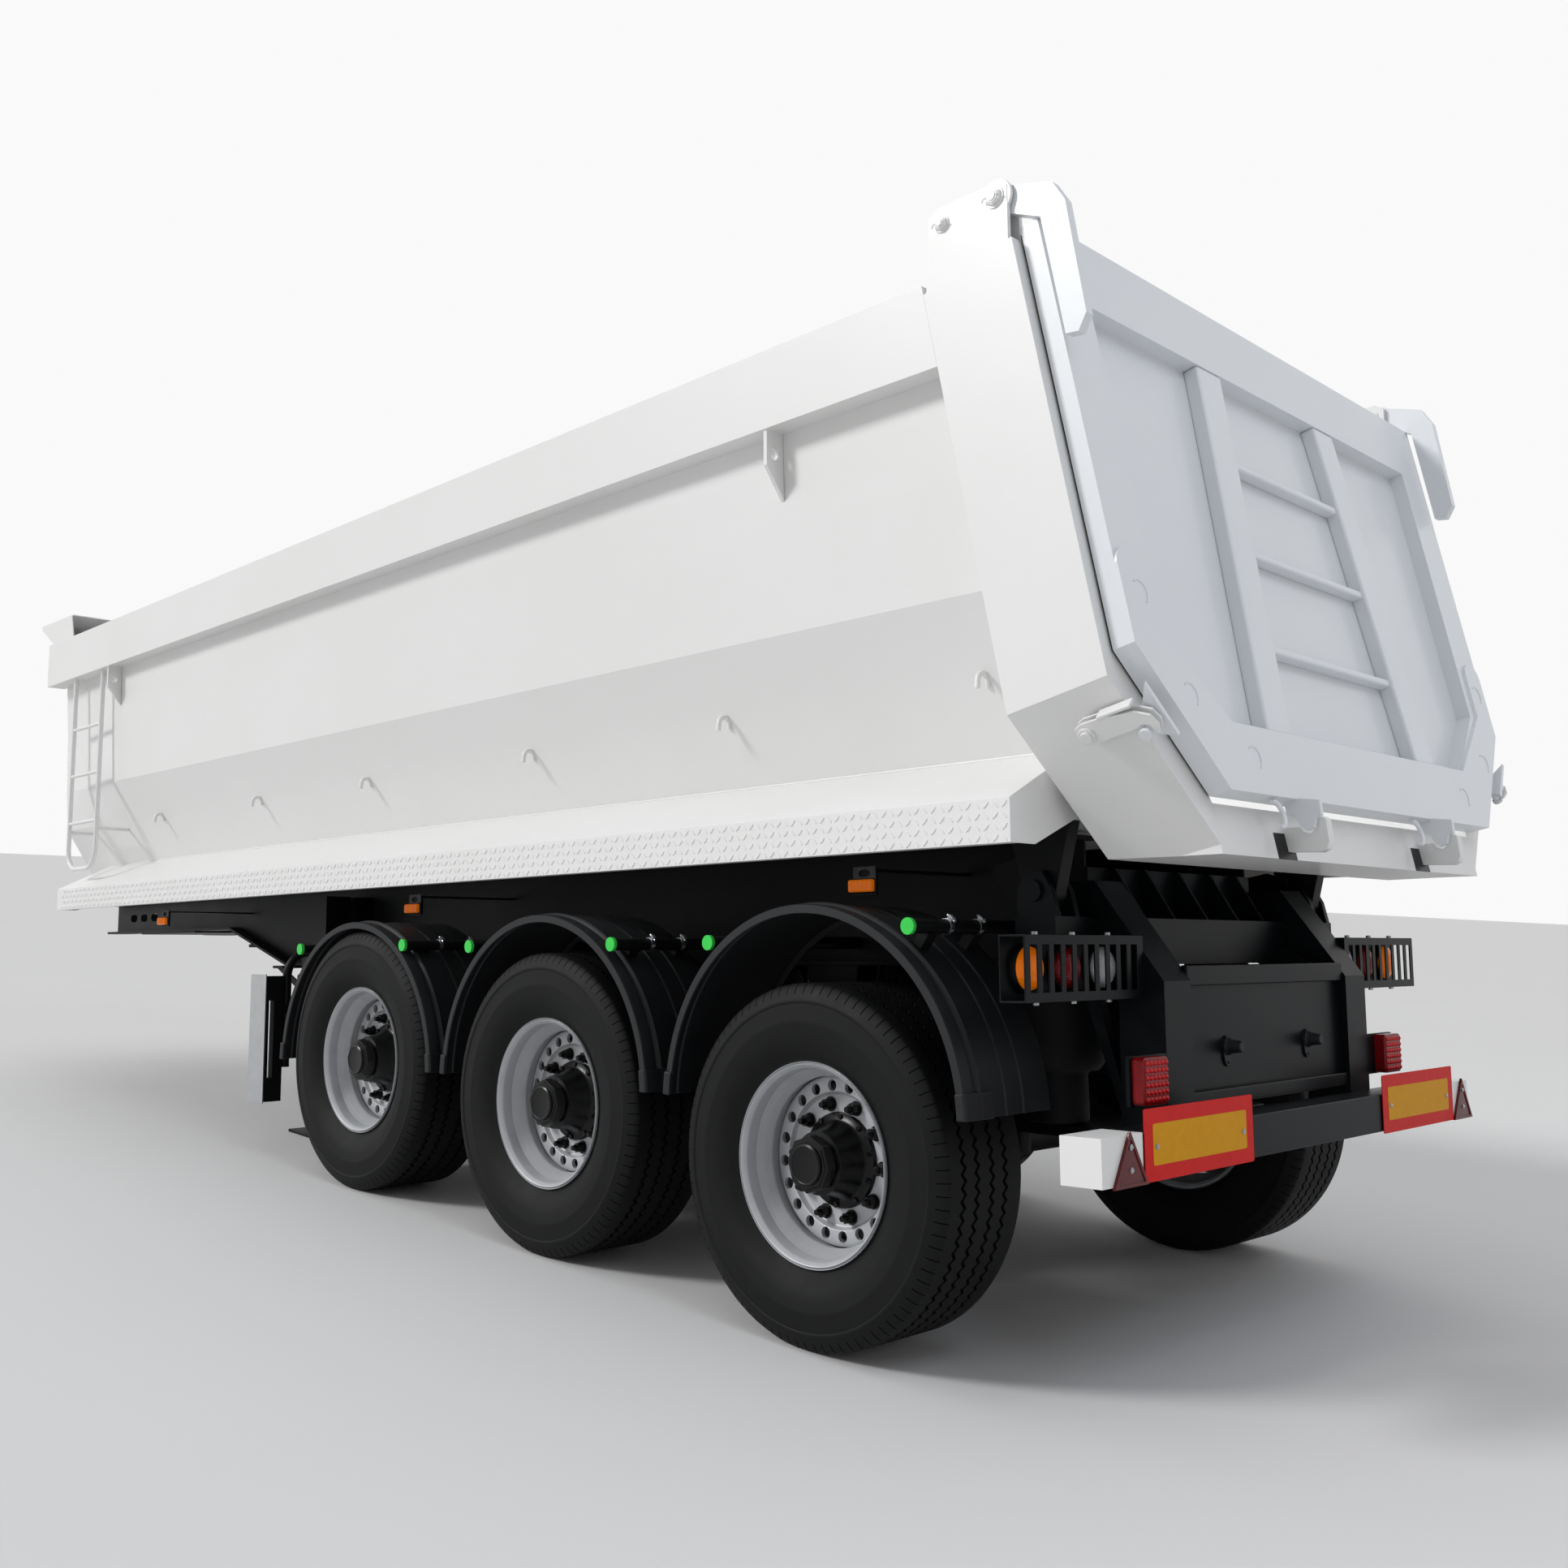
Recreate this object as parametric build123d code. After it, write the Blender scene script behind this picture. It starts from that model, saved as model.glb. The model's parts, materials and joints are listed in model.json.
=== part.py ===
"""Three-axle tipper semi-trailer, parked on its landing legs.

Millimetres. Row frame: +X forward, +Y left, +Z up, origin on the ground under the middle of the
bounding box. The chassis and the tipping body are drawn level in the chassis frame, whose origin
lies on the ground under the rear axle, and are then pitched nose-down into the parked stance.
"""
import os
from math import atan2, cos, degrees, hypot, radians, sin, tan

from build123d import *

# Stance: how the parked trailer leans on its landing legs.
NOSE_DOWN_DEG = 4.2
RIDE_LIFT = 10.0

# Fits.
SEAT_GAP = 0.3
RUNNING_GAP = 0.5
MOVING_GAP = 8.0

# Overall width, which the wheels, the beams and the body follow.
HALF_WIDTH = 1250.0

# Running gear.
AXLE_COUNT = 3
TYRE_RADIUS = 530.0
TYRE_WIDTH = 385.0
TYRE_GAP = 250.0
TYRE_BEVEL = 30.0
AXLE_SPACING = 2 * TYRE_RADIUS + TYRE_GAP
WHEEL_CENTRE_Y = HALF_WIDTH - 210.0
RIM_HALF_WIDTH = 160.0
RIM_FLANGE_RADIUS = 300.0
RIM_SEAT_RADIUS = 286.0
RIM_WALL = 10.0
WELL_DEPTH = 36.0
DISC_DEPTH = 120.0
DISC_THICKNESS = 13.0
DISC_KNEE_RADIUS = 188.0
VENT_STEP = 12.0
HUB_RADIUS = 140.0
HUB_BARREL_RADIUS = 112.0
HUB_CAP_RADIUS = 70.0
VENT_COUNT = 20
VENT_RADIUS = 17.0
VENT_CIRCLE_RADIUS = 219.0
DRUM_RADIUS = 205.0
DRUM_WALL = 18.0
SPINDLE_RADIUS = 45.0
AXLE_TUBE = 130.0
HANGER_REACH = 500.0
HANGER_PIN_Z = TYRE_RADIUS + 270.0
HANGER_PIN_RADIUS = 24.0
SPRING_RADIUS = 155.0
SPRING_REACH = 400.0

# Chassis beams.
BEAM_Y = WHEEL_CENTRE_Y - 540.0
BEAM_BOTTOM = 2 * TYRE_RADIUS + 35.0
BEAM_TOP = BEAM_BOTTOM + 400.0
NECK_BOTTOM = BEAM_BOTTOM + 205.0
NECK_FRONT_X = 6980.0
NECK_START_X = 5200.0
BEAM_SLOPE_X = 4500.0
BEAM_REAR_X = -560.0
FLANGE_WIDTH = 140.0
FLANGE = 14.0
WEB = 10.0
BEAM_SLOT_XS = [6400.0, 6560.0, 6720.0]
BEAM_SLOT_LENGTH = 100.0
BEAM_SLOT_HEIGHT = 48.0
CROSS_MEMBER_XS = [200.0, 900.0, 1600.0, 2250.0, 3050.0, 3800.0, 4500.0]
CROSS_MEMBER = 120.0
CROSS_MEMBER_BOTTOM = BEAM_BOTTOM + 85.0
CROSS_MEMBER_TOP = BEAM_BOTTOM + 235.0
NECK_MEMBER_XS = [5300.0, 6270.0, NECK_FRONT_X - 60.0]
NECK_MEMBER = 90.0
NECK_MEMBER_BOTTOM = NECK_BOTTOM + FLANGE + 6.0
REST_PAD_XS = [200.0, 1800.0, 3400.0, 5000.0]
REST_PAD_LENGTH = 600.0
REST_PAD_WIDTH = 100.0
TANK_XS = [3130.0, 3420.0]
TANK_RADIUS = 123.0
TANK_END = 36.0
TANK_Z = BEAM_BOTTOM - 165.0
TANK_STRAP_Y = BEAM_Y / 2
TANK_STRAP = 40.0

# Kingpin of 50 mm, in its coupler plate.
KINGPIN_X = 6050.0
KINGPIN_COLLAR_RADIUS = 36.5
KINGPIN_NECK_RADIUS = 25.4
KINGPIN_FOOT_RADIUS = 35.7
KINGPIN_FLANGE_RADIUS = 110.0
KINGPIN_DROP = 84.0
KINGPIN_COLLAR = 30.0
KINGPIN_FOOT = 19.0
COUPLER_PLATE = 10.0
COUPLER_REAR_X = KINGPIN_X - 400.0
COUPLER_FRONT_X = KINGPIN_X + 380.0

# Tipping body.
WALL = 8.0
FLOOR_TOP = BEAM_TOP + 25.0
FLOOR_PLATE = 8.0
FLOOR_INSET = 380.0
BODY_TOP = FLOOR_TOP + 1510.0
RAIL_BOTTOM = BODY_TOP - 255.0
RAIL_WIDTH = 80.0
FRONT_X = 6250.0
FRONT_TAPER = 20.0
CORNER_X = 5450.0
RAIL_FRONT_X = FRONT_X + 50.0
LEAN_DEG = 11.7
PORTAL_TOP = BODY_TOP + 35.0
PORTAL_REAR_X = -880.0
PORTAL_DEPTH = 318.0
SILL_BOTTOM = FLOOR_TOP - 135.0
SILL_LIP = 25.0
SILL_HALF = HALF_WIDTH - FLOOR_INSET
POST_KNEE_Z = FLOOR_TOP + 300.0
BEARER_Y = BEAM_Y - 190.0
BEARER_WIDTH = 60.0
BEARER_DEPTH = 55.0
FRONT_RIB_Y = HALF_WIDTH - 550.0
FRONT_RIB = 90.0
FRONT_RIB_DEPTH = 55.0

# Outer line of the folded side wall, drawn in from the half-width: (inset behind the corner fold,
# inset at the front wall, height).
FOLD_INSETS = [
    (RAIL_WIDTH, RAIL_WIDTH + FRONT_TAPER, BODY_TOP),
    (RAIL_WIDTH, RAIL_WIDTH + FRONT_TAPER, RAIL_BOTTOM),
    (88.0, 118.0, FLOOR_TOP + 955.0),
    (100.0, 128.0, FLOOR_TOP + 615.0),
    (205.0, 142.0, FLOOR_TOP + 390.0),
    (FLOOR_INSET, FLOOR_INSET, FLOOR_TOP - FLOOR_PLATE),
]
SIDE_FOLDS = [(HALF_WIDTH - behind, HALF_WIDTH - ahead, z) for behind, ahead, z in FOLD_INSETS]

# Pocket in the front wall that the hoist swings into.
POCKET_HALF = 190.0
POCKET_DEPTH = 270.0
POCKET_TOP = FLOOR_TOP + 810.0

# Tipping hinge, and the tailgate hinge over the rear posts.
TIP_X = -620.0
TIP_Z = FLOOR_TOP - 210.0
TIP_PIN_RADIUS = 32.0
TIP_EAR_Y = SILL_HALF - 125.0
TIP_EAR = 22.0
TIP_SLOT = 71.0
TIP_LUG_REACH = TIP_PIN_RADIUS + 26.0
GATE_PIN_X = -824.0
GATE_PIN_Z = PORTAL_TOP + 133.0
GATE_PIN_RADIUS = 20.0
GATE_EYE_RADIUS = GATE_PIN_RADIUS + 24.0
STAY_PIN_X = GATE_PIN_X + 184.0
STAY_PIN_RADIUS = 16.0
HINGE_PLATE = 14.0
HINGE_OUTER_Y = HALF_WIDTH - 18.0
HINGE_SLOT = 40.0
HINGE_INNER_Y = HINGE_OUTER_Y - HINGE_SLOT - HINGE_PLATE

# Step skirt along the lower wall, ladder, visor, lashing lugs and rope hooks.
SKIRT_BOTTOM = FLOOR_TOP - 100.0
SKIRT_TOP = FLOOR_TOP + 20.0
SKIRT_MEET_Z = FLOOR_TOP + 170.0
SKIRT_REAR_X = -830.0
SKIRT_FRONT_X = FRONT_X - 285.0
SKIRT_LIP = 40.0
SHEET = 5.0
LADDER_REAR_X = 5520.0
LADDER_WIDTH = 406.0
LADDER_FOOT_Z = FLOOR_TOP + 130.0
LADDER_BEND = 120.0
LADDER_STILE_RADIUS = 13.0
LADDER_RUNG_RADIUS = 10.0
LADDER_RUNG_ZS = [FLOOR_TOP + 950.0, FLOOR_TOP + 675.0, FLOOR_TOP + 398.0]
LADDER_STAY_Z = FLOOR_TOP + 350.0
VISOR_REACH = 250.0
VISOR_RISE = 148.0
VISOR_FOOT = 12.0
VISOR_LIP = 6.0
LASHING_LUG_XS = [85.0, 5375.0]
LASHING_LUG = 14.0
LASHING_HOLE_RADIUS = 18.0
ROPE_HOOK_XS = [-610.0, 470.0, 1580.0, 2810.0, 3860.0, 5020.0]
ROPE_HOOK_WIDTH = 18.0

# Tailgate.
GATE_GAP = 8.0
GATE_DEPTH = 66.0
GATE_INSET = 40.0
GATE_HALF = HALF_WIDTH - GATE_INSET
GATE_TOP = PORTAL_TOP + 35.0
GATE_KNEE_Z = FLOOR_TOP + 368.0
GATE_BOTTOM = FLOOR_TOP + 14.0
GATE_FOOT_LAP = 18.0
GATE_FOOT_HALF = SILL_HALF + GATE_FOOT_LAP
GATE_RAIL_Z = GATE_TOP - 214.0
GATE_STILE = 177.0
GATE_SKIN = 8.0
APRON = 8.0
APRON_Z = FLOOR_TOP + 205.0
APRON_EAR_Z = FLOOR_TOP + 632.0
APRON_EAR_WIDTH = 130.0
APRON_EAR_ROUND = 55.0
APRON_BEVEL = 240.0
GATE_RIB_WIDTH = 146.0
GATE_RIB_TOP_Y = 384.0
GATE_RIB_FOOT_Y = 503.0
GATE_RUNG_ZS = [FLOOR_TOP + 1070.0, FLOOR_TOP + 776.0, FLOOR_TOP + 474.0]
GATE_RUNG = 60.0
GATE_LOCK_Y = 469.0
LATCH_Z = FLOOR_TOP + 215.0
LATCH_LENGTH = 176.0
LATCH_WIDTH = 46.0

# Mudguards, each shifted along from its axle.
GUARD_CLEARANCE = 82.0
GUARD_RADIUS = TYRE_RADIUS + GUARD_CLEARANCE
GUARD_CENTRE_Z = TYRE_RADIUS + 138.0
GUARD_SHIFTS = [10.0, 26.0, 27.0]
GUARD_INNER_Y = WHEEL_CENTRE_Y - 210.0
GUARD_OUTER_Y = WHEEL_CENTRE_Y + 182.0
GUARD_SKIN = 6.0
GUARD_LIP = 24.0
GUARD_FOOT_DEG = 8.0
GUARD_FOOT_PROUD = 9.0
GUARD_TUBE_RADIUS = 21.0
GUARD_TUBE_INSET = 14.0
SADDLE_LENGTH = 36.0
SADDLE_WIDTH = 40.0
PLUG_PROUD = 12.0
# Mudguard tubes: (guard, degrees ahead of its top, height over its shell).
GUARD_TUBES = [
    (0, -37.7, 72.0),
    (0, 39.3, 39.0),
    (1, -39.6, 42.0),
    (1, 41.6, 62.0),
    (2, -36.5, 27.0),
    (2, 43.4, 82.0),
]

# Rear frame, bumper and lamps.
CROSS_BOX_DEPTH = 140.0
CROSS_BOX_TOP = BEAM_BOTTOM + 141.0
POST_INNER_Y = BEAM_Y + 6.0
POST_OUTER_Y = POST_INNER_Y + 146.0
POST_REAR_X = -911.0
POST_DEPTH = 150.0
POST_BEND_Z = BEAM_BOTTOM - 45.0
STRUT_TOP_X = -690.0
STRUT_TOP_Z = BEAM_BOTTOM + 250.0
CLOSING_PLATE = 12.0
CLOSING_TOP = BEAM_TOP - 100.0
STIFFENER_YS = [-0.75, -0.4, 0.0, 0.4, 0.75]
PANEL_SETBACK = 31.0
PANEL_PLATE = 12.0
PANEL_TOP = BEAM_BOTTOM - 55.0
PANEL_HEAD = 50.0
BUMPER_HALF = HALF_WIDTH - 72.0
BUMPER_SIZE = 120.0
BUMPER_WALL = 6.0
BUMPER_BOTTOM = BEAM_BOTTOM - 548.0
BUMPER_TOP = BUMPER_BOTTOM + BUMPER_SIZE
SQUARE_LAMP = 130.0
SQUARE_LAMP_Y = POST_OUTER_Y + 118.0
SQUARE_LAMP_Z = BUMPER_TOP + 115.0
SQUARE_LAMP_DEPTH = 42.0
PLATE_LAMP_Y = POST_INNER_Y - 246.0
PLATE_LAMP_Z = PANEL_TOP - 190.0
LAMP_BOX_REAR_X = -847.0
LAMP_BOX_DEPTH = 85.0
LAMP_BOX_BOTTOM = BEAM_BOTTOM - 93.0
LAMP_BOX_TOP = LAMP_BOX_BOTTOM + 178.0
LAMP_BOX_OUTER_Y = HALF_WIDTH - 27.0
LAMP_SLOTS = 10
LAMP_SLOT_WIDTH = 32.0
LAMP_SLOT_MARGIN = 26.0
LAMP_COUNT = 3
LAMP_FIRST = 118.0
LAMP_PITCH = 175.0
LAMP_RADIUS = 66.0
LAMP_PROUD = 42.0
MARKER_XS = [-95.0, 2484.0, 5044.0]
MARKER_LENGTH = 104.0
MARKER_HEIGHT = 44.0
MARKER_DEPTH = 28.0
MARKER_Z = BEAM_TOP - 155.0
MARKER_Y = HALF_WIDTH - 250.0
MARKER_ARM_Z = MARKER_Z + 54.0

# Landing legs, side guards and hoist.
LEG_X = 3800.0
LEG_Y = BEAM_Y + 180.0
LEG_TUBE = 130.0
LEG_WALL = 14.0
LEG_SPLIT_Z = BEAM_BOTTOM - 335.0
LEG_PIN_RISE = 95.0
LEG_BRACE_REACH = 590.0
FOOT_SIZE = 260.0
FOOT_PLATE = 14.0
SIDE_GUARD_X = 3410.0
SIDE_GUARD_LENGTH = 150.0
SIDE_GUARD_PLATE = 6.0
SIDE_GUARD_BOTTOM = 475.0
SIDE_GUARD_TOP = SIDE_GUARD_BOTTOM + 585.0
SIDE_GUARD_OUTER_Y = HALF_WIDTH - 40.0
SIDE_POST_WIDTH = 84.0
SIDE_POST_DEPTH = 40.0
SIDE_TUBE_RADIUS = 20.0
SIDE_TUBE_Z = BEAM_BOTTOM + 65.0
SIDE_TUBE_BEND = 110.0
HOIST_X = 6560.0
HOIST_Z = BEAM_TOP - 150.0
HOIST_EYE_X = 6520.0
HOIST_EYE_Z = BODY_TOP - 100.0
HOIST_RADIUS = 106.0
HOIST_STEP = 13.0
HOIST_CLEARANCE = 0.8
HOIST_STAGES = 4
HOIST_HEAD = 200.0
HOIST_COLLAR = 22.0
TRUNNION_RADIUS = 35.0
TRUNNION_REACH = 150.0
KNUCKLE_RADIUS = 55.0
KNUCKLE_HALF = 60.0
BRACKET_PLATE = 18.0
BRACKET_INNER_Y = KNUCKLE_HALF + 17.0

STANCE = Pos(0, 0, RIDE_LIFT) * Rot(0, NOSE_DOWN_DEG, 0)


def box(x0, x1, y0, y1, z0, z1):
    """A block between two corners."""
    centre = ((x0 + x1) / 2, (y0 + y1) / 2, (z0 + z1) / 2)
    return Pos(*centre) * Box(abs(x1 - x0), abs(y1 - y0), abs(z1 - z0))


def plate_y(points, y0, y1):
    """A plate with an outline in X and Z, from y0 to y1."""
    plane = Plane(origin=(0, y1, 0), x_dir=(1, 0, 0), z_dir=(0, -1, 0))
    return extrude(plane * Polygon(*points, align=None), y1 - y0, dir=(0, -1, 0))


def section_x(points, x0, x1):
    """A bar with a section in Y and Z, from x0 to x1."""
    plane = Plane(origin=(x0, 0, 0), x_dir=(0, 1, 0), z_dir=(1, 0, 0))
    return extrude(plane * Polygon(*points, align=None), x1 - x0, dir=(1, 0, 0))


def rod_y(x, z, radius, y0, y1):
    """A round bar across the trailer."""
    return Pos(x, (y0 + y1) / 2, z) * Rot(90, 0, 0) * Cylinder(radius, abs(y1 - y0))


def rod_x(y, z, radius, x0, x1):
    """A round bar along the trailer."""
    return Pos((x0 + x1) / 2, y, z) * Rot(0, 90, 0) * Cylinder(radius, abs(x1 - x0))


def rod_z(x, y, radius, z0, z1):
    """An upright round bar."""
    return Pos(x, y, (z0 + z1) / 2) * Cylinder(radius, abs(z1 - z0))


def mirrored(shapes):
    """The given left-hand shapes and their right-hand twins."""
    return list(shapes) + [mirror(shape, about=Plane.XZ) for shape in shapes]


def joined(shapes):
    """One shape fused from several."""
    total = shapes[0]
    for shape in shapes[1:]:
        total = total + shape
    return total


def group(shapes):
    """Several separate solids of one node."""
    solids = []
    for shape in shapes:
        solids.extend(shape.solids())
    return Compound(solids)


def wall_y(z, column=0):
    """Half-width of the wall's outer line at a height."""
    for upper, lower in zip(SIDE_FOLDS, SIDE_FOLDS[1:]):
        if upper[2] >= z >= lower[2]:
            share = (z - lower[2]) / (upper[2] - lower[2])
            return lower[column] + share * (upper[column] - lower[column])
    return SIDE_FOLDS[-1][column]


def corner_y(x, z):
    """Half-width of the wall's outer line in the front corner panel."""
    share = (x - CORNER_X) / (FRONT_X - CORNER_X)
    return wall_y(z) + share * (wall_y(z, 1) - wall_y(z))


def portal_x(z):
    """Chassis x of the leaning rear plane of the body at a height."""
    return PORTAL_REAR_X - (PORTAL_TOP - z) * tan(radians(LEAN_DEG))


PORTAL = Pos(portal_x(FLOOR_TOP), 0, FLOOR_TOP) * Rot(0, LEAN_DEG, 0)


def rise(z):
    """Distance up the leaning rear plane from the floor line to a height."""
    return (z - FLOOR_TOP) / cos(radians(LEAN_DEG))


def leaning(points, x0, x1):
    """A plate on the leaning rear plane, its outline in Y and chassis height."""
    return PORTAL * section_x([(y, rise(z)) for y, z in points], x0, x1)


def both_sides(points):
    """A closed outline from its left half, listed from the top down."""
    return points + [(-y, z) for y, z in reversed(points)]


REAR_CUT = PORTAL * box(-2000, 0, -1500, 1500, -1000, 3000)


# Wheels and axles, level on the ground.

def tyre():
    """A tyre about the Y axis: bulged sidewalls, bevelled shoulders and a flat crown."""
    half = TYRE_WIDTH / 2
    bead = RIM_HALF_WIDTH - RIM_WALL - SEAT_GAP
    seat = RIM_SEAT_RADIUS + SEAT_GAP
    clinch = RIM_FLANGE_RADIUS + 14
    shoulder = TYRE_RADIUS - TYRE_BEVEL
    side = [
        (seat, bead), (clinch, bead), (clinch + 60, half), (shoulder - 50, half), (shoulder, half - 8),
        (TYRE_RADIUS, half - TYRE_BEVEL),
    ]
    outline = side + [(radius, -y) for radius, y in reversed(side)]
    return revolve(make_face(Polyline(*outline, close=True)), Axis.Y)


def wheel():
    """A dished disc wheel with its hub and drum about the Y axis, outboard along +Y."""
    flange = RIM_HALF_WIDTH
    lip = flange - RIM_WALL
    well = RIM_SEAT_RADIUS - WELL_DEPTH
    bell = well - RIM_WALL
    outer = [
        (RIM_FLANGE_RADIUS, flange), (RIM_FLANGE_RADIUS, lip), (RIM_SEAT_RADIUS, lip),
        (RIM_SEAT_RADIUS - 6, lip - 50),
        (well, lip - 85),
    ]
    inner = [(RIM_SEAT_RADIUS - 2, flange), (RIM_SEAT_RADIUS - 16, lip - 44), (bell, lip - 82)]
    barrel = [*outer, *[(r, -y) for r, y in reversed(outer)], *[(r, -y) for r, y in inner], *reversed(inner)]
    face = flange - DISC_DEPTH
    back = face - DISC_THICKNESS
    vent_in = VENT_CIRCLE_RADIUS - VENT_RADIUS - 3
    vent_face = face - VENT_STEP
    disc = [
        (HUB_RADIUS, face), (DISC_KNEE_RADIUS, face), (vent_in, vent_face), (bell + 1, vent_face),
        (bell + 1, vent_face - DISC_THICKNESS), (vent_in, vent_face - DISC_THICKNESS),
        (DISC_KNEE_RADIUS, back),
        (HUB_RADIUS, back),
    ]
    bore = SPINDLE_RADIUS + RUNNING_GAP
    drum_front = back - 12
    drum_web = drum_front - 22
    cap_face = flange - RIM_WALL
    cap_back = cap_face - 42
    core = [
        (0, face - 6), (0, cap_face), (HUB_CAP_RADIUS - 8, cap_face), (HUB_CAP_RADIUS, cap_face - 8),
        (HUB_CAP_RADIUS, cap_back), (HUB_BARREL_RADIUS - 8, cap_back - 4), (HUB_BARREL_RADIUS, face + 10),
        (HUB_RADIUS + 1, face + 10), (HUB_RADIUS + 1, drum_front), (DRUM_RADIUS, drum_front),
        (DRUM_RADIUS, 20 - flange),
        (DRUM_RADIUS - DRUM_WALL, 20 - flange), (DRUM_RADIUS - DRUM_WALL, drum_web),
        (2 * SPINDLE_RADIUS, drum_web),
        (2 * SPINDLE_RADIUS - 10, -70), (bore, -70), (bore, face - 6),
    ]
    solid = joined([revolve(make_face(Polyline(*line, close=True)), Axis.Y) for line in (barrel, disc, core)])
    vent = Pos(VENT_CIRCLE_RADIUS, 0, 0) * Rot(90, 0, 0) * Cylinder(VENT_RADIUS, flange)
    for index in range(VENT_COUNT):
        solid -= Rot(0, (index + 0.5) * 360 / VENT_COUNT, 0) * vent
    return solid


def axle_in_chassis(index):
    """Chassis x and z of an axle that stands level on the ground."""
    pitch = radians(NOSE_DOWN_DEG)
    level_x = index * AXLE_SPACING
    level_z = TYRE_RADIUS - RIDE_LIFT
    return level_x * cos(pitch) - level_z * sin(pitch), level_x * sin(pitch) + level_z * cos(pitch)


def axles():
    """Axle tubes with spindles that run in the hubs."""
    tube_end = WHEEL_CENTRE_Y - RIM_HALF_WIDTH - 40
    spindle_end = WHEEL_CENTRE_Y + RIM_HALF_WIDTH - DISC_DEPTH - 6 - SEAT_GAP
    shapes = []
    for index in range(AXLE_COUNT):
        x, z = axle_in_chassis(index)
        tube = rod_y(x, z, AXLE_TUBE / 2, -tube_end, tube_end)
        shapes.append(tube + rod_y(x, z, SPINDLE_RADIUS, -spindle_end, spindle_end))
    return group(shapes)


# Chassis.

def beam_outline(inset):
    """Side outline of a main beam, drawn in from its edges."""
    return [
        (BEAM_REAR_X, BEAM_BOTTOM + inset), (BEAM_SLOPE_X, BEAM_BOTTOM + inset),
        (NECK_START_X, NECK_BOTTOM + inset), (NECK_FRONT_X, NECK_BOTTOM + inset),
        (NECK_FRONT_X, BEAM_TOP - inset), (BEAM_REAR_X, BEAM_TOP - inset),
    ]


def main_beams():
    """Two I-beams that step up into the neck, with lightening slots near the front."""
    half = FLANGE_WIDTH / 2
    solid = plate_y(beam_outline(0), BEAM_Y - half, BEAM_Y + half)
    side = plate_y(beam_outline(FLANGE), WEB / 2, half + 1)
    for x, foot in ((BEAM_REAR_X, BEAM_BOTTOM), (NECK_FRONT_X, NECK_BOTTOM)):
        side += box(x - FLANGE - 1, x + FLANGE + 1, WEB / 2, half + 1, foot + FLANGE, BEAM_TOP - FLANGE)
    solid -= Pos(0, BEAM_Y, 0) * side
    solid -= Pos(0, BEAM_Y, 0) * mirror(side, about=Plane.XZ)
    for x in BEAM_SLOT_XS:
        slot = Plane.XZ * Pos(x, (BEAM_TOP + NECK_BOTTOM) / 2) * SlotOverall(BEAM_SLOT_LENGTH, BEAM_SLOT_HEIGHT)
        solid -= Pos(0, BEAM_Y, 0) * extrude(slot, WEB, both=True)
    return group(mirrored([solid]))


def cross_members():
    """Boxes between the beam webs."""
    web = BEAM_Y - WEB / 2
    half = CROSS_MEMBER / 2
    neck_half = NECK_MEMBER / 2
    shapes = [
        box(x - half, x + half, -web, web, CROSS_MEMBER_BOTTOM, CROSS_MEMBER_TOP)
        for x in CROSS_MEMBER_XS
    ]
    for x in NECK_MEMBER_XS:
        shapes.append(box(x - neck_half, x + neck_half, -web, web, NECK_MEMBER_BOTTOM, BEAM_TOP - 60))
    return group(shapes)


def rest_pads():
    """Strips on the beams that the tipping body rests on."""
    top = FLOOR_TOP - FLOOR_PLATE - RUNNING_GAP
    half = REST_PAD_WIDTH / 2
    strips = [box(x, x + REST_PAD_LENGTH, BEAM_Y - half, BEAM_Y + half, BEAM_TOP, top) for x in REST_PAD_XS]
    return group(mirrored(strips))


def coupler_plate():
    """Rubbing plate under the neck."""
    half = BEAM_Y + FLANGE_WIDTH / 2
    plate = box(COUPLER_REAR_X, COUPLER_FRONT_X, -half, half, NECK_BOTTOM - COUPLER_PLATE, NECK_BOTTOM)
    return plate - rod_z(KINGPIN_X, 0, KINGPIN_COLLAR_RADIUS, 0, BEAM_TOP)


def kingpin():
    """Kingpin with its collar, neck and foot, and its flange on top of the plate."""
    under = NECK_BOTTOM - COUPLER_PLATE
    foot = under - KINGPIN_DROP
    neck_top = under - KINGPIN_COLLAR
    return joined([
        rod_z(KINGPIN_X, 0, KINGPIN_FLANGE_RADIUS, NECK_BOTTOM, NECK_BOTTOM + FLANGE),
        rod_z(KINGPIN_X, 0, KINGPIN_COLLAR_RADIUS, neck_top, NECK_BOTTOM + 1),
        rod_z(KINGPIN_X, 0, KINGPIN_NECK_RADIUS, foot, neck_top),
        rod_z(KINGPIN_X, 0, KINGPIN_FOOT_RADIUS, foot, foot + KINGPIN_FOOT),
    ])


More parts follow.
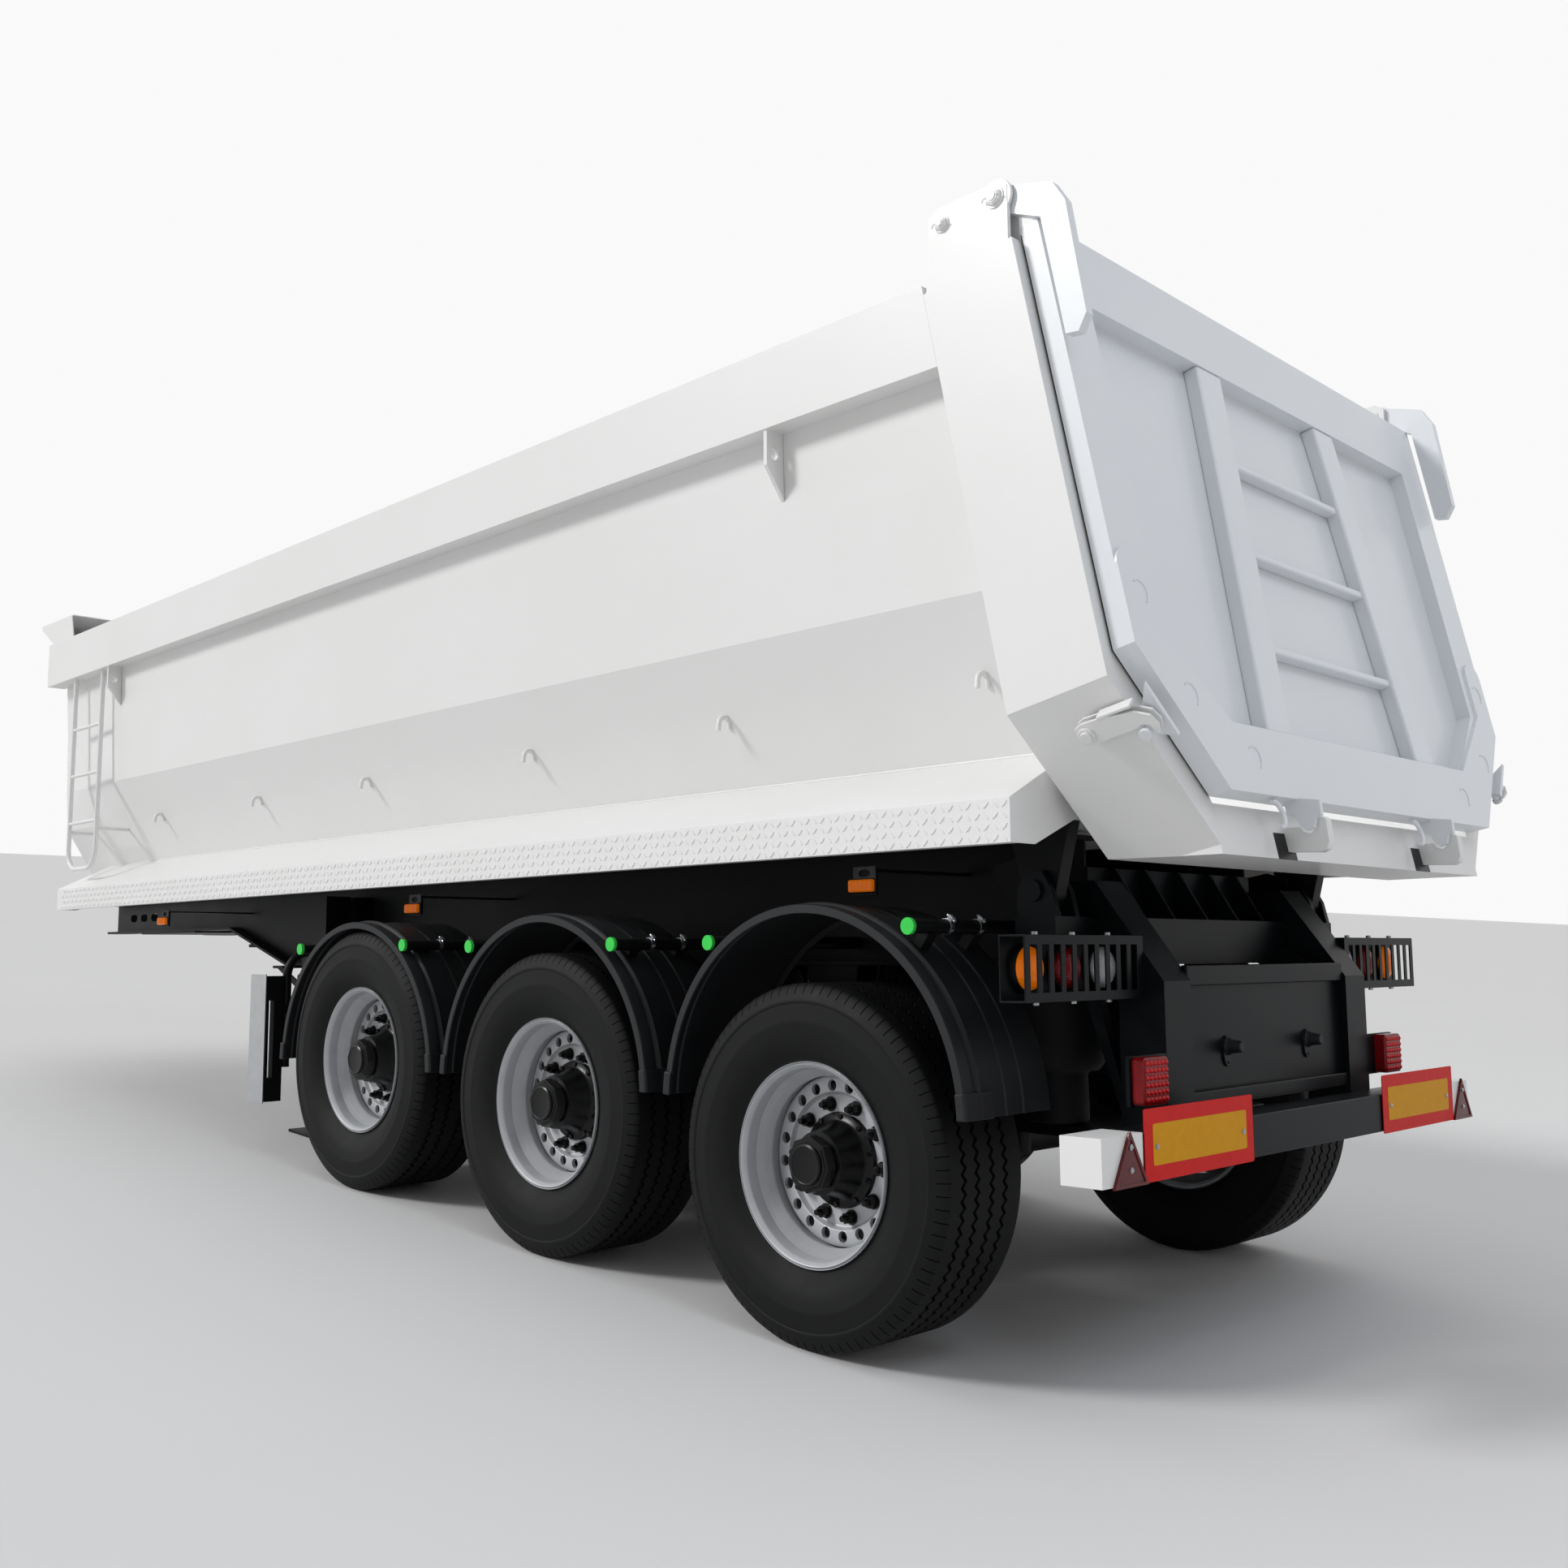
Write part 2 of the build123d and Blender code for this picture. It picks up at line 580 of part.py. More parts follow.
def rear_posts():
    """Left post with its strut up to the beam, hinge ears, pin, lamp bracket and brace."""
    post = plate_y([
        (POST_REAR_X, BUMPER_BOTTOM), (POST_REAR_X, POST_BEND_Z), (STRUT_TOP_X, STRUT_TOP_Z),
        (BEAM_REAR_X, STRUT_TOP_Z),
        (BEAM_REAR_X, BEAM_BOTTOM + 20), (POST_REAR_X + POST_DEPTH, POST_BEND_Z - 60),
        (POST_REAR_X + POST_DEPTH, BUMPER_BOTTOM),
    ], POST_INNER_Y, POST_OUTER_Y)
    foot = CROSS_BOX_TOP - 1
    crown = TIP_Z + TIP_LUG_REACH
    ear_line = [
        (TIP_X - 80, foot), (TIP_X - 62, TIP_Z), (TIP_X - 30, crown), (TIP_X + 30, crown),
        (TIP_X + 58, TIP_Z),
        (TIP_X + 58, foot),
    ]
    outer_ear = TIP_EAR_Y + TIP_EAR + TIP_SLOT
    ears = [plate_y(ear_line, y, y + TIP_EAR) for y in (TIP_EAR_Y, outer_ear)]
    pin = rod_y(TIP_X, TIP_Z, TIP_PIN_RADIUS, TIP_EAR_Y - 10, outer_ear + TIP_EAR + 12)
    lamp_half = SQUARE_LAMP / 2
    bracket = box(POST_REAR_X + 1, POST_REAR_X + 13, POST_OUTER_Y - 1, SQUARE_LAMP_Y + lamp_half + 10,
                  SQUARE_LAMP_Z - lamp_half - 2, SQUARE_LAMP_Z + lamp_half + 3)
    brace_rear = POST_REAR_X + POST_DEPTH - 9
    brace_line = [
        (brace_rear, BUMPER_TOP - 47), (brace_rear, BUMPER_TOP + 33), (BEAM_REAR_X - 90, BEAM_BOTTOM + 5),
        (BEAM_REAR_X - 44, BEAM_BOTTOM + 5),
    ]
    brace = plate_y(brace_line, POST_OUTER_Y - 52, POST_OUTER_Y - 12)
    return [post, *ears, pin, bracket, brace]


def rear_frame():
    """Cross box with its closing plate and stiffeners, the posts and the panel between them."""
    box_rear = BEAM_REAR_X - CROSS_BOX_DEPTH
    span = POST_INNER_Y + 1
    closing_x = BEAM_REAR_X - CLOSING_PLATE
    panel_x = POST_REAR_X + PANEL_SETBACK
    panel_foot = BUMPER_TOP + 20
    shapes = [
        box(box_rear, BEAM_REAR_X, -SILL_HALF, SILL_HALF, BEAM_BOTTOM, CROSS_BOX_TOP),
        box(closing_x, BEAM_REAR_X, -span, span, CROSS_BOX_TOP - 1, CLOSING_TOP),
        box(panel_x, panel_x + PANEL_PLATE, -span, span, panel_foot, PANEL_TOP),
        box(panel_x - 11, panel_x + 49, -span, span, PANEL_TOP, PANEL_TOP + PANEL_HEAD),
        box(panel_x - 22, panel_x + 1, -span, span, panel_foot, panel_foot + PANEL_PLATE),
        *mirrored(rear_posts()),
    ]
    stiffener = [
        (box_rear + 8, CROSS_BOX_TOP - 1), (closing_x + 1, CROSS_BOX_TOP - 1), (closing_x + 1, CLOSING_TOP),
        (closing_x - 20, CLOSING_TOP),
    ]
    for share in STIFFENER_YS:
        y = share * POST_INNER_Y
        shapes.append(plate_y(stiffener, y - CLOSING_PLATE / 2, y + CLOSING_PLATE / 2))
    for y in (-POST_INNER_Y + 60, POST_INNER_Y - 60):
        head_stay = [
            (panel_x + 48, PANEL_TOP), (panel_x + 48, PANEL_TOP + PANEL_HEAD), (box_rear + 1, BEAM_BOTTOM + 60),
            (box_rear + 1, BEAM_BOTTOM),
        ]
        shapes.append(plate_y(head_stay, y - CLOSING_PLATE / 2, y + CLOSING_PLATE / 2))
    return joined(shapes)


def bumper():
    """Square underrun bumper behind the posts."""
    rear = POST_REAR_X - BUMPER_SIZE
    wall = BUMPER_WALL
    beam = box(rear, POST_REAR_X, -BUMPER_HALF, BUMPER_HALF, BUMPER_BOTTOM, BUMPER_TOP)
    return beam - box(rear + wall, POST_REAR_X - wall, wall - BUMPER_HALF, BUMPER_HALF - wall,
                      BUMPER_BOTTOM + wall, BUMPER_TOP - wall)


def square_lamps():
    """Two square rear lamps on their brackets beside the posts."""
    half = SQUARE_LAMP / 2
    seat = POST_REAR_X + 1
    lamp = box(seat - SQUARE_LAMP_DEPTH, seat, SQUARE_LAMP_Y - half, SQUARE_LAMP_Y + half, SQUARE_LAMP_Z - half,
               SQUARE_LAMP_Z + half)
    return group(mirrored([chamfer(lamp.edges().group_by(Axis.X)[0], 6)]))


def plate_lamps():
    """Two round lamps on the rear panel."""
    panel_x = POST_REAR_X + PANEL_SETBACK
    lamps = []
    for y in (PLATE_LAMP_Y, -PLATE_LAMP_Y):
        base = rod_x(y, PLATE_LAMP_Z, 26, panel_x - 12, panel_x)
        lamps.append(base + rod_x(y, PLATE_LAMP_Z, 17, panel_x - 52, panel_x - 12))
    return group(lamps)


def lamp_boxes():
    """Open steel boxes with a slotted guard in front of the lamps."""
    front_x = LAMP_BOX_REAR_X + LAMP_BOX_DEPTH
    shell = box(LAMP_BOX_REAR_X, front_x, POST_OUTER_Y, LAMP_BOX_OUTER_Y, LAMP_BOX_BOTTOM, LAMP_BOX_TOP)
    shell -= box(LAMP_BOX_REAR_X + SHEET, front_x - SHEET, POST_OUTER_Y + SHEET, LAMP_BOX_OUTER_Y + 1,
                 LAMP_BOX_BOTTOM + SHEET, LAMP_BOX_TOP - SHEET)
    first = POST_OUTER_Y + 1.5 * LAMP_SLOT_WIDTH
    pitch = (LAMP_BOX_OUTER_Y - 1.25 * LAMP_SLOT_WIDTH - first) / (LAMP_SLOTS - 1)
    for index in range(LAMP_SLOTS):
        slot_y = first + index * pitch
        shell -= box(LAMP_BOX_REAR_X - 1, LAMP_BOX_REAR_X + SHEET + 1, slot_y - LAMP_SLOT_WIDTH / 2,
                     slot_y + LAMP_SLOT_WIDTH / 2, LAMP_BOX_BOTTOM + LAMP_SLOT_MARGIN,
                     LAMP_BOX_TOP - LAMP_SLOT_MARGIN)
    return group(mirrored([shell]))


def round_lamps():
    """Round lamps inside the lamp boxes."""
    back_x = LAMP_BOX_REAR_X + LAMP_BOX_DEPTH - SHEET
    z = (LAMP_BOX_BOTTOM + LAMP_BOX_TOP) / 2
    lamps = []
    for index in range(LAMP_COUNT):
        y = POST_OUTER_Y + LAMP_FIRST + index * LAMP_PITCH
        lens = rod_x(y, z, LAMP_RADIUS, back_x - LAMP_PROUD, back_x)
        lamps.append(chamfer(lens.edges().group_by(Axis.X)[0], 12))
    return group(mirrored(lamps))


def marker_lamps():
    """Side marker lamps on the ends of their arms."""
    half = MARKER_LENGTH / 2
    tall = MARKER_HEIGHT / 2
    return group(mirrored([
        box(x - half, x + half, MARKER_Y, MARKER_Y + MARKER_DEPTH, MARKER_Z - tall, MARKER_Z + tall)
        for x in MARKER_XS
    ]))


def marker_arms():
    """Flat arms from the beam webs out to the marker lamps."""
    plate = 8
    half = MARKER_LENGTH / 2 - 6
    arms = []
    for x in MARKER_XS:
        arm = box(x - 25, x + 25, BEAM_Y + WEB / 2, MARKER_Y, MARKER_ARM_Z - plate, MARKER_ARM_Z)
        foot = MARKER_Z - MARKER_HEIGHT / 2 - plate
        face = box(x - half, x + half, MARKER_Y - plate, MARKER_Y, foot, MARKER_ARM_Z)
        arms.append(arm + face)
    return group(mirrored(arms))


def guard_centre(index):
    """Chassis x and z of a mudguard's centre."""
    return axle_in_chassis(index)[0] + GUARD_SHIFTS[index], GUARD_CENTRE_Z


def guard_tube_place(index, ahead_deg, height):
    """Chassis x and z of a mudguard tube."""
    x, z = guard_centre(index)
    reach = GUARD_RADIUS + height
    return x + reach * sin(radians(ahead_deg)), z + reach * cos(radians(ahead_deg))


def arc_up(section, arc_deg):
    """A section of radius and Y swept from the front end of a mudguard upwards."""
    swept = revolve(make_face(Polyline(*section, close=True)), Axis.Y, arc_deg)
    return mirror(swept, about=Plane.XY) if swept.bounding_box().max.Z < 1 else swept


def mudguards():
    """Half-round plastic guards with turned-down lips and thickened feet, one over each wheel."""
    inner = GUARD_RADIUS - GUARD_SKIN
    lip = GUARD_RADIUS - GUARD_LIP
    proud = GUARD_RADIUS + GUARD_FOOT_PROUD
    span = [
        (lip, GUARD_INNER_Y), (GUARD_RADIUS, GUARD_INNER_Y), (GUARD_RADIUS, GUARD_OUTER_Y),
        (lip, GUARD_OUTER_Y),
        (lip, GUARD_OUTER_Y - GUARD_SKIN), (inner, GUARD_OUTER_Y - GUARD_SKIN),
        (inner, GUARD_INNER_Y + GUARD_SKIN),
        (lip, GUARD_INNER_Y + GUARD_SKIN),
    ]
    foot_span = [
        (lip, GUARD_OUTER_Y + GUARD_FOOT_PROUD), (proud, GUARD_OUTER_Y + GUARD_FOOT_PROUD),
        (proud, GUARD_INNER_Y),
        (GUARD_RADIUS - 1, GUARD_INNER_Y), (GUARD_RADIUS - 1, GUARD_OUTER_Y - 1), (lip, GUARD_OUTER_Y - 1),
    ]
    foot = arc_up(foot_span, GUARD_FOOT_DEG)
    guard = joined([arc_up(span, 180), foot, mirror(foot, about=Plane.YZ)])
    shapes = []
    for index in range(AXLE_COUNT):
        x, z = guard_centre(index)
        shapes.append(Pos(x, 0, z) * guard)
    return group(mirrored(shapes))


def guard_tubes():
    """Tubes from the beams over the mudguards, with saddles down to them."""
    shapes = []
    for index, ahead_deg, height in GUARD_TUBES:
        x, z = guard_tube_place(index, ahead_deg, height)
        centre_x, centre_z = guard_centre(index)
        shell = rod_y(centre_x, centre_z, GUARD_RADIUS + SEAT_GAP, GUARD_INNER_Y - 50, GUARD_OUTER_Y + 50)
        drop = height + SADDLE_WIDTH
        tube = rod_y(x, z, GUARD_TUBE_RADIUS, BEAM_Y + WEB / 2, GUARD_OUTER_Y - GUARD_TUBE_INSET)
        saddle = Rot(0, ahead_deg, 0) * Pos(0, 0, -drop / 2) * Box(SADDLE_LENGTH, SADDLE_WIDTH, drop)
        saddles = [Pos(x, y, z) * saddle for y in (GUARD_INNER_Y + 70, GUARD_OUTER_Y - 110)]
        shapes.append(joined([tube, *saddles]) - shell)
    return group(mirrored(shapes))


def tube_caps():
    """Plastic plugs in the mudguard tubes."""
    face = GUARD_OUTER_Y - GUARD_TUBE_INSET
    places = [guard_tube_place(*row) for row in GUARD_TUBES]
    return group(mirrored([rod_y(x, z, GUARD_TUBE_RADIUS + 3, face, face + PLUG_PROUD) for x, z in places]))


def hangers():
    """Brackets under the beams that carry the trailing arms."""
    foot = HANGER_PIN_Z - 60
    shapes = []
    for index in range(AXLE_COUNT):
        x = axle_in_chassis(index)[0] + HANGER_REACH
        line = [(x - 120, BEAM_BOTTOM), (x + 120, BEAM_BOTTOM), (x + 60, foot), (x - 60, foot)]
        cheeks = [plate_y(line, y, y + 12) for y in (BEAM_Y - 62, BEAM_Y + 50)]
        pin = rod_y(x, HANGER_PIN_Z, HANGER_PIN_RADIUS, BEAM_Y - 75, BEAM_Y + 75)
        web = box(x + 30, x + 42, BEAM_Y - 51, BEAM_Y + 51, HANGER_PIN_Z + 100, BEAM_BOTTOM)
        shapes.append(joined([*cheeks, pin, web]))
    return group(mirrored(shapes))


def trailing_arms():
    """Arms from the hangers over the axles to the air springs."""
    half = 42
    tail = SPRING_REACH + 140
    nose = HANGER_REACH + 45
    shapes = []
    for index in range(AXLE_COUNT):
        x, z = axle_in_chassis(index)
        seat = z + AXLE_TUBE / 2
        under = seat - AXLE_TUBE
        arm = plate_y([
            (x + nose, HANGER_PIN_Z - 30), (x + nose, HANGER_PIN_Z + 30), (x + 90, seat + 75),
            (x - 90, seat + 75),
            (x - tail, seat + 20), (x - tail, seat - 10), (x - 90, seat), (x + 90, seat),
            (x + nose - 85, HANGER_PIN_Z - 35),
        ], BEAM_Y - half, BEAM_Y + half)
        arm -= rod_y(x + HANGER_REACH, HANGER_PIN_Z, HANGER_PIN_RADIUS + SEAT_GAP, BEAM_Y - 80, BEAM_Y + 80)
        straps = [
            box(x + offset, x + offset + 14, BEAM_Y - 60, BEAM_Y + 60, under - 20, seat + 30)
            for offset in (-80, 66)
        ]
        base = box(x - 90, x + 90, BEAM_Y - 70, BEAM_Y + 70, under - 30, under)
        shapes.append(joined([arm, *straps, base]) - rod_y(x, z, AXLE_TUBE / 2, 0, WHEEL_CENTRE_Y))
    return group(mirrored(shapes))


def air_springs():
    """Rubber bellows between the arms and the beams."""
    piston = 95
    shapes = []
    for index in range(AXLE_COUNT):
        x, z = axle_in_chassis(index)
        foot = z + AXLE_TUBE / 2 + 34
        top = BEAM_BOTTOM
        waist = foot + 0.45 * (top - foot)
        line = [
            (0, foot), (piston, foot), (piston, waist - 40), (SPRING_RADIUS - 5, waist),
            (SPRING_RADIUS, top - 60),
            (SPRING_RADIUS - 25, top - 14), (SPRING_RADIUS - 45, top), (0, top),
        ]
        bellows = revolve(Plane.XZ * make_face(Polyline(*line, close=True)), Axis.Z)
        reach = 2 * SPRING_RADIUS
        arm_space = [(-reach, foot - 60), (reach, foot - 60), (reach, foot + 33), (-reach, foot - 2)]
        bellows -= plate_y(arm_space, -reach, reach)
        shapes.append(Pos(x - SPRING_REACH, BEAM_Y, 0) * bellows)
    return group(mirrored(shapes))


def air_tanks():
    """Two air tanks with bevelled ends, hung across under a cross member."""
    half = BEAM_Y - 110
    strap = TANK_STRAP / 2
    hang = CROSS_MEMBER_BOTTOM
    shapes = []
    for x in TANK_XS:
        tank = rod_y(x, TANK_Z, TANK_RADIUS, -half, half)
        tank = chamfer(tank.edges().filter_by(GeomType.CIRCLE), TANK_END)
        straps = [
            box(x - strap, x + strap, y - strap, y + strap, TANK_Z + 110, hang)
            for y in (-TANK_STRAP_Y, TANK_STRAP_Y)
        ]
        shapes.append(joined([tank, *straps]))
    rail = box(TANK_XS[0] - 30, TANK_XS[-1] + 30, TANK_STRAP_Y - strap, TANK_STRAP_Y + strap, hang - 50, hang)
    return joined([*shapes, *mirrored([rail])])


def leg_foot_height():
    """Chassis height of the landing-leg foot pin above the sloping ground line."""
    pitch = radians(NOSE_DOWN_DEG)
    ground = (LEG_X * sin(pitch) - RIDE_LIFT) / cos(pitch)
    return ground + LEG_PIN_RISE


def landing_legs():
    """Telescopic legs bolted to the beams, with a cross shaft and a crank gearbox."""
    half = LEG_TUBE / 2
    core = half - LEG_WALL
    pin_z = leg_foot_height()
    outer = box(LEG_X - half, LEG_X + half, LEG_Y - half, LEG_Y + half, LEG_SPLIT_Z, BEAM_TOP - 55)
    inner = box(LEG_X - core, LEG_X + core, LEG_Y - core, LEG_Y + core, pin_z - 26, LEG_SPLIT_Z + 1)
    mount = box(LEG_X - 110, LEG_X + 110, BEAM_Y + WEB / 2, LEG_Y - half + 1, BEAM_BOTTOM + 60, BEAM_TOP - 60)
    gear = box(LEG_X - 55, LEG_X + 55, LEG_Y + half - 1, LEG_Y + half + 60, BEAM_BOTTOM - 95, BEAM_BOTTOM + 55)
    tie_z = BEAM_BOTTOM - 14
    brace_x = LEG_X + LEG_BRACE_REACH
    brace_line = [
        (LEG_X + 50, LEG_SPLIT_Z + 40), (LEG_X + 50, LEG_SPLIT_Z + 90), (brace_x, tie_z + 7),
        (brace_x + 70, tie_z + 7),
    ]
    brace = plate_y(brace_line, LEG_Y - 50, LEG_Y - 40)
    tie = box(brace_x - 20, brace_x + 90, BEAM_Y - 60, LEG_Y - 30, tie_z, BEAM_BOTTOM)
    legs = mirrored([joined([outer, inner, mount, gear, brace, tie])])
    shaft = rod_y(LEG_X, BEAM_BOTTOM - 20, 18, -LEG_Y + half - 1, LEG_Y - half + 1)
    return joined([*legs, shaft])


def landing_feet():
    """Flat feet on the ground, hung from the legs' foot pins."""
    pin_z = leg_foot_height()
    pitch = radians(NOSE_DOWN_DEG)
    level_x = LEG_X * cos(pitch) + pin_z * sin(pitch)
    level_z = -LEG_X * sin(pitch) + pin_z * cos(pitch) + RIDE_LIFT
    half = FOOT_SIZE / 2
    side = LEG_TUBE / 2 - LEG_WALL + SEAT_GAP
    ear = 12
    plate = box(level_x - half, level_x + half, LEG_Y - half, LEG_Y + half, 0, FOOT_PLATE)
    ear_line = [(level_x - 75, FOOT_PLATE - 1), (level_x - 30, level_z + 28), (level_x + 30, level_z + 28),
                (level_x + 75, FOOT_PLATE - 1)]
    ears = [plate_y(ear_line, LEG_Y + offset, LEG_Y + offset + ear) for offset in (side, -side - ear)]
    return group(mirrored([joined([plate, *ears])]))


def side_guards():
    """Upright aluminium plates of the short side guards ahead of the first wheels."""
    return group(mirrored([
        box(SIDE_GUARD_X, SIDE_GUARD_X + SIDE_GUARD_LENGTH, SIDE_GUARD_OUTER_Y - SIDE_GUARD_PLATE,
            SIDE_GUARD_OUTER_Y, SIDE_GUARD_BOTTOM, SIDE_GUARD_TOP)
    ]))


def side_guard_posts():
    """Slotted posts of the side guards, clipped to bent tubes from the beams."""
    outer = SIDE_GUARD_OUTER_Y - SIDE_GUARD_PLATE
    inner = outer - SIDE_POST_WIDTH
    rear = SIDE_GUARD_X
    front = rear + SIDE_POST_DEPTH
    post = box(rear, front, inner, outer, SIDE_GUARD_BOTTOM + 8, SIDE_GUARD_TOP - 8)
    post -= box(rear - 1, front + 1, outer - 38, outer - 14, SIDE_GUARD_BOTTOM + 115, SIDE_GUARD_TOP - 120)
    x = (rear + front) / 2
    y = inner - SIDE_TUBE_RADIUS - 4
    path = FilletPolyline((x, BEAM_Y + WEB / 2, SIDE_TUBE_Z), (x, y, SIDE_TUBE_Z),
                          (x, y, SIDE_GUARD_BOTTOM + 160), radius=SIDE_TUBE_BEND)
    tube = sweep(Plane(path @ 0, z_dir=path % 0) * Circle(SIDE_TUBE_RADIUS), path=path)
    clips = [
        box(rear, front, y, inner + 1, z, z + 40)
        for z in (SIDE_GUARD_BOTTOM + 200, SIDE_GUARD_TOP - 180)
    ]
    return group(mirrored([joined([post, tube, *clips])]))


# Tipping body.

def wall_section(column, x):
    """Face of the folded wall's thickness at a chassis x."""
    outer = [(row[column], row[2]) for row in SIDE_FOLDS]
    inner = [(y - WALL, z) for y, z in reversed(outer)]
    plane = Plane(origin=(x, 0, 0), x_dir=(0, 1, 0), z_dir=(1, 0, 0))
    return plane * Polygon(*outer, *inner, align=None)


def left_wall():
    """Folded side wall whose creases run out into a flat front corner."""
    straight = extrude(wall_section(0, PORTAL_REAR_X - 600), CORNER_X - PORTAL_REAR_X + 600, dir=(1, 0, 0))
    corner = loft([wall_section(0, CORNER_X).face(), wall_section(1, FRONT_X).face()], ruled=True)
    return (straight + corner) - REAR_CUT


def body_core():
    """The space inside the walls' outer line, behind the corner fold."""
    line = both_sides([(row[0], row[2]) for row in SIDE_FOLDS])
    return section_x(line, PORTAL_REAR_X - 900, CORNER_X)


def floor():
    """Floor plate, open at the front for the hoist pocket."""
    half = SIDE_FOLDS[-1][0] - WALL
    under = FLOOR_TOP - FLOOR_PLATE
    plate = box(PORTAL_REAR_X - 600, FRONT_X, -half, half, under, FLOOR_TOP)
    plate -= box(FRONT_X - POCKET_DEPTH, FRONT_X + 1, -POCKET_HALF, POCKET_HALF, under - 1, FLOOR_TOP + 1)
    return plate - REAR_CUT


def body_bearers():
    """Bearers under the floor and the lugs that turn on the tipping pins."""
    under = FLOOR_TOP - FLOOR_PLATE
    half = BEARER_WIDTH / 2
    bearer = box(TIP_X + 250, FRONT_X - 300, BEARER_Y - half, BEARER_Y + half, under - BEARER_DEPTH, under)
    lug_inner = TIP_EAR_Y + TIP_EAR + MOVING_GAP
    lug_outer = lug_inner + TIP_SLOT - 2 * MOVING_GAP
    lug_line = [
        (TIP_X - 110, under), (TIP_X + 110, under), (TIP_X + TIP_LUG_REACH, TIP_Z),
        (TIP_X - TIP_LUG_REACH, TIP_Z),
    ]
    lug = plate_y(lug_line, lug_inner, lug_outer) + rod_y(TIP_X, TIP_Z, TIP_LUG_REACH, lug_inner, lug_outer)
    lug -= rod_y(TIP_X, TIP_Z, TIP_PIN_RADIUS + RUNNING_GAP, lug_inner - 1, lug_outer + 1)
    return group(mirrored([bearer, lug]))


def hoist_pocket():
    """Sloping back plate and two cheeks of the pocket in the front wall."""
    back = FRONT_X - POCKET_DEPTH
    front = FRONT_X + WALL
    slope = [(front, POCKET_TOP), (back, FLOOR_TOP), (back - WALL, FLOOR_TOP), (FRONT_X, POCKET_TOP + WALL)]
    plate = plate_y(slope, -POCKET_HALF - 1, POCKET_HALF + 1)
    cheek_line = [
        (FRONT_X, POCKET_TOP + WALL), (front, POCKET_TOP), (front, FLOOR_TOP), (back - WALL, FLOOR_TOP),
    ]
    cheeks = mirrored([plate_y(cheek_line, POCKET_HALF, POCKET_HALF + WALL)])
    return [plate, *cheeks]


def front_wall():
    """Front wall with upright ribs, the hoist pocket and the hoist bracket."""
    line = both_sides([(row[1], row[2]) for row in SIDE_FOLDS])
    front = FRONT_X + WALL
    proud = front + FRONT_RIB_DEPTH
    wall = section_x(line, FRONT_X, front)
    wall -= box(FRONT_X - 1, front + 1, -POCKET_HALF, POCKET_HALF, SILL_BOTTOM, POCKET_TOP)
    shapes = [wall, *hoist_pocket()]
    for y in (-FRONT_RIB_Y, FRONT_RIB_Y):
        rib = box(front - 1, proud, y - FRONT_RIB / 2, y + FRONT_RIB / 2, FLOOR_TOP + 40, BODY_TOP - 70)
        shapes.append(rib)
    girder = HALF_WIDTH - 200
    shapes.append(box(front - 1, proud, -girder, girder, BODY_TOP - 290, BODY_TOP - 230))
    reach = HOIST_EYE_X + 70
    cheek_line = [(front - 1, HOIST_EYE_Z - 170), (front - 1, HOIST_EYE_Z + 90), (reach, HOIST_EYE_Z + 60),
                  (reach, HOIST_EYE_Z - 60)]
    outer = BRACKET_INNER_Y + BRACKET_PLATE
    boss = rod_y(HOIST_EYE_X, HOIST_EYE_Z, 40, outer - 1, outer + BRACKET_PLATE)
    shapes += mirrored([plate_y(cheek_line, BRACKET_INNER_Y, outer), boss])
    return joined(shapes)


def portal():
    """Leaning rear frame of the body: posts, knee panels, sill and hinge cheeks."""
    outline = both_sides([
        (HALF_WIDTH, PORTAL_TOP), (HALF_WIDTH, POST_KNEE_Z), (SILL_HALF, SILL_BOTTOM + SILL_LIP),
        (SILL_HALF, SILL_BOTTOM),
    ])
    frame = leaning(outline, 0, PORTAL_DEPTH)
    above = box(-3000, 2000, -SIDE_FOLDS[0][0], SIDE_FOLDS[0][0], FLOOR_TOP + 690, PORTAL_TOP + 300)
    below = box(-3000, 2000, -HALF_WIDTH - 1, HALF_WIDTH + 1, 0, SILL_BOTTOM)
    frame = frame - body_core() - above - below
    crown = GATE_PIN_Z + GATE_EYE_RADIUS
    rear = GATE_PIN_X - 42
    foot = PORTAL_TOP - 3
    cheek_line = [
        (GATE_PIN_X + 248, foot - 72), (GATE_PIN_X + 234, crown - 20), (GATE_PIN_X + 194, crown),
        (GATE_PIN_X - 10, crown),
        (rear, crown - 20), (rear, foot),
    ]
    cheeks = [plate_y(cheek_line, y, y + HINGE_PLATE) for y in (HINGE_INNER_Y, HINGE_OUTER_Y)]
    pin_ends = (HINGE_INNER_Y - 6, HINGE_OUTER_Y + HINGE_PLATE + 6)
    pins = [
        rod_y(GATE_PIN_X, GATE_PIN_Z, GATE_PIN_RADIUS, *pin_ends),
        rod_y(STAY_PIN_X, GATE_PIN_Z - 10, STAY_PIN_RADIUS, *pin_ends),
    ]
    return joined([frame, *mirrored([*cheeks, *pins])])


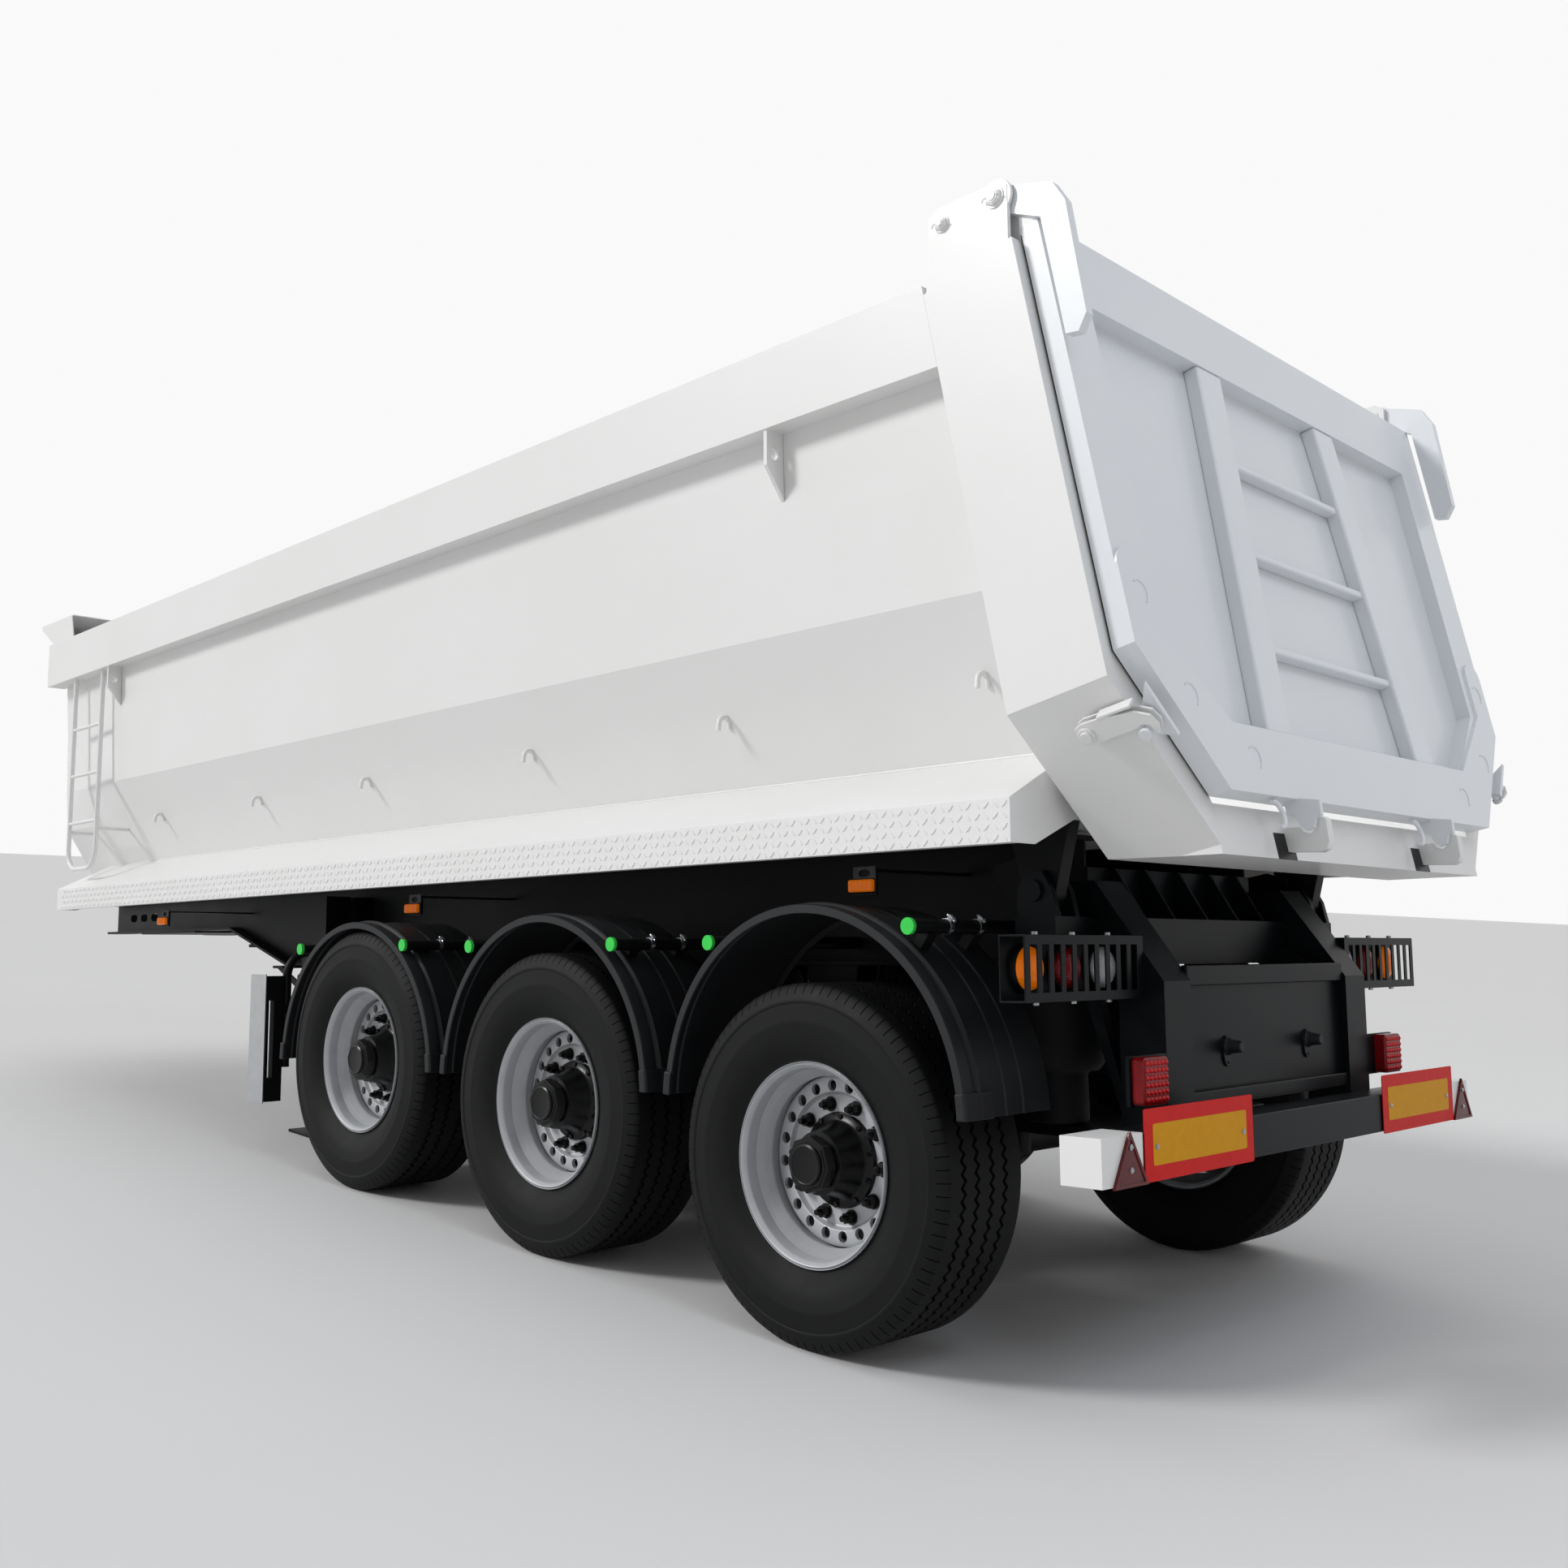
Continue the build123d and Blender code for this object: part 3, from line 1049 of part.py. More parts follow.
def top_rails():
    """Box rails along the tops of the walls, with the lashing lugs under them."""
    inner = SIDE_FOLDS[0][0]
    rail = box(PORTAL_REAR_X - 600, CORNER_X, inner, HALF_WIDTH, RAIL_BOTTOM, BODY_TOP)
    nose = SIDE_FOLDS[0][1]
    nose_line = [
        (CORNER_X, inner), (CORNER_X, HALF_WIDTH), (RAIL_FRONT_X, HALF_WIDTH),
        (RAIL_FRONT_X, nose), (FRONT_X, nose),
    ]
    nose_face = Plane.XY.offset(RAIL_BOTTOM) * Polygon(*nose_line, align=None)
    rail += extrude(nose_face, BODY_TOP - RAIL_BOTTOM, dir=(0, 0, 1))
    rail -= PORTAL * box(-2000, PORTAL_DEPTH, -HALF_WIDTH - 1, HALF_WIDTH + 1, -1000, 3000)
    rail -= front_wall()
    edge = HALF_WIDTH - 6
    lug_line = [
        (inner + 1, RAIL_BOTTOM + 1), (edge, RAIL_BOTTOM + 1), (edge, RAIL_BOTTOM - 115),
        (inner - 2, RAIL_BOTTOM - 215),
    ]
    half = LASHING_LUG / 2
    lugs = []
    for x in LASHING_LUG_XS:
        hole = rod_x(HALF_WIDTH - 38, RAIL_BOTTOM - 75, LASHING_HOLE_RADIUS, x - LASHING_LUG, x + LASHING_LUG)
        lugs.append(section_x(lug_line, x - half, x + half) - hole - body_core())
    return group(mirrored([joined([rail, *lugs])]))


def skirts():
    """Folded step skirts with closed ends."""
    meet = wall_y(SKIRT_MEET_Z)
    lip = HALF_WIDTH - SKIRT_LIP
    line = [
        (lip, SKIRT_BOTTOM), (HALF_WIDTH, SKIRT_BOTTOM), (HALF_WIDTH, SKIRT_TOP), (meet, SKIRT_MEET_Z),
        (meet, SKIRT_MEET_Z - SHEET), (HALF_WIDTH - SHEET, SKIRT_TOP - SHEET),
        (HALF_WIDTH - SHEET, SKIRT_BOTTOM + SHEET),
        (lip, SKIRT_BOTTOM + SHEET),
    ]
    end_line = [
        (HALF_WIDTH, SKIRT_BOTTOM), (HALF_WIDTH, SKIRT_TOP), (meet, SKIRT_MEET_Z),
        (SILL_HALF + 2, FLOOR_TOP + 10),
        (HALF_WIDTH - 110, SKIRT_BOTTOM),
    ]
    sheet = section_x(line, SKIRT_REAR_X, SKIRT_FRONT_X)
    ends = [section_x(end_line, x, x + SHEET) for x in (SKIRT_REAR_X, SKIRT_FRONT_X - SHEET)]
    skirt = joined([sheet, *ends]) - left_wall()
    skirt -= PORTAL * box(-2000, PORTAL_DEPTH, -HALF_WIDTH - 1, HALF_WIDTH + 1, -1000, 3000)
    return group(mirrored([skirt.solids().sort_by(SortBy.VOLUME)[-1]]))


def visor():
    """Leaning spill guard over the front wall, with side cheeks."""
    half = HALF_WIDTH - 60
    foot = FRONT_X + VISOR_FOOT
    tip = (FRONT_X + VISOR_REACH, BODY_TOP + VISOR_RISE)
    lip = (tip[0] - VISOR_LIP, tip[1] + VISOR_LIP)
    sheet = plate_y([(FRONT_X, BODY_TOP), (foot, BODY_TOP), tip, lip], -half, half)
    cheek_line = [(FRONT_X - 290, BODY_TOP), (foot, BODY_TOP), tip, lip, (lip[0] - 54, lip[1])]
    cheeks = mirrored([plate_y(cheek_line, half - 1, half + SHEET)])
    return joined([sheet, *cheeks])


def ladder():
    """Bent-bar ladder on the left front corner."""
    front_x = LADDER_REAR_X + LADDER_WIDTH
    y = HALF_WIDTH - 36
    path = FilletPolyline((LADDER_REAR_X, y, RAIL_BOTTOM), (LADDER_REAR_X, y, LADDER_FOOT_Z),
                          (front_x, y, LADDER_FOOT_Z), (front_x, y, RAIL_BOTTOM), radius=LADDER_BEND)
    stile = sweep(Plane(path @ 0, z_dir=path % 0) * Circle(LADDER_STILE_RADIUS), path=path)
    rungs = [rod_x(y, z, LADDER_RUNG_RADIUS, LADDER_REAR_X, front_x) for z in LADDER_RUNG_ZS]
    stays = []
    for x in (LADDER_REAR_X, front_x):
        wall = corner_y(x, LADDER_STAY_Z + LADDER_RUNG_RADIUS) + SEAT_GAP
        stays.append(rod_y(x, LADDER_STAY_Z, LADDER_RUNG_RADIUS, wall, y))
    return joined([stile, *rungs, *stays])


def rope_hooks():
    """Flat rope hooks along the lower crease of both walls."""
    z = SIDE_FOLDS[4][2] - 6
    seat = wall_y(z)
    line = [
        (seat - 12, z - 26), (seat + 34, z - 26), (seat + 34, z + 30), (seat + 24, z + 30),
        (seat + 24, z - 12),
        (seat - 12, z - 12),
    ]
    half = ROPE_HOOK_WIDTH / 2
    return group(mirrored([section_x(line, x - half, x + half) - body_core() for x in ROPE_HOOK_XS]))


def gate_locks():
    """Lower lock hooks on the sill and latch arms on the knee panels."""
    sill_x = portal_x(SILL_BOTTOM + 70)
    root = SILL_BOTTOM + 50
    tip = SILL_BOTTOM + 132
    hook_line = [(sill_x - 70, root), (sill_x - 70, tip), (sill_x - 45, tip), (sill_x - 38, root)]
    locks = []
    for y in (GATE_LOCK_Y, -GATE_LOCK_Y):
        base = box(sill_x - 40, sill_x + 40, y - 60, y + 60, root - 25, root + 45)
        locks.append((base + plate_y(hook_line, y - 14, y + 14)) - REAR_FRAME_SPACE)
    knee_w = rise(POST_KNEE_Z)
    sill_w = rise(SILL_BOTTOM + SILL_LIP)
    run = hypot(HALF_WIDTH - SILL_HALF, knee_w - sill_w)
    out_y = (knee_w - sill_w) / run
    out_z = (SILL_HALF - HALF_WIDTH) / run
    seat_w = rise(LATCH_Z)
    seat_y = SILL_HALF + (seat_w - sill_w) * (HALF_WIDTH - SILL_HALF) / (knee_w - sill_w)
    plane = Plane(origin=(120, seat_y, seat_w), x_dir=(-1, 0, 0), z_dir=(0, out_y, out_z))
    arm = extrude(plane.offset(10) * (Pos(0.3 * LATCH_LENGTH, 0) * SlotOverall(LATCH_LENGTH, LATCH_WIDTH)), 12)
    boss = extrude(plane * Circle(26), 26)
    return group([*locks, *mirrored([PORTAL * (arm + boss)])])


REAR_FRAME_SPACE = PORTAL * box(0, 2000, -1500, 1500, -1000, 3000)


# Tailgate, built on the leaning rear plane.

def gate_outline():
    """Outline of the tailgate in Y and chassis height."""
    return both_sides([(GATE_HALF, GATE_TOP), (GATE_HALF, GATE_KNEE_Z), (GATE_FOOT_HALF, GATE_BOTTOM)])


def gate_window(half, head_z):
    """Outline of the field between the stiles, narrowing at the knees down to the apron."""
    foot = GATE_HALF - GATE_STILE - APRON_BEVEL
    return both_sides([(half, head_z), (half, GATE_KNEE_Z + 60), (foot, APRON_Z)])


def gate_panel():
    """Boxed frame with a recessed skin, and the apron plate with its rounded ears over its foot."""
    face_x = -GATE_GAP - GATE_DEPTH + APRON
    frame = leaning(gate_outline(), face_x, -GATE_GAP)
    frame -= leaning(gate_window(GATE_HALF - GATE_STILE, GATE_RAIL_Z), face_x - 1, -GATE_GAP - GATE_SKIN)
    apron_line = both_sides([(GATE_HALF, APRON_EAR_Z), (GATE_HALF, GATE_KNEE_Z), (GATE_FOOT_HALF, GATE_BOTTOM)])
    apron = leaning(apron_line, face_x - APRON, face_x + 1)
    apron -= leaning(gate_window(GATE_HALF - APRON_EAR_WIDTH, GATE_TOP), face_x - APRON - 1, face_x + 2)
    ear_edges = apron.edges().filter_by(lambda edge: edge.length < 1.5 * APRON).group_by(Axis.Z)[-1]
    return frame + fillet(ear_edges, APRON_EAR_ROUND)


def gate_ribs():
    """Two splayed ribs with the rungs between them."""
    face_x = -GATE_GAP - GATE_DEPTH + APRON
    skin_x = -GATE_GAP - GATE_SKIN
    half = GATE_RIB_WIDTH / 2
    rib_line = [
        (GATE_RIB_TOP_Y - half, GATE_RAIL_Z), (GATE_RIB_TOP_Y + half, GATE_RAIL_Z),
        (GATE_RIB_FOOT_Y + half, APRON_Z),
        (GATE_RIB_FOOT_Y - half, APRON_Z),
    ]
    shapes = mirrored([leaning(rib_line, face_x + 2, skin_x)])
    for z in GATE_RUNG_ZS:
        share = (GATE_RAIL_Z - z) / (GATE_RAIL_Z - APRON_Z)
        reach = GATE_RIB_TOP_Y + share * (GATE_RIB_FOOT_Y - GATE_RIB_TOP_Y) - half + 5
        low = z - GATE_RUNG / 2
        high = z + GATE_RUNG / 2
        rung = [(-reach, low), (reach, low), (reach, high), (-reach, high)]
        shapes.append(leaning(rung, face_x + 12, skin_x))
    return joined(shapes)


def gate_arms():
    """Hinge arms from the top pins over the corners of the tailgate."""
    y0 = HINGE_INNER_Y + HINGE_PLATE + MOVING_GAP / 2
    y1 = HINGE_OUTER_Y - MOVING_GAP / 2
    reach = GATE_EYE_RADIUS
    x = GATE_PIN_X
    line = [
        (x + 10, GATE_PIN_Z + reach), (x - 176, GATE_PIN_Z - 13), (x - 216, GATE_PIN_Z - 78),
        (x - 272, GATE_TOP - 310),
        (x - 246, GATE_TOP - 355), (x - 206, GATE_TOP - 350), (x - 136, GATE_TOP),
        (x - 20, GATE_PIN_Z - reach),
        (x + 10, GATE_PIN_Z - reach + 4),
    ]
    arm = plate_y(line, y0, y1) + rod_y(x, GATE_PIN_Z, reach, y0, y1)
    arm -= rod_y(x, GATE_PIN_Z, GATE_PIN_RADIUS + RUNNING_GAP, y0 - 1, y1 + 1)
    arm -= leaning(gate_outline(), -GATE_GAP - GATE_DEPTH + APRON, 400)
    return group(mirrored([arm.solids().sort_by(SortBy.VOLUME)[-1]]))


# Hoist in front of the body.

HOIST_TILT = degrees(atan2(HOIST_X - HOIST_EYE_X, HOIST_EYE_Z - HOIST_Z))
HOIST_LENGTH = hypot(HOIST_X - HOIST_EYE_X, HOIST_EYE_Z - HOIST_Z)
HOIST = Pos(HOIST_X, 0, HOIST_Z) * Rot(0, -HOIST_TILT, 0)


def hoist_radius(stage):
    """Outer radius of a stage, 0 being the tube in the cradle."""
    return HOIST_RADIUS - stage * HOIST_STEP


def hoist_tube():
    """Base tube with its trunnions."""
    top = HOIST_LENGTH - HOIST_HEAD
    bore = HOIST_RADIUS - HOIST_STEP + HOIST_CLEARANCE
    shell = rod_z(0, 0, HOIST_RADIUS, -55, top) - rod_z(0, 0, bore, -20, top + 1)
    trunnions = rod_y(0, 0, TRUNNION_RADIUS, -TRUNNION_REACH, TRUNNION_REACH)
    trunnions -= rod_z(0, 0, HOIST_RADIUS - 1, -100, 100)
    return HOIST * joined([shell, *trunnions.solids()])


def hoist_stage(stage):
    """One sliding stage, with the knuckle on the last."""
    radius = hoist_radius(stage)
    top = HOIST_LENGTH - HOIST_HEAD + HOIST_COLLAR * stage
    shape = rod_z(0, 0, radius, -18 + 3 * stage, top)
    if stage < HOIST_STAGES:
        bore = radius - HOIST_STEP + HOIST_CLEARANCE
        return HOIST * (shape - rod_z(0, 0, bore, -16 + 3 * stage, top + 1))
    knuckle = rod_y(0, HOIST_LENGTH, KNUCKLE_RADIUS, -KNUCKLE_HALF, KNUCKLE_HALF)
    knuckle += rod_z(0, 0, KNUCKLE_RADIUS - 10, top - 1, HOIST_LENGTH)
    return HOIST * joined([shape, knuckle])


def hoist_cradle():
    """Two cheeks on the front cross members that hold the trunnions."""
    floor_z = NECK_MEMBER_BOTTOM
    rear = NECK_MEMBER_XS[1] + NECK_MEMBER / 2
    front = NECK_MEMBER_XS[2] - NECK_MEMBER / 2
    line = [(rear, floor_z), (rear, floor_z + 60), (HOIST_X - 60, HOIST_Z + 60), (HOIST_X + 60, HOIST_Z + 60),
            (front, floor_z + 60), (front, floor_z)]
    cheek = plate_y(line, HOIST_RADIUS + 14, HOIST_RADIUS + 42)
    cheek -= rod_y(HOIST_X, HOIST_Z, TRUNNION_RADIUS + RUNNING_GAP, 0, TRUNNION_REACH + 1)
    return group(mirrored([cheek]))


def build_nodes():
    """All nodes in the row frame: name to shape."""
    wall = left_wall()
    pitched = {
        "main_beams": main_beams(),
        "cross_members": cross_members(),
        "rest_pads": rest_pads(),
        "coupler_plate": coupler_plate(),
        "kingpin": kingpin(),
        "rear_frame": rear_frame(),
        "bumper": bumper(),
        "square_lamps": square_lamps(),
        "plate_lamps": plate_lamps(),
        "lamp_boxes": lamp_boxes(),
        "round_lamps": round_lamps(),
        "marker_lamps": marker_lamps(),
        "marker_arms": marker_arms(),
        "axles": axles(),
        "hangers": hangers(),
        "trailing_arms": trailing_arms(),
        "air_springs": air_springs(),
        "air_tanks": air_tanks(),
        "mudguards": mudguards(),
        "guard_tubes": guard_tubes(),
        "tube_caps": tube_caps(),
        "landing_legs": landing_legs(),
        "side_guards": side_guards(),
        "side_guard_posts": side_guard_posts(),
        "hoist_cradle": hoist_cradle(),
        "body_floor": floor(),
        "body_bearers": body_bearers(),
        "body_left_wall": wall,
        "body_right_wall": mirror(wall, about=Plane.XZ),
        "body_front_wall": front_wall(),
        "body_portal": portal(),
        "top_rails": top_rails(),
        "skirts": skirts(),
        "visor": visor(),
        "ladder": ladder(),
        "rope_hooks": rope_hooks(),
        "gate_locks": gate_locks(),
        "gate_panel": gate_panel(),
        "gate_ribs": gate_ribs(),
        "gate_arms": gate_arms(),
        "hoist_tube": hoist_tube(),
    }
    for stage in range(1, HOIST_STAGES + 1):
        pitched[f"hoist_stage_{stage}"] = hoist_stage(stage)
    nodes = {name: STANCE * shape for name, shape in pitched.items()}
    nodes["landing_feet"] = landing_feet()
    left_tyre = tyre()
    left_wheel = wheel()
    for index in range(AXLE_COUNT):
        for side, turn in (("left", 0), ("right", 180)):
            sign = 1 if side == "left" else -1
            place = Pos(index * AXLE_SPACING, sign * WHEEL_CENTRE_Y, TYRE_RADIUS) * Rot(0, 0, turn)
            nodes[f"tyre_{index + 1}_{side}"] = place * left_tyre
            nodes[f"wheel_{index + 1}_{side}"] = place * left_wheel
    return nodes


def main():
    """Build the nodes, centre them over the origin and write one file each."""
    nodes = build_nodes()
    boxes = [shape.bounding_box() for shape in nodes.values()]
    middle = (min(b.min.X for b in boxes) + max(b.max.X for b in boxes)) / 2
    os.makedirs("parts", exist_ok=True)
    for name, shape in nodes.items():
        export_step(Pos(-middle, 0, 0) * shape, f"parts/{name}.step")
    print("row origin lies", round(middle, 4), "mm ahead of the rear axle")


main()
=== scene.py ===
"""Looks of a three-axle tipper semi-trailer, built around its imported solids.

Metres. Most pieces are drawn level in the chassis frame, whose origin lies on the ground under the
rear axle, and are then pitched into the parked stance. The wheels are drawn about their own axles.
"""
import json
import logging
import math
from dataclasses import dataclass, field
from enum import Enum
from typing import Callable, Iterable, Sequence

import bmesh
import bpy
from mathutils import Matrix, Vector


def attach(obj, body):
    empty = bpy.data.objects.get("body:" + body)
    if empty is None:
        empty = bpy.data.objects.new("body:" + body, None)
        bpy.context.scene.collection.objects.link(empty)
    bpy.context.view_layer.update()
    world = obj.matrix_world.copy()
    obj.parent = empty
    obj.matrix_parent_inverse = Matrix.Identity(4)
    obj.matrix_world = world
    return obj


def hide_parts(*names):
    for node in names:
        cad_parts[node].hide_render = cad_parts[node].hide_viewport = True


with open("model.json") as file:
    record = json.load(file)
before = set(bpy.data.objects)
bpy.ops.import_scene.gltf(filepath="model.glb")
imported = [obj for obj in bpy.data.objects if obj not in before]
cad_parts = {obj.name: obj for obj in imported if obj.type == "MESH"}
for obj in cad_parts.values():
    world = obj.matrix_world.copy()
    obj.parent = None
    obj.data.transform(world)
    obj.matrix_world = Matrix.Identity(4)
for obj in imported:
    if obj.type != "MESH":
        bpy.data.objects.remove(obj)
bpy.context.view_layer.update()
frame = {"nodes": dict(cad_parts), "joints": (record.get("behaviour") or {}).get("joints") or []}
LOG = logging.getLogger("tipper")
MM = 0.001
Point = tuple[float, float, float]


class Side(Enum):
    """The two sides of the trailer, as the sign of Y."""

    LEFT = 1
    RIGHT = -1

    @property
    def word(self) -> str:
        """The side's name as the nodes spell it."""
        return self.name.lower()


class Body(Enum):
    """The bodies that new pieces ride on, apart from the wheels."""

    CHASSIS = "chassis"
    TIPPER = "tipping_body"
    GATE = "tailgate"


@dataclass(frozen=True)
class Stance:
    """How the level chassis frame lies in the parked trailer's frame."""

    nose_down_deg: float = 4.2
    lift: float = 10 * MM
    lean_deg: float = 11.7
    lean_foot: Point = (-1200.0 * MM, 0.0, 1520 * MM)

    @property
    def rear_axle_x(self) -> float:
        """Where the rear axle lies along the trailer, from its rolling joint."""
        joint = next(j for j in frame["joints"] if j["name"] == "roll_1_left")
        return joint["pos_m"][0]

    @property
    def chassis(self) -> Matrix:
        """From the level chassis frame to the parked frame."""
        return Matrix.Translation((self.rear_axle_x, 0, self.lift)) @ Matrix.Rotation(
            math.radians(self.nose_down_deg), 4, "Y")

    @property
    def gate(self) -> Matrix:
        """From the leaning rear plane, X inwards and Z up the plane, to the parked frame."""
        lean = Matrix.Rotation(math.radians(self.lean_deg), 4, "Y")
        return self.chassis @ Matrix.Translation(self.lean_foot) @ lean

    def axle(self, index: int, side: Side) -> Matrix:
        """From a wheel's own frame, outboard along +Y, to the parked frame.

        Args:
            index: Axle number, 1 at the rear.
            side: Side of the trailer.

        Returns:
            The wheel's place.
        """
        joint = next(j for j in frame["joints"] if j["name"] == f"roll_{index}_{side.word}")
        turn = Matrix.Rotation(0 if side is Side.LEFT else math.pi, 4, "Z")
        return Matrix.Translation(joint["pos_m"]) @ turn


STANCE = Stance()


def linear(code: str) -> tuple[float, float, float, float]:
    """Turn an sRGB hex colour into linear values.

    Args:
        code: Six hex digits after a hash sign.

    Returns:
        Red, green, blue and full alpha.
    """
    parts = [int(code[i:i + 2], 16) / 255 for i in (1, 3, 5)]
    return (*[p / 12.92 if p <= 0.04045 else ((p + 0.055) / 1.055) ** 2.4 for p in parts], 1.0)


def add_node(tree: bpy.types.NodeTree, kind: str, settings: dict | None = None,
             links: dict | None = None) -> bpy.types.Node:
    """Add a node to a tree, with its settings and links.

    Args:
        tree: The material's node tree.
        kind: Node type.
        settings: Attributes by name, and input values by socket name or number.
        links: Output sockets to link, by input socket name or number.

    Returns:
        The new node.
    """
    node = tree.nodes.new(kind)
    for key, value in (settings or {}).items():
        if isinstance(key, str) and hasattr(node, key):
            setattr(node, key, value)
        else:
            node.inputs[key].default_value = value
    for key, socket in (links or {}).items():
        tree.links.new(socket, node.inputs[key])
    return node


@dataclass(frozen=True)
class Finish:
    """A surface finish: mottled colour, uneven gloss and a fine relief.

    The patches, the grain and the relief are sized in millimetres of the real surface.
    """

    name: str
    colour: str
    shade: str
    mottle_mm: float
    mottle: float
    roughness: tuple[float, float]
    grain_mm: float
    grain_depth_mm: float
    metallic: float = 0.0
    coat: float = 0.0
    specular: float = 0.5
    glow: float = 0.0

    def noise(self, tree: bpy.types.NodeTree, coords: bpy.types.NodeSocket, size_mm: float,
              detail: float = 3.0) -> bpy.types.NodeSocket:
        """Noise whose patches have a real size.

        Args:
            tree: The material's node tree.
            coords: Object coordinates, in metres.
            size_mm: Size of a patch.
            detail: Octaves of finer noise.

        Returns:
            The noise factor.
        """
        settings = {"Scale": 1 / (size_mm * MM), "Detail": detail, "Roughness": 0.55}
        return add_node(tree, "ShaderNodeTexNoise", settings, {"Vector": coords}).outputs[0]

    def relief(self, tree: bpy.types.NodeTree, coords: bpy.types.NodeSocket) -> bpy.types.NodeSocket:
        """Height of the fine relief, from 0 to 1."""
        return self.noise(tree, coords, self.grain_mm)

    def material(self) -> bpy.types.Material:
        """The finish as a material, made once and then shared.

        Returns:
            The material.
        """
        if self.name in bpy.data.materials:
            return bpy.data.materials[self.name]
        made = bpy.data.materials.new(self.name)
        made.use_nodes = True
        tree = made.node_tree
        tree.nodes.clear()
        coords = add_node(tree, "ShaderNodeTexCoord").outputs["Object"]
        patches = self.noise(tree, coords, self.mottle_mm, 4.0)
        spread = add_node(tree, "ShaderNodeMapRange", {"From Min": 0.35, "From Max": 0.7, "To Max": self.mottle},
                          {"Value": patches}).outputs[0]
        tint = add_node(tree, "ShaderNodeMix", {"data_type": "RGBA", 6: linear(self.colour), 7: linear(self.shade)},
                        {0: spread}).outputs[2]
        gloss = add_node(tree, "ShaderNodeMapRange", {"To Min": self.roughness[0], "To Max": self.roughness[1]},
                         {"Value": patches}).outputs[0]
        bump = add_node(tree, "ShaderNodeBump", {"Distance": self.grain_depth_mm * MM, "Strength": 1.0},
                        {"Height": self.relief(tree, coords)}).outputs[0]
        settings = {"Metallic": self.metallic, "Specular IOR Level": self.specular,
                    "Coat Weight": self.coat, "Coat Roughness": 0.08,
                    "Emission Color": linear(self.colour), "Emission Strength": self.glow}
        shader = add_node(tree, "ShaderNodeBsdfPrincipled", settings,
                          {"Base Color": tint, "Roughness": gloss, "Normal": bump}).outputs[0]
        add_node(tree, "ShaderNodeOutputMaterial", {}, {"Surface": shader})
        return made


@dataclass(frozen=True)
class LensFinish(Finish):
    """A moulded lamp lens, whose relief is a grid of small prisms."""

    def relief(self, tree: bpy.types.NodeTree, coords: bpy.types.NodeSocket) -> bpy.types.NodeSocket:
        """Height of the prisms, one for each cell of a regular grid."""
        settings = {"Scale": 1 / (self.grain_mm * MM), "Randomness": 0.0}
        return add_node(tree, "ShaderNodeTexVoronoi", settings, {"Vector": coords}).outputs["Distance"]


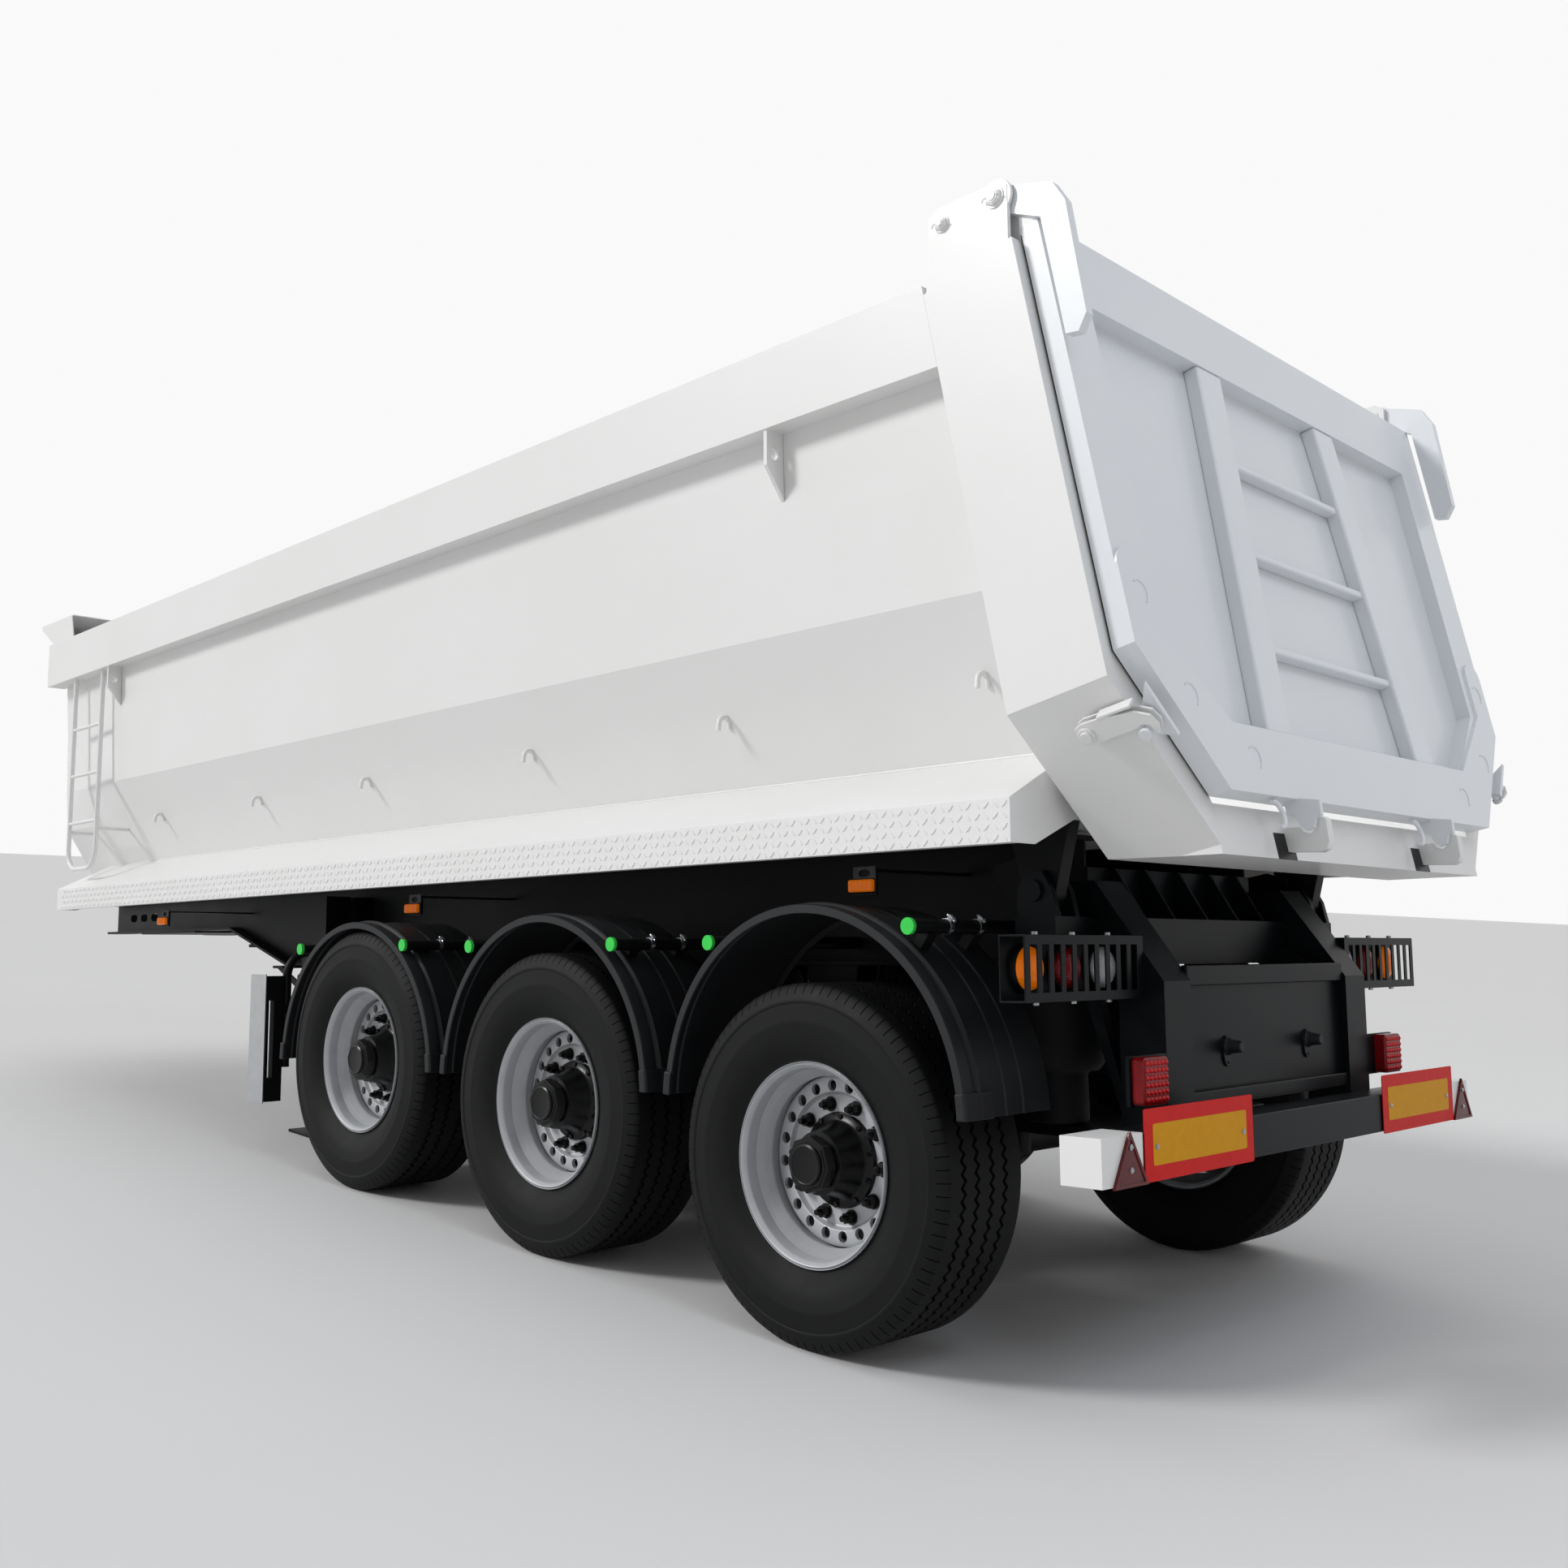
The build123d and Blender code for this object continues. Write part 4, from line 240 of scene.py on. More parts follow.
@dataclass(frozen=True)
class Palette:
    """The trailer's finishes."""

    # Sprayed two-pack enamel on folded plate: half-gloss white with a faint orange peel.
    white: Finish = Finish("sprayed_white_enamel", "#E4E4E3", "#DEDEDC", 700, 0.5, (0.36, 0.42), 9, 0.012, coat=0.1)
    # The same enamel on the tailgate, glossier, and tinted a little darker and bluer as painted shade, since the gate
    # faces away from the light.
    gate_white: Finish = Finish("cool_white_enamel", "#DFE2E5", "#D9DCE0", 600, 0.5, (0.30, 0.36), 9, 0.012, coat=0.2)
    # Brushed chassis enamel: nearly black, half gloss, a little dusty.
    chassis: Finish = Finish("charcoal_chassis_enamel", "#08090A", "#0F1112", 160, 0.7, (0.40, 0.55), 14, 0.06,
                             specular=0.18)
    # Slate-blue enamel of the rear frame: half gloss, with the plate's slight waviness.
    slate: Finish = Finish("slate_frame_enamel", "#0A0D10", "#10151A", 180, 0.7, (0.30, 0.42), 16, 0.05,
                           specular=0.14)
    # Injection-moulded polyethylene: matt black with a fine leathery grain.
    plastic: Finish = Finish("moulded_black_polyethylene", "#141619", "#1B1D20", 90, 0.6, (0.48, 0.60), 3, 0.08,
                             specular=0.35)
    # Vulcanised tread and sidewall rubber: dull black with a greyish bloom.
    rubber: Finish = Finish("vulcanised_rubber", "#090A0B", "#0F1011", 70, 0.8, (0.54, 0.72), 5, 0.10,
                            specular=0.2)
    # Silver wheel lacquer over pressed steel: fine metallic flake, half gloss.
    silver: Finish = Finish("silver_wheel_lacquer", "#BBBDC0", "#AEB0B3", 60, 0.6, (0.40, 0.52), 4, 0.03,
                            metallic=0.25)
    # Black hub enamel, smooth and oily-looking.
    hub: Finish = Finish("black_hub_enamel", "#050506", "#090A0B", 50, 0.6, (0.24, 0.36), 6, 0.05, specular=0.25)
    # Bright zinc plating on clamps and bolts.
    zinc: Finish = Finish("bright_zinc_plate", "#B9BCC0", "#9DA1A6", 25, 0.8, (0.22, 0.38), 3, 0.03, metallic=1.0)
    # Hard chrome on the hoist's stages.
    chrome: Finish = Finish("hard_chrome", "#C9CDD1", "#BFC3C7", 120, 0.4, (0.08, 0.16), 20, 0.01, metallic=1.0)
    # Drawn aluminium of the side guards: soft satin with long faint streaks.
    aluminium: Finish = Finish("drawn_aluminium", "#C4C6C8", "#B2B5B8", 80, 0.6, (0.30, 0.42), 5, 0.02, metallic=0.9)
    # Forged steel of kingpin and pins, greased.
    forged: Finish = Finish("greased_forged_steel", "#4A4B4C", "#363738", 40, 0.8, (0.35, 0.5), 5, 0.08, metallic=0.9)
    # Bright green polyethylene plugs.
    green: Finish = Finish("green_polyethylene", "#2FD04A", "#25BE40", 30, 0.5, (0.35, 0.45), 3, 0.03)
    # Moulded acrylic lenses, with prisms 7 mm wide.
    red_lens: Finish = LensFinish("red_acrylic_lens", "#860A11", "#66050B", 25, 0.5, (0.18, 0.30), 7, 0.9, specular=0.3)
    # The amber lenses glow faintly as painted light, which lifts them out of the shade they sit in.
    amber_lens: Finish = LensFinish("amber_acrylic_lens", "#F07808", "#DC6404", 25, 0.5, (0.16, 0.26), 7, 0.9,
                                    specular=0.3, glow=0.22)
    clear_lens: Finish = LensFinish("clear_acrylic_lens", "#C9CCD0", "#AEB2B7", 25, 0.5, (0.10, 0.20), 7, 0.9,
                                    coat=0.6)
    # The triangles' prismatic acrylic, deeper red.
    deep_red: Finish = LensFinish("deep_red_acrylic", "#5E070C", "#3E0408", 20, 0.6, (0.16, 0.26), 5, 0.6, specular=0.4)
    # The square lamps' acrylic, clearer, over small bright domes.
    red_beads: Finish = Finish("red_acrylic_domes", "#C40C16", "#A00810", 12, 0.7, (0.14, 0.22), 4, 0.05,
                               specular=0.4, glow=0.05)
    # Retro-reflective sheeting, bead-filled: flat red and yellow with a honeycomb.
    red_sheet: Finish = LensFinish("red_reflective_sheet", "#CE1512", "#BC110F", 30, 0.4, (0.40, 0.50), 5, 0.05,
                                   specular=0.15)
    yellow_sheet: Finish = LensFinish("yellow_reflective_sheet", "#D29404", "#C58A02", 30, 0.4, (0.40, 0.50), 5, 0.05,
                                      specular=0.12)


PALETTE = Palette()


class Bench:
    """Operator helpers that shape one mesh at a time."""

    @staticmethod
    def only(obj: bpy.types.Object) -> None:
        """Leave one object selected and active, in object mode."""
        if bpy.context.mode != "OBJECT":
            bpy.ops.object.mode_set(mode="OBJECT")
        bpy.ops.object.select_all(action="DESELECT")
        obj.select_set(True)
        bpy.context.view_layer.objects.active = obj

    @staticmethod
    def edit(obj: bpy.types.Object, mode: str = "FACE") -> None:
        """Open one object in edit mode with nothing selected."""
        Bench.only(obj)
        bpy.ops.object.mode_set(mode="EDIT")
        bpy.ops.mesh.select_mode(type=mode)
        bpy.ops.mesh.select_all(action="DESELECT")

    @staticmethod
    def pick(obj: bpy.types.Object, test: Callable, kind: str = "faces") -> int:
        """Select the elements of the open mesh that pass a test.

        Args:
            obj: The object in edit mode.
            test: True for an element to select.
            kind: Faces, edges or verts.

        Returns:
            How many were selected.
        """
        mesh = bmesh.from_edit_mesh(obj.data)
        chosen = [element for element in getattr(mesh, kind) if test(element)]
        for element in chosen:
            element.select_set(True)
        mesh.select_flush_mode()
        bmesh.update_edit_mesh(obj.data)
        return len(chosen)

    @staticmethod
    def close() -> bpy.types.Object:
        """Leave edit mode.

        Returns:
            The object that was open.
        """
        bpy.ops.object.mode_set(mode="OBJECT")
        return bpy.context.view_layer.objects.active

    @staticmethod
    def block(name: str, low: Point, high: Point) -> bpy.types.Object:
        """A cube stretched between two corners.

        Args:
            name: Name of the piece.
            low: Lowest corner.
            high: Highest corner.

        Returns:
            The new object.
        """
        bpy.ops.object.select_all(action="DESELECT")
        middle = [(a + b) / 2 for a, b in zip(low, high)]
        bpy.ops.mesh.primitive_cube_add(size=1, location=middle)
        made = bpy.context.view_layer.objects.active
        made.name = name
        made.scale = [abs(b - a) for a, b in zip(low, high)]
        bpy.ops.object.transform_apply(location=True, rotation=True, scale=True)
        return made

    @staticmethod
    def drum(name: str, radius: float, ends: tuple[Point, Point], sides: int = 24,
             end_radius: float | None = None) -> bpy.types.Object:
        """A round or many-sided bar between two points.

        Args:
            name: Name of the piece.
            radius: Radius at the first end.
            ends: The middle points of both ends.
            sides: Number of sides.
            end_radius: Radius at the other end, the same if not given.

        Returns:
            The new object.
        """
        bpy.ops.object.select_all(action="DESELECT")
        start, end = Vector(ends[0]), Vector(ends[1])
        along = end - start
        turn = Vector((0, 0, 1)).rotation_difference(along.normalized()).to_euler()
        bpy.ops.mesh.primitive_cone_add(vertices=sides, radius1=radius, radius2=end_radius or radius,
                                        depth=along.length, location=(start + end) / 2, rotation=turn)
        made = bpy.context.view_layer.objects.active
        made.name = name
        bpy.ops.object.transform_apply(location=True, rotation=True, scale=True)
        return made

    @staticmethod
    def outline(name: str, points: Sequence[Point], closed: bool = True) -> bpy.types.Object:
        """A line drawn point by point, by extruding one corner.

        Args:
            name: Name of the piece.
            points: The corners in order.
            closed: Whether the last corner is joined to the first.

        Returns:
            The new object, open in edit mode with the whole line selected.
        """
        bpy.ops.object.select_all(action="DESELECT")
        bpy.ops.mesh.primitive_plane_add(size=MM, location=(0, 0, 0))
        made = bpy.context.view_layer.objects.active
        made.name = name
        bpy.ops.object.mode_set(mode="EDIT")
        bpy.ops.mesh.select_mode(type="VERT")
        bpy.ops.mesh.select_all(action="SELECT")
        bpy.ops.mesh.merge(type="CENTER")
        bpy.ops.transform.translate(value=points[0])
        for before, after in zip(points, points[1:]):
            step = Vector(after) - Vector(before)
            bpy.ops.mesh.extrude_vertices_move(TRANSFORM_OT_translate={"value": step})
        if closed:
            step = Vector(points[0]) - Vector(points[-1])
            bpy.ops.mesh.extrude_vertices_move(TRANSFORM_OT_translate={"value": step})
        bpy.ops.mesh.select_all(action="SELECT")
        bpy.ops.mesh.remove_doubles(threshold=0.01 * MM)
        return made

    @staticmethod
    def lathe(name: str, profile: Sequence[tuple[float, float]], steps: int, closed: bool = True,
              turn_deg: float = 360.0, start_deg: float = 0.0) -> bpy.types.Object:
        """A profile of radius and Y spun about the Y axis.

        Args:
            name: Name of the piece.
            profile: Corners as radius and Y.
            steps: Steps of the spin.
            closed: Whether the profile is a closed line.
            turn_deg: How far it is spun.
            start_deg: Where the spin starts, turning from +X towards +Z.

        Returns:
            The new object, with its normals outwards.
        """
        start = math.radians(start_deg)
        points = [(r * math.cos(start), y, r * math.sin(start)) for r, y in profile]
        made = Bench.outline(name, points, closed)
        bpy.ops.mesh.spin(steps=steps, angle=math.radians(turn_deg), center=(0, 0, 0), axis=(0, 1, 0))
        bpy.ops.mesh.select_all(action="SELECT")
        bpy.ops.mesh.remove_doubles(threshold=0.02 * MM)
        if turn_deg < 360:
            bpy.ops.mesh.select_all(action="DESELECT")
            bpy.ops.mesh.select_non_manifold(extend=False)
            bpy.ops.mesh.edge_face_add()
        bpy.ops.mesh.select_all(action="SELECT")
        bpy.ops.mesh.normals_make_consistent(inside=False)
        return Bench.close()

    @staticmethod
    def plate(name: str, points: Sequence[Point], thickness: Point) -> bpy.types.Object:
        """A flat plate: an outline filled and extruded.

        Args:
            name: Name of the piece.
            points: Corners of the outline.
            thickness: The way and length of the extrusion.

        Returns:
            The new object, with its normals outwards.
        """
        made = Bench.outline(name, points)
        bpy.ops.mesh.edge_face_add()
        bpy.ops.mesh.extrude_region_move(TRANSFORM_OT_translate={"value": thickness})
        bpy.ops.mesh.select_all(action="SELECT")
        bpy.ops.mesh.normals_make_consistent(inside=False)
        return Bench.close()

    @staticmethod
    def bar(name: str, points: Sequence[Point], radius: float, closed: bool = False) -> bpy.types.Object:
        """A round bar along a line: the line made a curve with depth, then a mesh again.

        Args:
            name: Name of the piece.
            points: Points of the line.
            radius: Radius of the bar.
            closed: Whether the line is a loop.

        Returns:
            The new object, with its normals outwards.
        """
        Bench.outline(name, points, closed)
        Bench.close()
        bpy.ops.object.convert(target="CURVE")
        curve = bpy.context.view_layer.objects.active.data
        curve.bevel_depth = radius
        curve.bevel_resolution = 2
        curve.use_fill_caps = True
        bpy.ops.object.convert(target="MESH")
        Bench.edit(bpy.context.view_layer.objects.active, "VERT")
        bpy.ops.mesh.select_all(action="SELECT")
        bpy.ops.mesh.remove_doubles(threshold=0.02 * MM)
        bpy.ops.mesh.normals_make_consistent(inside=False)
        return Bench.close()

    @staticmethod
    def array(obj: bpy.types.Object, step: Point, count: int) -> bpy.types.Object:
        """Repeat a piece along a line.

        Args:
            obj: The piece.
            step: From one copy to the next.
            count: How many there are.

        Returns:
            The same piece, repeated.
        """
        Bench.only(obj)
        row = obj.modifiers.new("row", "ARRAY")
        row.use_relative_offset = False
        row.use_constant_offset = True
        row.constant_offset_displace = step
        row.count = count
        bpy.ops.object.modifier_apply(modifier=row.name)
        return obj

    @staticmethod
    def soften(obj: bpy.types.Object, width: float, segments: int = 2, angle_deg: float = 30.0) -> bpy.types.Object:
        """Round the edges of a piece.

        Args:
            obj: The piece.
            width: Width of the rounding.
            segments: Faces across it.
            angle_deg: Only edges sharper than this are rounded.

        Returns:
            The same piece.
        """
        Bench.only(obj)
        rounding = obj.modifiers.new("rounding", "BEVEL")
        rounding.width = width
        rounding.segments = segments
        rounding.limit_method = "ANGLE"
        rounding.angle_limit = math.radians(angle_deg)
        bpy.ops.object.modifier_apply(modifier=rounding.name)
        return obj

    @staticmethod
    def smooth(obj: bpy.types.Object, angle_deg: float = 35.0) -> bpy.types.Object:
        """Shade a piece smooth, apart from its sharp edges."""
        Bench.only(obj)
        bpy.ops.object.shade_smooth_by_angle(angle=math.radians(angle_deg))
        return obj

    @staticmethod
    def even(obj: bpy.types.Object) -> None:
        """Keep the shading of wide faces flat beside their rounded edges."""
        Bench.only(obj)
        obj.modifiers.new("even", "WEIGHTED_NORMAL").keep_sharp = True
        bpy.ops.object.modifier_apply(modifier="even")

    @staticmethod
    def cut(obj: bpy.types.Object, tool: bpy.types.Object) -> bpy.types.Object:
        """Cut one piece out of another and remove the tool.

        Args:
            obj: The piece that is cut.
            tool: What is cut out.

        Returns:
            The cut piece.
        """
        Bench.only(obj)
        hole = obj.modifiers.new("hole", "BOOLEAN")
        hole.operation = "DIFFERENCE"
        hole.solver = "EXACT"
        hole.object = tool
        bpy.ops.object.modifier_apply(modifier=hole.name)
        bpy.data.objects.remove(tool)
        return obj

    @staticmethod
    def copies(obj: bpy.types.Object, places: Iterable[Matrix]) -> bpy.types.Object:
        """One mesh made of copies of a piece, which is used up.

        Args:
            obj: The piece, modelled once.
            places: Where each copy goes.

        Returns:
            The joined copies.
        """
        made = []
        for place in places:
            twin = obj.copy()
            twin.data = obj.data.copy()
            twin.data.transform(place)
            if place.determinant() < 0:
                twin.data.flip_normals()
            bpy.context.scene.collection.objects.link(twin)
            made.append(twin)
        name = obj.name
        bpy.data.objects.remove(obj)
        return Bench.join(name, made)

    @staticmethod
    def join(name: str, pieces: Sequence[bpy.types.Object]) -> bpy.types.Object:
        """Join pieces into one mesh.

        Args:
            name: Name of the whole.
            pieces: The pieces, at least one.

        Returns:
            The joined object.
        """
        Bench.only(pieces[0])
        for piece in pieces:
            piece.select_set(True)
        if len(pieces) > 1:
            bpy.ops.object.join()
        pieces[0].name = name
        pieces[0].data.name = name
        return pieces[0]

    @staticmethod
    def place(obj: bpy.types.Object, matrix: Matrix) -> bpy.types.Object:
        """Put a piece in its place, which goes into its mesh."""
        obj.data.transform(matrix)
        obj.data.update()
        return obj

    @staticmethod
    def twins(obj: bpy.types.Object) -> bpy.types.Object:
        """A left-hand piece with its right-hand twin."""
        return Bench.copies(obj, [Matrix.Identity(4), Matrix.Scale(-1, 4, (0, 1, 0))])


def dress(obj: bpy.types.Object, finish: Finish, body: str, slot: str, *nodes: str) -> bpy.types.Object:
    """Give a finished piece its material and body.

    Args:
        obj: The piece, in the parked frame.
        finish: Its finish.
        body: The body it rides on.
        slot: The record's material slot; not used.
        nodes: Nodes that it stands for.

    Returns:
        The same piece.
    """
    Bench.even(obj)
    if not obj.data.materials:
        obj.data.materials.append(finish.material())
    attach(obj, body)
    if nodes:
        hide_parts(*nodes)
    LOG.info("%s: %d faces on %s", obj.name, len(obj.data.polygons), body)
    return obj


@dataclass
class Wheels:
    """Six tyres on dished rims with black hubs."""

    tyre_radius: float = 530 * MM
    steps: int = 184
    zigzag: float = 16 * MM
    groove_depth: float = 14 * MM
    slit_half: float = 1.6 * MM
    slit_depth: float = 6 * MM
    grooves: tuple[tuple[float, float], ...] = ((100 * MM, 86 * MM), (40 * MM, 26 * MM))
    vents: int = 20
    vent_radius: float = 17.5 * MM
    vent_circle: float = 222 * MM
    nuts: int = 10
    nut_circle: float = 168 * MM
    disc_face: float = 18 * MM
    vent_face: float = 37 * MM
    lip: float = 0.150
    flange: float = 160 * MM
    cap_face: float = 178 * MM

    def tyre(self) -> bpy.types.Object:
        """A tyre with zigzag grooves and shoulder slits.

        Returns:
            The tyre about its own axle.
        """
        top = self.tyre_radius
        side = [
            (0.2865, 0.1497), (0.304, 0.1497), (0.312, 0.153), (0.330, 0.166), (0.356, 0.181), (0.385, 0.189),
            (0.412, 0.192), (0.418, 0.1938), (0.424, 0.192), (0.452, 0.1905), (0.470, 0.1885), (0.473, 0.191),
            (0.480, 0.191), (0.484, 0.1885), (0.500, 0.183), (0.514, 0.175), (0.523, 0.168), (top, 0.158),
        ]
        crown = [(top, y) for pair in self.grooves for y in pair]
        half = side + crown
        made = Bench.lathe("tyre", half + [(r, -y) for r, y in reversed(half)], self.steps)
        Bench.edit(made, "VERT")
        rims = [y for pair in self.grooves for y in pair]
        step = 2 * math.pi / self.steps

        def odd(vert: bmesh.types.BMVert) -> bool:
            turn = round(math.atan2(vert.co.z, vert.co.x) / step)
            level = math.hypot(vert.co.x, vert.co.z) > top - MM
            return level and turn % 2 == 1 and any(abs(abs(vert.co.y) - y) < MM for y in rims)

        Bench.pick(made, odd, "verts")
        bpy.ops.transform.translate(value=(0, self.zigzag, 0))
        bpy.ops.mesh.select_mode(type="FACE")
        bpy.ops.mesh.select_all(action="DESELECT")

        def in_groove(face: bmesh.types.BMFace) -> bool:
            centre = face.calc_center_median()
            level = math.hypot(centre.x, centre.z) > top - 2 * MM
            middle = abs(centre.y - self.zigzag / 2)
            other = abs(centre.y)
            return level and any(
                inner - MM < middle < outer + MM and abs(other - (outer + inner) / 2) < 12 * MM
                for outer, inner in self.grooves)

        Bench.pick(made, in_groove)
        bpy.ops.mesh.extrude_region_shrink_fatten(TRANSFORM_OT_shrink_fatten={"value": -self.groove_depth})
        bpy.ops.mesh.select_mode(type="EDGE")
        bpy.ops.mesh.select_all(action="DESELECT")

        def shoulder(edge: bmesh.types.BMEdge) -> bool:
            a, b = (v.co for v in edge.verts)
            turn = round(math.atan2(a.z, a.x) / step)
            ends = sorted(math.hypot(v.x, v.z) for v in (a, b))
            across = abs(abs(a.y) - abs(b.y)) > 3 * MM
            return across and turn % 2 == 0 and ends[0] > 0.499 and min(abs(a.y), abs(b.y)) > 0.15

        Bench.pick(made, shoulder, "edges")
        bpy.ops.mesh.bevel(offset=self.slit_half, offset_type="OFFSET", segments=1, affect="EDGES")
        bpy.ops.mesh.select_mode(type="FACE")
        bpy.ops.mesh.extrude_region_shrink_fatten(TRANSFORM_OT_shrink_fatten={"value": -self.slit_depth})
        Bench.close()
        return Bench.smooth(made, 40)

    def rim(self) -> bpy.types.Object:
        """A pressed rim with its vented disc.

        Returns:
            The rim about its own axle, outboard along +Y.
        """
        lip, flange = self.lip, self.flange
        half = [
            (0.2995, lip), (0.286, lip), (0.281, lip - 0.050), (0.262, lip - 0.082), (0.259, lip - 0.090),
        ]
        under = [
            (0.250, lip - 0.092), (0.252, lip - 0.082), (0.262, lip - 0.068), (0.264, lip - 0.060),
            (0.2735, lip - 0.047), (0.2745, lip - 0.042), (0.278, lip - 0.010), (0.281, lip - 0.002),
            (0.289, flange - 0.003), (0.292, flange),
        ]
        outer = half + [(r, -y) for r, y in reversed(half)]
        inner = under + [(r, -y) for r, y in reversed(under)]
        barrel = Bench.lathe("rim", outer + [(0.2995, -flange)] + inner[::-1] + [(0.2995, flange)], 96)
        face, ring = self.disc_face, self.vent_face
        profile = [
            (0.138, face), (0.190, face), (0.197, face + 0.004), (0.203, ring - 0.002), (0.208, ring), (0.242, ring),
            (0.2505, ring - 0.004), (0.2505, ring - 0.018), (0.242, ring - 0.013), (0.212, ring - 0.013),
            (0.205, ring - 0.018), (0.196, face - 0.013), (0.138, face - 0.013),
        ]
        disc = Bench.lathe("disc", profile, 120)
        drill = Bench.drum("drill", self.vent_radius, ((self.vent_circle, -0.1, 0), (self.vent_circle, 0.1, 0)), 20)
        turns = [Matrix.Rotation((i + 0.5) * 2 * math.pi / self.vents, 4, "Y") for i in range(self.vents)]
        disc = Bench.cut(disc, Bench.copies(drill, turns))
        Bench.soften(disc, 1.5 * MM, 2, 50)
        Bench.soften(barrel, 2.5 * MM, 2, 40)
        return Bench.smooth(Bench.join("rim", [barrel, disc]), 40)

    def nut(self) -> bpy.types.Object:
        """A capped wheel nut with its washer and stud end, on the nut circle."""
        at, face = self.nut_circle, self.disc_face
        washer = Bench.drum("washer", 23 * MM, ((at, face, 0), (at, face + 0.006, 0)), 16)
        hexagon = Bench.drum("nut", 19 * MM, ((at, face + 0.005, 0), (at, face + 0.030, 0)), 6, 18 * MM)
        stud = Bench.drum("stud", 11 * MM, ((at, face + 0.029, 0), (at, face + 0.048, 0)), 12, 9 * MM)
        for piece in (washer, hexagon, stud):
            Bench.soften(piece, 1.6 * MM)
        return Bench.join("nut", [washer, hexagon, stud])

    def hub(self) -> bpy.types.Object:
        """Hub barrel, its many-sided cap, brake drum and nuts.

        Returns:
            The hub about its own axle, outboard along +Y.
        """
        face = self.disc_face
        end = self.cap_face
        barrel = Bench.lathe("hub", [
            (0.0, end - 0.043), (0.074, end - 0.043), (0.076, end - 0.052), (0.093, end - 0.056),
            (0.100, face + 0.060), (0.112, face + 0.026), (0.122, face + 0.016), (0.139, face + 0.012),
            (0.142, face + 0.006), (0.142, face - 0.026),
            (0.230, face - 0.028), (0.237, face - 0.034), (0.237, -0.130), (0.230, -0.140), (0.219, -0.140),
            (0.219, face - 0.048), (0.090, face - 0.050), (0.080, -0.070), (0.0465, -0.070), (0.0465, -0.040),
            (0.0, -0.040),
        ], 64, closed=False)
        cap = Bench.drum("cap", 86 * MM, ((0, end - 0.044, 0), (0, end - 0.013, 0)), 8, 84 * MM)
        Bench.edit(cap)
        Bench.pick(cap, lambda f: f.normal.y > 0.9)
        bpy.ops.mesh.inset(thickness=9 * MM)
        bpy.ops.mesh.extrude_region_move(TRANSFORM_OT_translate={"value": (0, 0.005, 0)})
        Bench.close()
        Bench.soften(cap, 2.5 * MM)
        lid = Bench.lathe("lid", [(0, end - 0.003), (0.049, end - 0.003), (0.055, end), (0.060, end - 0.003),
                                  (0.062, end - 0.016), (0, end - 0.016)], 48, closed=False)
        turns = [Matrix.Rotation(i * 2 * math.pi / self.nuts, 4, "Y") for i in range(self.nuts)]
        nuts = Bench.copies(self.nut(), turns)
        flange_turns = [Matrix.Rotation((i + 0.5) * 2 * math.pi / self.nuts, 4, "Y") for i in range(self.nuts)]
        knob = Bench.drum("knob", 9 * MM, ((0.131, face + 0.008, 0), (0.131, face + 0.020, 0)), 8)
        Bench.soften(knob, 1.5 * MM)
        knobs = Bench.copies(knob, flange_turns)
        return Bench.smooth(Bench.join("hub", [barrel, cap, lid, nuts, knobs]), 35)

    def build(self) -> None:
        """Model each part once and set a copy on every axle end."""
        masters = [
            (self.tyre(), PALETTE.rubber, "tyre", "tyre"),
            (self.rim(), PALETTE.silver, "wheel", "wheel_silver"),
            (self.hub(), PALETTE.hub, None, "forged_steel"),
        ]
        for master, finish, node, slot in masters:
            for index in (1, 2, 3):
                for side in Side:
                    twin = master.copy()
                    twin.data = master.data.copy()
                    twin.name = f"{master.name}_{index}_{side.word}"
                    bpy.context.scene.collection.objects.link(twin)
                    Bench.place(twin, STANCE.axle(index, side))
                    nodes = [f"{node}_{index}_{side.word}"] if node else []
                    dress(twin, finish, f"wheel_{index}_{side.word}", slot, *nodes)
            bpy.data.objects.remove(master)


